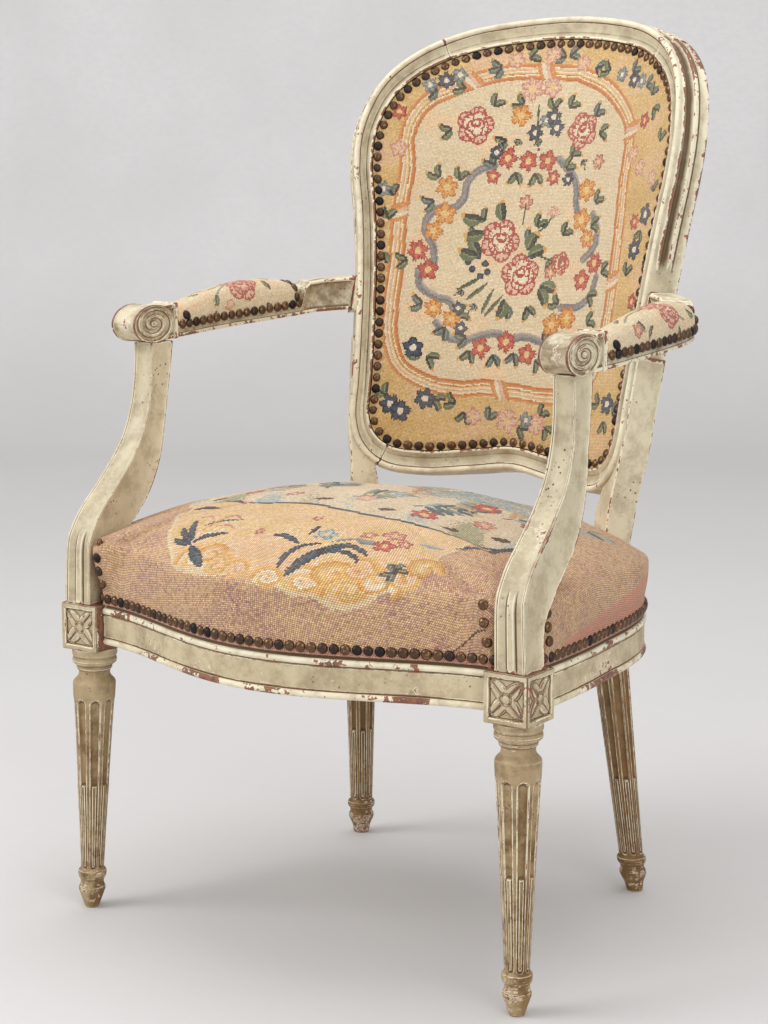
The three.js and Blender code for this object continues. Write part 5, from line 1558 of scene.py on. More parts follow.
def back_cloth(form):
    cloth = Cloth((-204, 443), (204, 908), 1.5)
    points, kept = form.lay(cloth)
    return cloth, points, kept


# The arm pads

PAD_SECTION = Curve(
    [(-0.99, 0.0), (-1.0, 0.3), (-0.93, 0.62), (-0.7, 0.87), (-0.36, 0.98), (0.0, 1.0)]
    + [(0.36, 0.98), (0.7, 0.87), (0.93, 0.62), (1.0, 0.3), (0.99, 0.0)],
    samples=600,
)
PAD_FOLD = 4.5  # how far the cover comes down over the wood's side


def pad_columns(count=64, around=45):
    """Sections of the filled arm pad from its front end to its rear end."""
    table = np.array(PAD_SHARES)
    rows = []
    for share in np.linspace(0, 1, count):
        t = PAD_START + (PAD_END - PAD_START) * share
        point, across, bottom = arm_frame(t)
        bulge = np.interp(share, table[:, 0], table[:, 2])
        crown = np.interp(share, table[:, 0], table[:, 1]) * PAD_CROWN
        ends = min(1.0, (share + 0.004) / 0.05, (1.004 - share) / 0.07)
        round_end = math.sqrt(max(0.0, 1 - (1 - ends) ** 2))
        half = float(arm_half_width(t)) + (PAD_BULGE - 1.0) * bulge + 0.6
        section = PAD_SECTION.at(np.linspace(0, 1, around))
        seat = bottom + ARM_PAD_SEAT
        ring = np.zeros((around, 3))
        ring[:, :2] = point + across * section[:, :1] * half
        ring[:, 2] = seat + section[:, 1] * (crown - 2.0) * round_end
        fold = ring[[0, -1]] - (0, 0, PAD_FOLD)
        wood = float(arm_half_width(t)) + 0.9
        fold[:, :2] = point + across * np.array([[-wood], [wood]])
        rows.append(np.concatenate([fold[:1], ring, fold[1:]]))
    rows = np.array(rows)
    held = np.zeros(rows.shape[:2], bool)
    held[:, :2] = held[:, -2:] = True
    held[:1] = held[-1:] = True
    return swell(rows, False, held, PAD_SWELL, settings().fullness)


def pad_cloth(rows):
    """The pad's cover, with its stitches in line with the arm."""
    middle = rows[:, rows.shape[1] // 2]
    along = lengths(middle[:, :2])
    step = np.linalg.norm(np.diff(rows, axis=1), axis=2)
    arcs = np.concatenate([np.zeros((len(rows), 1)), np.cumsum(step, axis=1)], axis=1)
    arcs -= arcs[:, -1:] / 2
    flat = np.stack([np.broadcast_to(along[:, None], arcs.shape), arcs], -1)
    cloth = Cloth((0, -62), (along[-1], 62), 1.5)
    points, kept = Form(flat, rows, False).lay(cloth)
    return cloth, points, kept


# Nails


def nail_tree():
    """Round-headed nails on points, each turned to the point's own way."""
    tree = bpy.data.node_groups.new("round nails", "GeometryNodeTree")
    face = tree.interface
    for name, way, kind in (
        ("Points", "INPUT", "Geometry"), ("Radius", "INPUT", "Float"), ("Height", "INPUT", "Float"),
        ("Finish", "INPUT", "Material"), ("Nails", "OUTPUT", "Geometry"),
    ):
        face.new_socket(name, in_out=way, socket_type="NodeSocket" + kind)
    nodes, links = tree.nodes, tree.links
    given, done = nodes.new("NodeGroupInput"), nodes.new("NodeGroupOutput")
    head = nodes.new("GeometryNodeMeshUVSphere")
    head.inputs["Segments"].default_value = 12
    head.inputs["Rings"].default_value = 8
    head.inputs["Radius"].default_value = 1.0
    size = nodes.new("ShaderNodeCombineXYZ")
    shaped = nodes.new("GeometryNodeTransform")
    smooth_faces = nodes.new("GeometryNodeSetShadeSmooth")
    way = nodes.new("GeometryNodeInputNamedAttribute")
    way.data_type = "FLOAT_VECTOR"
    way.inputs["Name"].default_value = "way"
    turn = nodes.new("FunctionNodeAlignRotationToVector")
    turn.axis = "Z"
    uneven = nodes.new("FunctionNodeRandomValue")
    uneven.data_type = "FLOAT"
    uneven.inputs[2].default_value = 0.95
    uneven.inputs[3].default_value = 1.05
    uneven.inputs["Seed"].default_value = 11
    spread_out = nodes.new("GeometryNodeInstanceOnPoints")
    real = nodes.new("GeometryNodeRealizeInstances")
    coat = nodes.new("GeometryNodeSetMaterial")
    for start, end in (
        (given.outputs["Radius"], size.inputs["X"]),
        (given.outputs["Radius"], size.inputs["Y"]),
        (given.outputs["Height"], size.inputs["Z"]),
        (head.outputs["Mesh"], shaped.inputs["Geometry"]),
        (size.outputs[0], shaped.inputs["Scale"]),
        (shaped.outputs["Geometry"], smooth_faces.inputs["Geometry"]),
        (given.outputs["Points"], spread_out.inputs["Points"]),
        (smooth_faces.outputs["Geometry"], spread_out.inputs["Instance"]),
        (way.outputs["Attribute"], turn.inputs["Vector"]),
        (turn.outputs["Rotation"], spread_out.inputs["Rotation"]),
        (uneven.outputs[1], spread_out.inputs["Scale"]),
        (spread_out.outputs["Instances"], real.inputs["Geometry"]),
        (real.outputs["Geometry"], coat.inputs["Geometry"]),
        (given.outputs["Finish"], coat.inputs["Material"]),
        (coat.outputs["Geometry"], done.inputs["Nails"]),
    ):
        links.new(start, end)
    return tree


def nail_row(name, points, ways):
    """One piece with a nail at each point, facing its way."""
    looks = settings()
    tree = bpy.data.node_groups.get("round nails") or nail_tree()
    mesh = bpy.data.meshes.new(name + "_points")
    mesh.from_pydata(in_frame(points).tolist(), [], [])
    attribute = mesh.attributes.new("way", "FLOAT_VECTOR", "POINT")
    attribute.data.foreach_set("vector", np.asarray(ways, np.float32).reshape(-1))
    patina = mesh.attributes.new("patina", "FLOAT", "POINT")
    shades = np.random.default_rng(len(name)).beta(2.2, 1.6, len(points))
    patina.data.foreach_set("value", shades.astype(np.float32))
    source = add_object(name + "_points", mesh)
    nodes = source.modifiers.new("nails", "NODES")
    nodes.node_group = tree
    sockets = tree.interface.items_tree
    inputs = {item.name: item.identifier for item in sockets if item.in_out == "INPUT"}
    nodes[inputs["Radius"]] = looks.nail_diameter / 2
    nodes[inputs["Height"]] = looks.nail_height
    nodes[inputs["Finish"]] = finish_named("bronze")
    source.update_tag()
    graph = bpy.context.evaluated_depsgraph_get()
    shown = source.evaluated_get(graph)
    made = bpy.data.meshes.new_from_object(shown, preserve_all_data_layers=True, depsgraph=graph)
    made.name = name
    bpy.data.objects.remove(source)
    bpy.data.meshes.remove(mesh)
    obj = add_object(name, made)
    if not made.materials or made.materials[0] is None:
        made.materials.clear()
        made.materials.append(finish_named("bronze"))
    return declare(obj)


def spaced(path, pitch, offset=0.0):
    """Places along a polyline at an even pitch that fits it whole, as row numbers with fractions."""
    path = np.asarray(path, float)
    length = lengths(path)
    count = max(2, int(round((length[-1] - 2 * offset) / pitch)) + 1)
    at = np.linspace(offset, length[-1] - offset, count)
    return np.interp(at, length, np.arange(len(path)))


def along_rows(values, places):
    low = np.floor(places).astype(int).clip(0, len(values) - 2)
    share = (places - low)[:, None]
    return values[low] * (1 - share) + values[low + 1] * share


def out_of(columns, number):
    """The way out of the cloth at the places of one row of the form's points."""
    around = np.roll(columns[:, number], -1, axis=0) - np.roll(columns[:, number], 1, axis=0)
    up = columns[:, number + 1] - columns[:, number - 1]
    return unit(np.cross(around, up))


NAIL_LEVEL = 325.4
SEAT_NAIL_PITCH = 10.8
PAD_NAIL_PITCH = 10.6
NAIL_STAND = 0.3  # how far a nail's middle stands out of the cloth
SIDE_ROWS = 14  # the rows of the seat's form that its upright side takes up
# beside the arm supports: the side of the chair, and the nails' levels on its front and on its side
SUPPORT_NAILS = [
    (-1, (341.0, 354.5, 368.0, 381.5), (340.0, 352.5, 365.0)),
    (1, (342.0, 360.5, 377.0), (340.0, 352.5, 365.0)),
]
SUPPORT_NAIL_X = 225.5
SUPPORT_NAIL_Y = 27.0


def seat_nails(columns):
    """The row along the rails and the short rows up the arm supports."""
    level = columns[:, :, 2]
    rows = np.arange(SIDE_ROWS)
    row = np.array([np.interp(NAIL_LEVEL, column[:SIDE_ROWS], rows) for column in level])
    low = np.floor(row).astype(int)
    share = (row - low)[:, None]
    index = np.arange(len(columns))
    path = columns[index, low] * (1 - share) + columns[index, low + 1] * share
    normal = np.array([out_of(columns, n)[k] for k, n in zip(index, np.maximum(low, 1))])
    hidden = inside_posts(path, 2.5)
    runs, run = [], []
    start = int(np.argmax(hidden))
    for k in list(range(start, len(columns))) + list(range(start)):
        if hidden[k]:
            if len(run) > 2:
                runs.append(run)
            run = []
        else:
            run.append(k)
    if len(run) > 2:
        runs.append(run)
    spots, ways = [], []
    for run in runs:
        places = spaced(path[run], SEAT_NAIL_PITCH, 3.5)
        spots.append(along_rows(path[run], places))
        ways.append(along_rows(normal[run], places))
    for side, front_levels, side_levels in SUPPORT_NAILS:
        for axis, place, levels in ((0, SUPPORT_NAIL_X, front_levels), (1, SUPPORT_NAIL_Y, side_levels)):
            some, out = beside_support(columns, side, axis, place, levels)
            spots.append(some)
            ways.append(out)
    spots, ways = np.concatenate(spots), unit(np.concatenate(ways))
    return spots + ways * NAIL_STAND, ways


def beside_support(columns, side, axis, place, levels):
    """Places on the filled seat beside an arm support, one over the other, at a distance across or along,
    and the way out of the cloth at each."""
    spots, ways = [], []
    for level in levels:
        sides = columns[:, :SIDE_ROWS]
        ring = np.array([[np.interp(level, line[:, 2], line[:, k]) for k in range(2)] for line in sides])
        ring = ring[(ring[:, 0] * side > 195) & (ring[:, 1] < 60)] * (side, 1)
        ring = ring[np.argsort(ring[:, axis])]
        before, here, after = np.interp((place - 3, place, place + 3), ring[:, axis], ring[:, 1 - axis])
        slope = (after - before) / 6
        spots.append((side * place, here, level) if axis == 0 else (side * here, place, level))
        ways.append((side * slope, -1, 0) if axis == 0 else (side, -slope, 0))
    return np.array(spots), np.array(ways)


def back_nails(form):
    flat = round_opening(BACK_NAIL_COUNT)
    return form.at(flat)[0], form.ways_at(flat)


def pad_nails(rows):
    """A row low along each side and round the rear end, and one more nail over it at the front."""
    spots, ways = [], []
    arms = np.array([arm_frame(t)[1] for t in np.linspace(PAD_START, PAD_END, len(rows))])
    for edge, sign in ((1, -1), (-2, 1)):
        path = rows[:, edge] + (0, 0, 0.2)
        out = np.concatenate([arms * sign, np.full((len(rows), 1), 0.15)], axis=1)
        places = spaced(path, PAD_NAIL_PITCH, 5.0)
        spots.append(along_rows(path, places))
        ways.append(along_rows(out, places))
        front = rows[3, edge + (6 if edge > 0 else -6)]
        spots.append(front[None])
        ways.append(out[:1] + (0, 0, 0.5))
    # round the rear end, over the arm
    end = rows[-4, 2:-2]
    behind = (rows[-1] - rows[-8]).mean(axis=0) * (1, 1, 0)
    behind /= np.linalg.norm(behind)
    places = spaced(end, PAD_NAIL_PITCH, 6.0)
    spots.append(along_rows(end, places))
    out = end - end.mean(axis=0) * (1, 1, 0) - (0, 0, end[:, 2].min())
    ways.append(along_rows(unit(out) + 0.9 * behind, places))
    spots, ways = np.concatenate(spots), unit(np.concatenate(ways))
    return spots + NAIL_STAND * ways, ways


# Needlework patterns, painted stitch by stitch in a few dyed wools


def wool_pair(deep, pale):
    return np.array(colour(*deep)[:3]), np.array(colour(*pale)[:3])


WOOLS = {
    "navy": wool_pair((20, 30, 56), (70, 92, 122)),
    "blue": wool_pair((92, 108, 118), (164, 170, 166)),
    "pale blue": wool_pair((120, 150, 160), (196, 206, 196)),
    "teal": wool_pair((26, 52, 70), (92, 128, 134)),
    "leaf": wool_pair((24, 48, 50), (116, 136, 98)),
    "sage": wool_pair((120, 126, 98), (184, 182, 144)),
    "rose": wool_pair((178, 84, 80), (232, 186, 166)),
    "pale rose": wool_pair((208, 140, 122), (242, 210, 188)),
    "red": wool_pair((158, 44, 50), (218, 112, 98)),
    "orange": wool_pair((196, 108, 44), (240, 184, 104)),
    "strand": wool_pair((196, 108, 54), (232, 164, 100)),
    "ochre": wool_pair((204, 144, 68), (242, 196, 120)),
    "mauve grey": wool_pair((108, 100, 112), (182, 172, 168)),
    "gold": wool_pair((208, 166, 100), (240, 208, 146)),
    "cream": wool_pair((226, 204, 166), (246, 234, 206)),
    "peach": wool_pair((222, 176, 136), (246, 212, 172)),
    "tan": wool_pair((186, 148, 104), (228, 196, 146)),
    "mauve": wool_pair((166, 116, 110), (214, 172, 152)),
    "brown": wool_pair((64, 42, 38), (122, 88, 64)),
}


class Needlework:
    """Lays motifs over a cloth's stitches. Places and lengths are flat ones, in millimetres."""

    def __init__(self, cloth, seed):
        self.cloth = cloth
        self.random = np.random.default_rng(seed)
        self.columns, self.rows = cloth.u[:, 0], cloth.v[0]

    def window(self, low, high):
        i = np.searchsorted(self.columns, (low[0], high[0]))
        j = np.searchsorted(self.rows, (low[1], high[1]))
        return slice(*i), slice(*j)

    def lay(self, part, mask, shade, wool):
        """Fills the masked stitches with one wool, in four steps from its deep to its pale dye."""
        if not mask.any():
            return
        deep, pale = WOOLS[wool]
        shade = np.broadcast_to(shade, mask.shape) + self.random.uniform(-0.13, 0.13, mask.shape)
        step = np.round(np.clip(shade, 0, 1) * 3)[..., None] / 3
        self.cloth.tint[part][mask] = (deep + (pale - deep) * step)[mask]

    def dye(self, mask, shade, low, high):
        """Gives the masked stitches one colour, each a little lighter or darker."""
        share = self.random.uniform(low, high, mask.sum())[:, None]
        self.cloth.tint[mask] = np.array(colour(*shade)[:3]) * share

    def local(self, x, y, reach, turn=0.0):
        """The stitches about a place, with their places turned to the motif's own way."""
        part = self.window((x - reach, y - reach), (x + reach, y + reach))
        dx, dy = self.cloth.u[part] - x, self.cloth.v[part] - y
        c, s = toward(turn)
        return part, dx * c + dy * s, dy * c - dx * s

    def ground(self, mask, wools, size, seed, mixing=0.5):
        """A ground in which wools give way to one another in soft patches."""
        place = np.stack([self.cloth.u, self.cloth.v], -1)
        field = wave(place, size, seed) + self.random.normal(0, mixing, mask.shape)
        share = np.clip((field + 1.6) / 3.2, 0, 0.999) * len(wools)
        for k, (wool, low, high) in enumerate(wools):
            chosen = mask & (share.astype(int) == k)
            self.lay((slice(None), slice(None)), chosen, self.random.uniform(low, high, mask.shape), wool)

    def oval(self, x, y, a, b, wool, turn=0.0, rim=None, low=0.45, high=0.9):
        part, along, across = self.local(x, y, max(a, b) + 2, turn)
        far = np.sqrt((along / a) ** 2 + (across / b) ** 2)
        self.lay(part, far < 1, high - (high - low) * far, wool)
        if rim:
            self.lay(part, (far < 1) & (far > 1 - 1.9 / min(a, b)), 0.15, rim)

    def leaf(self, x, y, length, width, turn, wool="leaf"):
        """A pointed leaf from its stalk: dark on one side, green on the other, and ochre at its tip."""
        part, along, across = self.local(x, y, length + 2, turn)
        share = np.clip(along / length, 0, 1)
        half = width / 2 * np.maximum(4 * share * (1 - share), 0) ** 0.62 * (1.15 - 0.4 * share)
        bent = across - 0.12 * length * np.sin(math.pi * share)
        inside = (np.abs(bent) < half) & (along > 0) & (along < length)
        self.lay(part, inside, np.where(bent > 0, 0.8 - 0.3 * share, 0.1), wool)
        self.lay(part, inside & (np.abs(bent) > half - 1.7) & (bent < 0.8), 0.0, "navy")
        self.lay(part, inside & (np.abs(bent) < 0.8) & (share > 0.2) & (share < 0.7), 0.3, "sage")
        self.lay(part, inside & (share > 0.8), 0.5, "sage" if length % 2 < 1 else "ochre")

    def spray(self, x, y, turn, size=13, wool="leaf", count=3):
        for k in range(count):
            swing = (k - (count - 1) / 2) * (62 if count == 2 else 48)
            self.leaf(x, y, size * (1.0 - 0.12 * abs(k - (count - 1) / 2)), size * 0.44, turn + swing, wool)

    def flower(self, x, y, radius, wool, petals=5, turn=0.0, heart="gold"):
        """A small open flower: petals of short stitches with deep tips and gaps between them, and a heart."""
        part, along, across = self.local(x, y, radius + 2, turn)
        far = np.hypot(along, across)
        angle = np.arctan2(across, along)
        open_out = np.abs(np.cos(angle * petals / 2))
        reach = radius * (0.66 + 0.34 * open_out) * (1 + 0.07 * np.sin(angle * 23))
        inside = far < reach
        streak = 0.3 * np.sin(angle * petals * 3)
        self.lay(part, inside, 0.85 - 0.5 * (far / reach) ** 2 + streak, wool)
        self.lay(part, inside & (far > reach - 1.6), 0.05, wool)
        self.lay(part, inside & (open_out < 0.26) & (far > radius * 0.3), 0.0, wool)
        self.lay(part, far < radius * 0.3, 0.9, heart)

    def rose(self, x, y, radius, wool="cream", line="red", turn=0.0):
        """A full rose: petals over one another, each drawn with a fringe of short deep red strokes."""
        part, along, across = self.local(x, y, radius + 2, turn)
        for size, petals, phase in ((1.0, 5, 0.4), (0.74, 4, 1.4), (0.5, 3, 2.3), (0.26, 2, 0.2)):
            shift = 0.16 * radius * (1 - size)
            dx, dy = along - shift * math.cos(5 * phase), across - shift * math.sin(5 * phase)
            far, angle = np.hypot(dx, dy), np.arctan2(dy, dx)
            fold = np.abs(np.cos(petals * angle / 2 + phase))
            edge = radius * size * (0.8 + 0.2 * fold)
            strokes = np.clip(np.sin(19 * angle + 2 * np.sin(4 * angle + phase)), 0, 1)
            fringe = 1.9 + 0.2 * radius * size * strokes
            inside = far < edge
            self.lay(part, inside, 1.0 - 0.5 * (far / edge) ** 2, wool if size < 1 else "pale rose")
            self.lay(part, inside & (far > edge - fringe), 0.3, line)
            self.lay(part, inside & (fold < 0.13) & (far > 0.45 * edge), 0.15, line)
        self.oval(x, y, radius * 0.15, radius * 0.11, line, low=0.1, high=0.4)

    def carnation(self, x, y, radius, wool="rose", turn=90.0):
        part, along, across = self.local(x, y, radius + 2, turn)
        far, angle = np.hypot(along, across), np.arctan2(across, along)
        reach = radius * (0.85 + 0.15 * np.sin(angle * 17))
        inside = (far < reach) & (along > -radius * 0.5)
        self.lay(part, inside, 0.5 + 0.5 * np.sin(far * 1.5 + 2 * np.sin(angle * 5)), wool)
        left = x - 0.5 * radius * toward(turn)[0]
        self.oval(left, y - 0.5 * radius, radius * 0.3, radius * 0.3, "sage")

    def line(self, points, width, wool, low=0.2, high=0.8, edge=None, twist=0.0, taper=False):
        """A stem, strand or ribbon along a smooth line. It turns over once in every length of twist, and a
        tapered one thins out to both its ends."""
        path = Curve(points, samples=60 * len(points)).table
        steps = lengths(path)
        way = np.gradient(path, axis=0)
        way /= np.maximum(np.linalg.norm(way, axis=1, keepdims=True), 1e-9)
        stride = 24
        for start in range(0, len(path) - 1, stride):
            piece = slice(start, min(start + stride + 1, len(path)))
            bit = path[piece]
            part = self.window(bit.min(axis=0) - width, bit.max(axis=0) + width)
            if self.cloth.u[part].size == 0:
                continue
            dx = self.cloth.u[part][..., None] - bit[:, 0]
            dy = self.cloth.v[part][..., None] - bit[:, 1]
            near = np.argmin(dx**2 + dy**2, axis=-1)
            pick = lambda grid: np.take_along_axis(grid, near[..., None], -1)[..., 0]
            dx, dy, at = pick(dx), pick(dy), steps[piece][near]
            across = dx * -way[piece][near, 1] + dy * way[piece][near, 0]
            far = np.hypot(dx, dy)
            half = width / 2
            if taper:
                half = half * (0.25 + 0.75 * np.maximum(np.sin(math.pi * at / steps[-1]), 0) ** 0.7)
            if twist:
                half = half * (0.5 + 0.5 * np.abs(np.cos(math.pi * at / twist)))
                across = across * np.sign(np.cos(math.pi * at / twist))
            inside = far < half
            self.lay(part, inside, low + (high - low) * (0.5 + 0.5 * across / np.maximum(half, 0.1)), wool)
            if edge:
                self.lay(part, inside & (far > half - 1.4), 0.2, edge)

    def age(self, fade, amount, seed):
        """Wear: single stitches that differ, rows of another dye lot, and soft faded places."""
        tint = self.cloth.tint
        place = np.stack([self.cloth.u, self.cloth.v], -1)
        pale = np.clip(0.5 + 0.5 * wave(place, 120, seed), 0, 1)[..., None] * amount
        tint += (np.array(colour(*fade)[:3]) - tint) * (0.08 + pale)
        tint *= 1 + self.random.normal(0, 0.055, tint.shape[:2])[..., None]
        tint *= 1 + self.random.normal(0, 0.018, (1, tint.shape[1], 1))
        np.clip(tint, 0.004, 0.95, out=tint)


def within(x, y, ring):
    """Which places lie inside a closed ring of points."""
    inside = np.zeros(x.shape, bool)
    for (ax, ay), (bx, by) in zip(ring, np.roll(ring, -1, axis=0)):
        if ay == by:
            continue
        inside ^= ((ay > y) != (by > y)) & (x < (bx - ax) * (y - ay) / (by - ay) + ax)
    return inside


BACK_BORDER = [
    (20, 866), (60, 850), (90, 828), (110, 805), (116, 775), (115, 745), (118, 700), (119, 650), (118, 600),
    (113, 560), (98, 532), (70, 521), (40, 517), (0, 520), (-40, 522), (-75, 517), (-110, 521), (-140, 535),
    (-155, 565), (-159, 600), (-160, 645), (-164, 700), (-163, 750), (-168, 780), (-163, 805), (-150, 825),
    (-125, 841), (-100, 854), (-70, 864), (-25, 868),
]
BACK_TIES = [(-22, 868, 0), (-106, 852, 25), (-164, 700, 90), (115, 798, 80), (118, 640, 90), (-22, 521, 0)]
LEAVES = [
    (-75, 870, 195), (-46, 882, 20), (-2, 884, 160), (2, 886, 10), (40, 872, -25), (62, 866, 150),
    (128, 844, 5), (142, 832, 50), (150, 818, -50), (98, 862, 30), (176, 728, 70), (160, 690, 230),
    (140, 645, 60), (176, 660, -70), (152, 502, 20), (126, 512, 150), (138, 494, 260), (-176, 690, 80),
    (-176, 655, 265), (-174, 716, 100), (-72, 502, 160), (-60, 494, 250), (-32, 488, 60), (4, 484, -40),
    (32, 497, 40), (40, 486, -60), (-98, 504, -30), (-150, 500, 120), (-112, 842, 160), (-142, 838, 200),
    (172, 600, 100), (176, 780, 60), (168, 560, 80), (-78, 826, 50), (-120, 796, 195), (52, 818, 40),
    (62, 800, -10), (14, 828, 40), (-6, 826, 80), (-42, 830, 150), (24, 586, -50), (84, 596, 20),
    (10, 632, -15), (-12, 681, 60), (14, 654, 10), (-68, 700, 120), (-72, 684, 170), (-4, 698, 50),
    (32, 690, 40), (-24, 612, 235), (-2, 612, 290), (-118, 548, 150), (-112, 548, 330), (72, 724, 40),
    (70, 700, 0), (-126, 742, 130), (-104, 742, 70), (-128, 716, 200), (-148, 650, 190), (96, 650, 10),
    (80, 626, 330), (72, 582, -40), (-124, 604, 170), (-96, 582, 240), (-70, 574, 200), (-64, 560, 250),
    (-36, 558, 270), (-10, 562, 250), (18, 556, -60), (38, 566, 20), (-66, 762, 130), (22, 762, 30),
    (-40, 756, 265), (-16, 756, 275), (-84, 596, 20), (40, 616, 150), (-56, 790, 200), (26, 776, 30),
]
SPRIGS = [(-60, 786, 205), (-42, 792, 240), (-20, 792, 290), (-82, 624, 215), (-66, 610, 240), (44, 770, -60)]
SMALL_FLOWERS = [
    (
        "pale rose", 10,
        [(-60, 879), (-18, 887), (22, 877), (125, 772), (142, 756), (170, 742), (-175, 768), (-50, 490)],
    ),
    ("pale rose", 14, [(-10, 489), (-36, 848)]),
    ("pale rose", 12, [(-12, 850), (28, 488)]),
    ("blue", 9, [(82, 861), (118, 850), (-120, 857), (-151, 842), (-12, 814), (-185, 722), (14, 492)]),
    ("navy", 10, [(104, 853), (-134, 849), (2, 806), (-24, 800), (-4, 818)]),
    ("red", 9, [(137, 806), (-180, 808), (160, 617), (145, 700), (-66, 750), (8, 752)]),
    ("red", 12, [(-52, 771), (-27, 769), (-3, 770), (84, 660), (68, 642), (-138, 661), (-124, 642)]),
    ("red", 12, [(-52, 564), (-22, 573), (6, 561)]),
    ("orange", 13, [(-44, 818), (57, 738), (56, 706), (54, 602), (34, 594), (-116, 733), (-114, 704)]),
    ("orange", 11, [(-124, 684), (-112, 601), (-90, 592), (68, 686)]),
    ("navy", 12, [(165, 706), (151, 671), (140, 512), (-144, 492), (-132, 486), (-107, 503), (-128, 556)]),
    ("navy", 8, [(-78, 583), (-84, 604), (-66, 776), (28, 750)]),
    ("rose", 9, [(30, 661), (22, 650), (-22, 724), (68, 768)]),
]
RIBBONS = [
    [(12, 772), (22, 764), (35, 754), (42, 740), (44, 726), (50, 712)],
    [(72, 712), (82, 694), (81, 678), (66, 664)],
    [(90, 645), (84, 626), (68, 614), (44, 612)],
    [(-66, 762), (-84, 754), (-94, 740), (-96, 722), (-108, 708)],
    [(-116, 712), (-130, 702), (-134, 686), (-122, 668), (-118, 650)],
    [(-134, 640), (-130, 624), (-112, 614), (-94, 610), (-86, 596)],
    [
        (-106, 586), (-94, 573), (-74, 570), (-52, 578), (-34, 581), (-16, 577), (0, 580), (20, 576),
        (40, 570), (60, 580),
    ],
]


def beside(path, off):
    """A closed path drawn off to one side."""
    way = unit(np.roll(path, -1, axis=0) - np.roll(path, 1, axis=0))
    moved = path + np.stack([-way[:, 1], way[:, 0]], -1) * off
    return np.concatenate([moved, moved[:1]])


def paint_back(cloth):
    """Cream in a ribbon border, with a hung bunch, a ring of flowers and ribbon, and a bouquet in it."""
    work = Needlework(cloth, 31)
    border = np.array(BACK_BORDER, float)
    inner = within(cloth.u, cloth.v, Curve(np.concatenate([border, border[:1]]), samples=400).table)
    creams = [("cream", 0.0, 0.45), ("cream", 0.2, 0.6), ("cream", 0.1, 0.5), ("peach", 0.85, 1.0)]
    work.ground(inner, creams, 90, 5, 0.35)
    work.ground(~inner, [("gold", 0.1, 0.5), ("gold", 0.35, 0.8), ("peach", 0.4, 0.7)], 80, 6, 0.4)
    work.line(beside(border, 0), 19.0, "gold", 0.4, 0.95)
    for off, wool, width in (
        (-6.6, "strand", 5.4), (6.6, "strand", 5.0), (-2.6, "orange", 1.8), (2.4, "peach", 2.4),
    ):
        work.line(beside(border, off), width, wool, 0.0, 0.9)
    for off in (-4.2, 0.0, 4.4):
        work.line(beside(border, off), 1.9, "cream", 0.7, 1.0, twist=11.0)
    for x, y, turn in BACK_TIES:
        c, s = toward(turn)
        for step, wool in ((-7, "strand"), (-2.5, "cream"), (2.5, "pale rose"), (7, "strand")):
            work.oval(x + step * c, y + step * s, 3.0, 11.5, wool, turn + 24)
    for ribbon in RIBBONS:
        work.line(ribbon, 9.0, "mauve grey", 0.2, 1.0)
        shadow = np.array(ribbon, float) + (1.6, -1.6)
        work.line(shadow, 3.6, "blue", 0.0, 0.5, twist=60.0)
    for x, y, turn in LEAVES:
        work.spray(x, y, turn, 19, "leaf" if (x + y) % 3 else "teal", 2 + int(abs(x)) % 2)
    for x, y, turn in SPRIGS:
        work.line([(x, y), (x, y) + 11 * toward(turn)], 2.2, "navy")
        work.spray(x, y, turn, 9, "navy", 3)
    for wool, radius, places in SMALL_FLOWERS:
        for k, (x, y) in enumerate(places):
            heart = "cream" if wool in ("navy", "blue") else "gold"
            work.flower(x, y, radius, wool, 5 + k % 2, 40 * k, heart)
    for x, y in ((-80, 655), (-74, 648), (-64, 641), (-60, 655), (-70, 662), (-56, 646)):
        work.oval(x, y, 4.2, 3.6, "navy", rim="navy", low=0.3, high=1.0)
    for stem in (
        [(-22, 700), (-22, 712), (-22, 722)],
        [(2, 668), (16, 664), (28, 661)],
        [(-5, 690), (8, 700), (15, 712)],
        [(-20, 790), (-22, 806), (-25, 830)],
    ):
        work.line(stem, 2.4, "leaf", 0.0, 0.4)
    # the bouquet's cut stalks
    for x, y, turn in ((-62, 640, 212), (-54, 634, 222), (-46, 628, 248), (-34, 622, 232)):
        work.line([(x, y), (x, y) + 30 * toward(turn)], 4.6, "leaf", 0.0, 0.7, taper=True)
    for x, y, turn in (
        (-68, 664, 120), (-70, 662, 165), (-12, 672, 60), (-10, 666, 20), (12, 636, -20), (10, 632, -60),
        (-46, 702, 100), (-72, 700, 165), (-30, 618, 250), (-66, 688, 190),
    ):
        work.leaf(x, y, 25, 14, turn, "leaf")
    work.carnation(15, 714, 9, "pale rose")
    work.rose(-95, 803, 22, turn=20)
    work.rose(38, 803, 21, turn=50)
    work.rose(-46, 681, 24, turn=5)
    work.rose(-16, 645, 24, turn=35)
    work.rose(34, 660, 13, turn=80)
    work.age((222, 200, 164), settings().fading, 9)


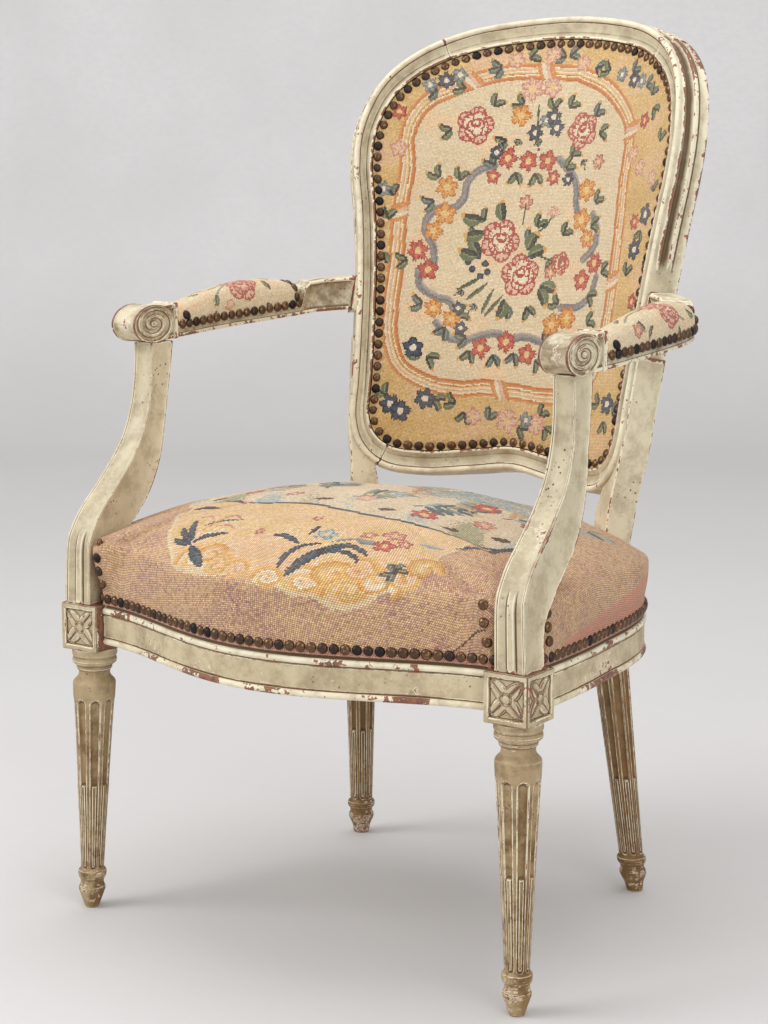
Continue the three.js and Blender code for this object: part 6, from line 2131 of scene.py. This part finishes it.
FIELD_SCROLLS = [
    (-36, -72, 15, 160, -1, "gold"), (-64, -66, 13, 200, -1, "cream"), (-50, -58, 10, 30, 1, "peach"),
    (-12, -76, 10, 190, -1, "peach"), (48, -74, 14, 150, -1, "cream"), (64, -62, 13, 20, 1, "gold"),
    (82, -76, 14, 200, -1, "gold"), (99, -64, 15, -30, 1, "cream"), (114, -56, 14, 170, -1, "peach"),
    (128, -40, 12, 0, 1, "gold"), (80, -52, 11, 100, -1, "peach"), (20, -80, 10, 180, -1, "cream"),
]
FIELD_BLADES = [
    (8.5, "teal", [(-79, -49), (-90, -48), (-102, -45)]),
    (7.5, "teal", [(-81, -45), (-92, -39), (-105, -29)]),
    (7.5, "teal", [(-81, -42), (-92, -29), (-100, -14)]),
    (11.0, "teal", [(-76, -51), (-65, -61), (-51, -75)]),
    (6.5, "teal", [(-78, -46), (-72, -35), (-54, -24)]),
    (4.0, "teal", [(-84, -19), (-74, -7), (-56, 1)]),
    (6.0, "teal", [(-144, 23), (-126, 27), (-108, 25)]),
    (6.0, "teal", [(-122, 51), (-105, 49), (-88, 43)]),
    (6.5, "teal", [(-8, -20), (6, -20), (22, -27)]),
    (5.5, "teal", [(22, -66), (20, -47), (26, -31), (40, -22)]),
    (10.5, "teal", [(32, -73), (36, -53), (44, -35), (60, -24)]),
    (5.0, "teal", [(24, -11), (25, 6)]),
    (6.5, "teal", [(42, -33), (60, -20), (74, -26), (81, -34)]),
    (5.5, "teal", [(44, -36), (60, -30), (72, -36), (77, -43)]),
    (3.6, "blue", [(46, -18), (62, -9), (78, -9)]),
    (8.0, "blue", [(66, -11), (80, -14)]),
    (8.0, "pale blue", [(116, -1), (130, -1), (144, 4)]),
    (7.0, "teal", [(154, 13), (180, 37), (198, 73)]),
    (3.4, "ochre", [(-80, -27), (-76, -2), (-68, 14)]),
    (3.4, "rose", [(-101, -8), (-92, -2), (-84, -6)]),
    (3.4, "rose", [(-78, 3), (-68, 8), (-59, 3)]),
    (3.4, "rose", [(-72, -17), (-62, -12), (-52, -17)]),
]
FIELD_FLOWERS = [
    (-24, -17, 5, "rose"), (38, -7, 10, "pale blue"), (71, 2, 7, "rose"), (92, 6, 11, "rose"),
    (89, -15, 10, "red"), (104, -8, 7, "rose"), (-90, 46, 6, "rose"), (14, 22, 6, "rose"),
]


FOLIAGE_RING = [
    (-178, 50), (-120, 44), (-40, 50), (60, 46), (150, 40), (196, 60), (206, 120), (190, 190), (130, 240),
    (40, 258), (-60, 255), (-150, 225), (-195, 160), (-198, 95),
]
FOLIAGE_FLOWERS = [
    (-120, 96, 12, "red"), (-60, 84, 10, "rose"), (20, 92, 12, "pale rose"), (96, 78, 14, "red"),
    (150, 96, 12, "rose"), (120, 150, 15, "red"), (40, 160, 13, "rose"), (-40, 150, 12, "red"),
    (-130, 168, 13, "pale rose"), (-10, 220, 13, "rose"), (90, 215, 12, "pale rose"), (176, 140, 12, "red"),
]


def curl(work, x, y, radius, turn, way, width, wool):
    """A C-scroll: a spiral that opens out from a tight eye."""
    points = []
    for k in range(11):
        angle = math.radians(turn + way * 38 * k)
        far = radius * (1.0 - 0.078 * k)
        points.append((x + far * math.cos(angle), y + far * math.sin(angle)))
    work.line(points, width, wool, 0.1, 1.0)


def paint_seat(cloth, solid):
    """A faded mauve and ochre ground, with a gold scrolled field at the front and foliage behind it."""
    work = Needlework(cloth, 47)
    x, y, z = np.moveaxis(solid, -1, 0)
    everywhere = np.ones(cloth.u.shape, bool)
    whole = (slice(None), slice(None))
    work.ground(
        everywhere,
        [("mauve", 0.2, 0.9), ("tan", 0.2, 0.9), ("peach", 0.0, 0.5), ("tan", 0.4, 1.0), ("mauve", 0.4, 1.0)],
        85, 3, 0.7,
    )
    patch = wave(np.stack([x, y, z], -1), 80, 21) + work.random.normal(0, 0.5, x.shape) > 0.75
    work.lay(whole, patch & (y < 40), work.random.uniform(0.1, 0.8, x.shape), "mauve")
    violet = wave(np.stack([x, y, z], -1), 60, 33) + work.random.normal(0, 0.4, x.shape) > 1.25
    cloth.tint[violet & (y < 20)] *= (0.86, 0.80, 0.94)
    # the field's lower edge, as heights on the front of the seat
    edge = np.interp(
        x, [-176, -160, -145, -121, -93, -55, -20, 0, 30, 55, 87, 100, 122, 146, 158, 168, 190],
        [440, 418, 400, 389, 378, 377, 386, 385, 377, 375, 362, 362, 369, 387, 401, 412, 440],
    )
    ridge = edge + 3.5 * wave(np.stack([x, y * 0], -1), 34, 8)
    back_line = 62 + 10 * wave(np.stack([x, x * 0], -1), 130, 12)
    front = (z > ridge) & (y < back_line)
    golds = [("gold", 0.3, 0.9), ("gold", 0.6, 1.0), ("peach", 0.5, 1.0), ("gold", 0.7, 1.0)]
    work.ground(front, golds + [("cream", 0.3, 0.9)], 70, 14, 0.35)
    rim = front & (z < ridge + 4.5)
    work.dye(rim, (240, 220, 176), 0.9, 1.05)
    ring = Curve(FOLIAGE_RING + FOLIAGE_RING[:1], samples=300).table
    behind = within(cloth.u, cloth.v, ring)
    pales = [("pale blue", 0.6, 1.0), ("cream", 0.2, 0.8), ("cream", 0.0, 0.6), ("sage", 0.6, 1.0)]
    work.ground(behind, pales, 110, 17, 0.2)
    work.line(ring[30:110:6], 4.0, "teal", 0.0, 0.6)
    work.line(ring[110:270:8], 3.6, "gold", 0.4, 0.9)

    rosy = front & (np.hypot(cloth.u + 2, (cloth.v + 50) * 1.4) < 44) & (work.random.random(x.shape) < 0.6)
    work.lay(whole, rosy, work.random.uniform(0.2, 0.8, x.shape), "peach")
    for u, v, radius, turn, way, wool in FIELD_SCROLLS:
        curl(work, u, v, radius + 4.0, turn, way, 7.6, "ochre")
        curl(work, u, v, radius - 0.6, turn, way, 4.6, wool)
    for width, wool, points in FIELD_BLADES:
        edge = "navy" if width > 4.5 and wool == "teal" else None
        work.line(points, width, wool, 0.0, 0.85, edge, taper=True)
    work.spray(106, -50, 60, 15, "teal", 3)
    work.spray(106, -50, 230, 13, "teal", 2)
    for u, v, radius, wool in FIELD_FLOWERS:
        work.flower(u, v, radius, wool, 5, 23 * radius)
    seeded = np.random.default_rng(5)
    for k in range(15):
        px, py = -165 + 24 * k, 150 + 62 * math.sin(2.4 * k)
        turn = 70 + 40 * math.sin(1.7 * k)
        tip = (px, py) + 58 * toward(turn)
        bend = ((px + tip[0]) / 2 + 14 * math.sin(k), (py + tip[1]) / 2)
        work.line([(px, py), bend, tip], 3.0, "teal", 0.0, 0.6)
        for step in range(5):
            spot = (px, py) + (tip - (px, py)) * (0.15 + 0.18 * step)
            for way in (-1, 1):
                wool = ("pale blue", "sage", "blue", "tan", "teal")[int(seeded.integers(0, 5))]
                end = spot + (30 - 3 * step) * toward(turn + way * 48)
                work.line([spot, end], 8.0, wool, 0.2, 0.9, taper=True)
    for px, py, radius, wool in FOLIAGE_FLOWERS:
        work.flower(px, py, radius, wool, 6, 30 * radius)
    # a patch of sky blue behind the foliage
    sky = behind & (x > 40) & (y > 150 + 0.2 * (x - 40)) & (wave(np.stack([x, y], -1), 60, 77) > -0.9)
    sky = sky & (work.random.random(x.shape) < 0.75)
    work.lay(whole, sky, work.random.uniform(0.2, 0.7, x.shape), "pale blue")
    for px, py in ((-150, 74), (-14, 70), (62, 66), (130, 62), (178, 76)):
        work.oval(px, py, 9, 4.5, "brown", 20, low=0.0, high=0.3)
    # a plain salmon strip let in low along the right side
    strip = (x > 180) & (y > 50) & (z < np.interp(y, [50, 120, 300], [333, 350, 369])) & (z > 320)
    work.dye(strip, (222, 158, 130), 0.95, 1.03)
    frayed = z < 322.6 + 0.8 * wave(np.stack([x, y], -1), 24, 40)
    work.dye(frayed, (216, 158, 138), 0.75, 1.1)
    # a tear at the front right, drawn as a dark brown line: the torn wool, with painted shade in the split
    work.line([(188, -107), (198, -98), (212, -90), (224, -85)], 2.2, "brown", 0.1, 0.8)
    work.age((214, 184, 146), settings().fading, 19)


PAD_LEAVES = [
    (0.3, 12, 60, 15, "sage"), (0.24, -4, 150, 14, "sage"), (0.34, -14, 240, 15, "leaf"),
    (0.32, -32, 200, 16, "sage"), (0.78, -8, 70, 20, "leaf"), (0.74, -24, 100, 17, "leaf"),
    (0.78, 22, 20, 18, "leaf"), (0.4, 22, 120, 14, "leaf"), (0.66, 34, 60, 14, "sage"),
    (0.7, -38, 300, 15, "leaf"),
]


def paint_pad(cloth, side):
    """Cream, with a rose and buds on stems."""
    work = Needlework(cloth, 61 + side)
    everywhere = np.ones(cloth.u.shape, bool)
    work.ground(everywhere, [("cream", 0.0, 0.5), ("cream", 0.3, 0.8), ("peach", 0.7, 1.0)], 50, 8, 0.4)
    long = cloth.columns[-1]
    for points in (
        [(0.22 * long, 6), (0.34 * long, -2), (0.5 * long, 2)],
        [(0.3 * long, -20), (0.38 * long, -10), (0.5 * long, 0)],
        [(0.5 * long, 0), (0.62 * long, 20), (0.72 * long, 30)],
    ):
        work.line(points, 2.4, "sage", 0.0, 0.7)
    for share, across, turn, size, wool in PAD_LEAVES:
        work.leaf(share * long, across, size, size * 0.44, turn, wool)
    work.rose(0.55 * long, -10, 22, "rose", "red", 10)
    work.rose(0.6 * long, 18, 17, "pale rose", "red", 40)
    work.flower(0.27 * long, 20, 8, "rose", 5, 20)
    work.flower(0.42 * long, -30, 7, "pale rose", 5, 50)
    work.age((228, 208, 168), settings().fading, 3)


# Webbing, hessian and the linen of the outside of the back

SEAT_WEBS = [f"seat_web_{way}_{k}" for way in ("cross", "long") for k in (1, 2, 3, 4)]
BACK_WEBS = [f"back_web_cross_{k}" for k in (1, 2, 3)] + ["back_web_upright_left", "back_web_upright_right"]
PEGS = [
    f"{joint}_{side}"
    for joint in (
        "arm_peg", "back_rail_peg", "crest_peg", "front_rail_peg", "lower_rail_peg",
        "side_rail_front_peg", "side_rail_rear_peg",
    )
    for side in ("left", "right")
] + ["front_rail_plug_inner", "front_rail_plug_outer"]


def lining(node, finish, cell):
    """A packed strip or sheet again in small faces, so that it can sag and wave as cloth does."""
    mesh = bmesh.new()
    mesh.from_mesh(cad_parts[node].data)
    bmesh.ops.remove_doubles(mesh, verts=mesh.verts, dist=1e-5)
    low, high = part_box(node)
    upright = node.startswith("back")
    for axis in (0, 2 if upright else 1):
        steps = int((high[axis] - low[axis]) / (cell * MM))
        normal = [0, 0, 0]
        normal[axis] = 1
        for k in range(1, steps):
            spot = list(low)
            spot[axis] = low[axis] + (high[axis] - low[axis]) * k / steps
            whole = mesh.verts[:] + mesh.edges[:] + mesh.faces[:]
            bmesh.ops.bisect_plane(mesh, geom=whole, dist=1e-6, plane_co=spot, plane_no=normal)
    spots = np.array([v.co[:] for v in mesh.verts]) / MM
    centre = np.array([0, 0.5 * (low[1] + high[1]) / MM, 650.0])
    far = np.linalg.norm((spots - centre)[:, (0, 2) if upright else (0, 1)], axis=1)
    sag = 2.4 * np.clip(1 - (far / 240) ** 2, 0, 1) + 0.25 * wave(spots, 26, 15)
    way = LEAN_BACK if upright else np.array([0, 0, -1])
    for vert, move in zip(mesh.verts, (0.35 * sag if upright else sag)[:, None] * way * MM):
        vert.co += Vector(move)
    name = node.replace("_web_", "_webbing_").replace("_hessian", "_hessian_cloth")
    data = bpy.data.meshes.new(name)
    mesh.to_mesh(data)
    mesh.free()
    data.shade_smooth()
    data.materials.append(finish_named(finish))
    return declare(add_object(name, data), [node])


def width_along_bend(obj):
    """The width of a bent sheet of the back along its own curve at half its height, in metres."""
    spots = np.array([v.co[:] for v in obj.data.vertices])
    up = spots @ LEAN_UP
    near = np.abs(up - (up.min() + up.max()) / 2) < 0.03
    curve = np.polyfit(spots[near, 0], spots[near] @ LEAN_BACK, 4)
    x = np.linspace(spots[:, 0].min(), spots[:, 0].max(), 200)
    return np.hypot(np.diff(x), np.diff(np.polyval(curve, x))).sum()


LINEN_LIFT = -FRAME_BACK + 1.0
LINEN_NAILS = 118


def outside_linen():
    """Plain linen over the outside of the back, drawn tight and nailed in its rebate."""
    edge = opening_ring(4 * LINEN_NAILS, PATCH_INSET)
    shares = 1 - np.concatenate([[0, 0.01, 0.022, 0.036, 0.055, 0.08, 0.11], np.linspace(0.15, 0.995, 20)])
    flat = BACK_MIDDLE + (edge[None] - BACK_MIDDLE) * shares[:, None, None]
    gap = np.linalg.norm(flat - flat[0], axis=-1)
    between = np.cos(2 * math.pi * np.arange(len(edge)) / 4)[None, :]
    dip = 2.2 * (1 - shares[:, None] ** 2) + 0.35 * between * np.exp(-(((gap - 9) / 9) ** 2))
    dip = dip + 0.3 * wave(flat, 140, 23) * (1 - shares[:, None])
    rear = back_point(flat[..., 0], flat[..., 1], LINEN_LIFT + dip)
    front = back_point(flat[..., 0], flat[..., 1], LINEN_LIFT + dip + 1.2)
    obj = new_piece(
        "back_outside_linen", loft(np.concatenate([rear[::-1], front])), "linen", ["back_cover_outside"],
        relief=False,
    )
    x, y = edge.T
    # the linen lies behind the bend, so it is wider than the ring that is measured on the bend itself
    middle = back_point(np.linspace(x.min(), x.max(), 200), BACK_MIDDLE[1], LINEN_LIFT)
    spots = round_opening(LINEN_NAILS)
    points = back_point(spots[:, 0], spots[:, 1], LINEN_LIFT - 0.2)
    ways = back_point(spots[:, 0], spots[:, 1], -1) - back_point(spots[:, 0], spots[:, 1], 0)
    nail_row("nails_back_outside", points, ways)


# The operators that make the pieces, in order

PAIRS = [("right", lambda shape: shape), ("left", flipped)]


class FAUTEUIL_OT_front_legs(bpy.types.Operator):
    """Makes the turned and fluted front legs with their rosette blocks"""

    bl_idname = "fauteuil.front_legs"
    bl_label = "Front legs"

    def execute(self, context):
        shaft = turned_leg(FRONT_PROFILE, FRONT_FOOT, FRONT_LEG_HEAD, FRONT_LEG_RADIUS, (0.155, 0.48, 0.81))
        shape = joined([shaft, leg_block()])
        for side, turned in PAIRS:
            new_piece("leg_front_" + side, turned(shape), "leg paint", ["front_leg_" + side])
        return {"FINISHED"}


class FAUTEUIL_OT_rear_legs(bpy.types.Operator):
    """Makes the rear legs with the stiles and the moulded sides of the back"""

    bl_idname = "fauteuil.rear_legs"
    bl_label = "Rear legs and stiles"

    def execute(self, context):
        shaft = turned_leg(REAR_PROFILE, REAR_FOOT, REAR_LEG_HEAD, REAR_LEG_RADIUS, (0.16, 0.47, 0.93))
        sweep = sweep_frame(further(CREST_JOINT, FIT), further(LOWER_JOINT, -FIT), 130, upper_groove)
        shape = joined([shaft, stile_foot(), sweep, lug()])
        for side, turned in PAIRS:
            new_piece("leg_rear_" + side, turned(shape), "rear paint", ["rear_leg_stile_" + side])
        return {"FINISHED"}


class FAUTEUIL_OT_back_rails(bpy.types.Operator):
    """Makes the crest rail and the lower rail of the back"""

    bl_idname = "fauteuil.back_rails"
    bl_label = "Crest and lower rail"

    def execute(self, context):
        end = further(CREST_JOINT, -FIT)
        crest = sweep_frame(-end, end, 120, upper_groove)
        start = further(LOWER_JOINT, FIT)
        lower = sweep_frame(start, 1 - start, 100, upper_groove)
        new_piece("crest", crest, "paint", ["crest_rail"])
        new_piece("back_lower_rail", lower, "paint", ["lower_back_rail"])
        return {"FINISHED"}


class FAUTEUIL_OT_seat_rails(bpy.types.Operator):
    """Makes the moulded rails of the seat"""

    bl_idname = "fauteuil.seat_rails"
    bl_label = "Seat rails"

    def execute(self, context):
        front = rail(rail_outline(), front_stations(120), (1, 0), (-1, 0))
        side = rail(rail_outline(), side_stations(90), (0, 1), BLOCK_ACROSS)
        back = rail(plain_rail_outline(), back_stations(60), -BLOCK_ACROSS, BLOCK_ACROSS * (1, -1))
        new_piece("rail_front", front, "paint", ["front_seat_rail"])
        for name, turned in PAIRS:
            new_piece("rail_side_" + name, turned(side), "paint", ["side_seat_rail_" + name])
        new_piece("rail_back", back, "paint", ["back_seat_rail"])
        return {"FINISHED"}


class FAUTEUIL_OT_arms(bpy.types.Operator):
    """Makes the arm supports and the armrests with their scrolls"""

    bl_idname = "fauteuil.arms"
    bl_label = "Arms"

    def execute(self, context):
        support = arm_support()
        arm = joined([arm_body(), scroll(), arm_collar(0.086, 0.014, 1.6)])
        for side, turned in PAIRS:
            new_piece("support_" + side, turned(support), "paint", ["arm_support_" + side])
            new_piece("arm_" + side, turned(arm), "arm paint", ["armrest_" + side])
        return {"FINISHED"}


class FAUTEUIL_OT_seat_cover(bpy.types.Operator):
    """Fills the seat, lays its needlepoint cover over it and nails it down"""

    bl_idname = "fauteuil.seat_cover"
    bl_label = "Seat cover"

    def execute(self, context):
        columns = seat_form()
        cloth, points, kept = seat_cloth(columns)
        paint_seat(cloth, (points[:-1, :-1] + points[1:, 1:]) / 2)
        cloth.piece(
            "seat_needlepoint", points, kept, "seat wool", ["seat_cover", "seat_stuffing"], 0.8
        )
        nail_row("nails_seat", *seat_nails(columns))
        return {"FINISHED"}


class FAUTEUIL_OT_back_cover(bpy.types.Operator):
    """Fills the back, lays its needlepoint cover over it and nails it round the frame"""

    bl_idname = "fauteuil.back_cover"
    bl_label = "Back cover"

    def execute(self, context):
        form = back_form()
        cloth, points, kept = back_cloth(form)
        paint_back(cloth)
        cloth.piece(
            "back_needlepoint", points, kept, "back wool", ["back_cover_front", "back_stuffing"], 0.7
        )
        nail_row("nails_back", *back_nails(form))
        return {"FINISHED"}


class FAUTEUIL_OT_arm_pads(bpy.types.Operator):
    """Fills the arm pads, covers them and nails the covers down"""

    bl_idname = "fauteuil.arm_pads"
    bl_label = "Arm pads"

    def execute(self, context):
        rows = pad_columns()
        cloth, points, kept = pad_cloth(rows)
        spots, ways = pad_nails(rows)
        for side, sign in (("right", 1), ("left", -1)):
            paint_pad(cloth, sign)
            placed = points * (sign, 1, 1)
            piece = cloth.piece(
                "arm_pad_" + side, placed, kept, "back wool",
                ["arm_pad_cover_" + side, "arm_pad_stuffing_" + side], 0.8,
            )
            nail_row("nails_arm_" + side, spots * (sign, 1, 1), ways * (sign, 1, 1))
            if sign > 0:
                piece.data.flip_normals()
        return {"FINISHED"}


class FAUTEUIL_OT_linings(bpy.types.Operator):
    """Makes the webbing and hessian under the covers, and the linen over the outside of the back"""

    bl_idname = "fauteuil.linings"
    bl_label = "Webbing, hessian and outside linen"

    def execute(self, context):
        for node in SEAT_WEBS + BACK_WEBS:
            lining(node, "jute", 7.0)
        for node, level in (("seat_hessian", True), ("back_hessian", False)):
            obj = lining(node, "hessian", 12.0)
            low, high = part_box(node)
            size = high - low
            flat = (size.x, size.y) if level else (width_along_bend(obj), size.z / math.cos(BACK_LEAN))
        outside_linen()
        refinish("paint", *PEGS)
        return {"FINISHED"}


class FAUTEUIL_OT_stage(bpy.types.Operator):
    """Makes the floor, the backdrop, the lights and the camera"""

    bl_idname = "fauteuil.stage"
    bl_label = "Stage"

    def execute(self, context):
        floor_and_wall()
        lights()
        camera()
        return {"FINISHED"}


def floor_and_wall():
    """A floor that turns up into a wall in one wide curve."""
    look = Finish("studio paper")
    cloudy = look.noise(1.4, 4)
    tone = look.mix(look.band(cloudy, 0.4, 0.65), colour(234, 233, 233), colour(226, 224, 224))
    brushed = look.noise(90, 4, look.place((0.12, 1, 1)), 0.7)
    tone = look.mix(look.band(brushed, 0.42, 0.62, 0, 0.2), tone, colour(216, 215, 216))
    level = look.add("ShaderNodeSeparateXYZ", {0: look.place()}).outputs[2]
    tone = look.mix(look.band(level, 0.5, 0.0, 0, 0.8), tone, colour(208, 206, 205))
    material = look.finish(tone, 0.9, look.noise(60, 3), 0.001, 0.15)
    mesh = bmesh.new()
    profile = [(0, -7.0, 0.0), (0, 3.0, 0.0)]
    for step in range(1, 13):
        angle = math.pi / 2 * step / 12
        profile.append((0, 3.0 + 0.6 * math.sin(angle), 0.6 - 0.6 * math.cos(angle)))
    profile.append((0, 3.6, 5.0))
    # the wall stands square to the camera's way of looking
    turn = Matrix.Rotation(CAMERA_YAW, 4, "Z")
    rows = []
    for x in (-8.0, 8.0):
        rows.append([mesh.verts.new(turn @ Vector((x, y, z))) for _, y, z in profile])
    for k in range(len(profile) - 1):
        mesh.faces.new((rows[0][k], rows[1][k], rows[1][k + 1], rows[0][k + 1]))
    bmesh.ops.recalc_face_normals(mesh, faces=mesh.faces)
    data = bpy.data.meshes.new("studio_paper")
    mesh.to_mesh(data)
    mesh.free()
    data.shade_smooth()
    data.materials.append(material)
    add_object("studio_paper", data)


def lights():
    world = bpy.data.worlds.new("studio")
    bpy.context.scene.world = world
    world.use_nodes = True
    background = world.node_tree.nodes["Background"]
    background.inputs["Color"].default_value = (1.0, 1.0, 1.0, 1.0)
    background.inputs["Strength"].default_value = 0.64
    lamps = [
        ("key", (-1.9, -2.2, 2.3), 2.0, 52),
        ("fill", (2.6, -1.6, 1.5), 2.2, 25),
        ("top", (0.0, 0.2, 3.0), 2.4, 30),
    ]
    for name, place, size, power in lamps:
        data = bpy.data.lights.new(name, "AREA")
        data.shape = "DISK"
        data.size = size
        data.energy = power
        lamp = add_object(name, data)
        lamp.location = place
        way = Vector((0, 0, 0.45)) - Vector(place)
        lamp.rotation_euler = way.to_track_quat("-Z", "Y").to_euler()


CAMERA_PLACE = (1.3295, -1.98082, 0.8226)
CAMERA_YAW = 0.60995
CAMERA_DOWN = 0.17507


def camera():
    data = bpy.data.cameras.new("view")
    data.sensor_fit = "VERTICAL"
    data.sensor_height = 36
    data.lens = 84.06
    obj = add_object("view", data)
    obj.location = CAMERA_PLACE
    obj.rotation_euler = (math.pi / 2 - CAMERA_DOWN, 0, CAMERA_YAW)
    bpy.context.scene.camera = obj


class FAUTEUIL_PT_pieces(bpy.types.Panel):
    bl_idname = "FAUTEUIL_PT_pieces"
    bl_label = "Fauteuil"
    bl_space_type = "VIEW_3D"
    bl_region_type = "UI"
    bl_category = "Fauteuil"

    def draw(self, context):
        for operator in OPERATORS:
            self.layout.operator(operator.bl_idname)


OPERATORS = [
    FAUTEUIL_OT_front_legs,
    FAUTEUIL_OT_rear_legs,
    FAUTEUIL_OT_back_rails,
    FAUTEUIL_OT_seat_rails,
    FAUTEUIL_OT_arms,
    FAUTEUIL_OT_seat_cover,
    FAUTEUIL_OT_back_cover,
    FAUTEUIL_OT_arm_pads,
    FAUTEUIL_OT_linings,
    FAUTEUIL_OT_stage,
]
CLASSES = [FauteuilLooks, *OPERATORS, FAUTEUIL_PT_pieces]


def register():
    for each in CLASSES:
        bpy.utils.register_class(each)
    bpy.types.Scene.fauteuil_looks = bpy.props.PointerProperty(type=FauteuilLooks)


def unregister():
    del bpy.types.Scene.fauteuil_looks
    for each in reversed(CLASSES):
        bpy.utils.unregister_class(each)


def main():
    register()
    scene = bpy.context.scene
    scene.view_settings.view_transform = "Standard"
    for operator in OPERATORS:
        group, name = operator.bl_idname.split(".")
        getattr(getattr(bpy.ops, group), name)()


if __name__ == "__main__":
    main()
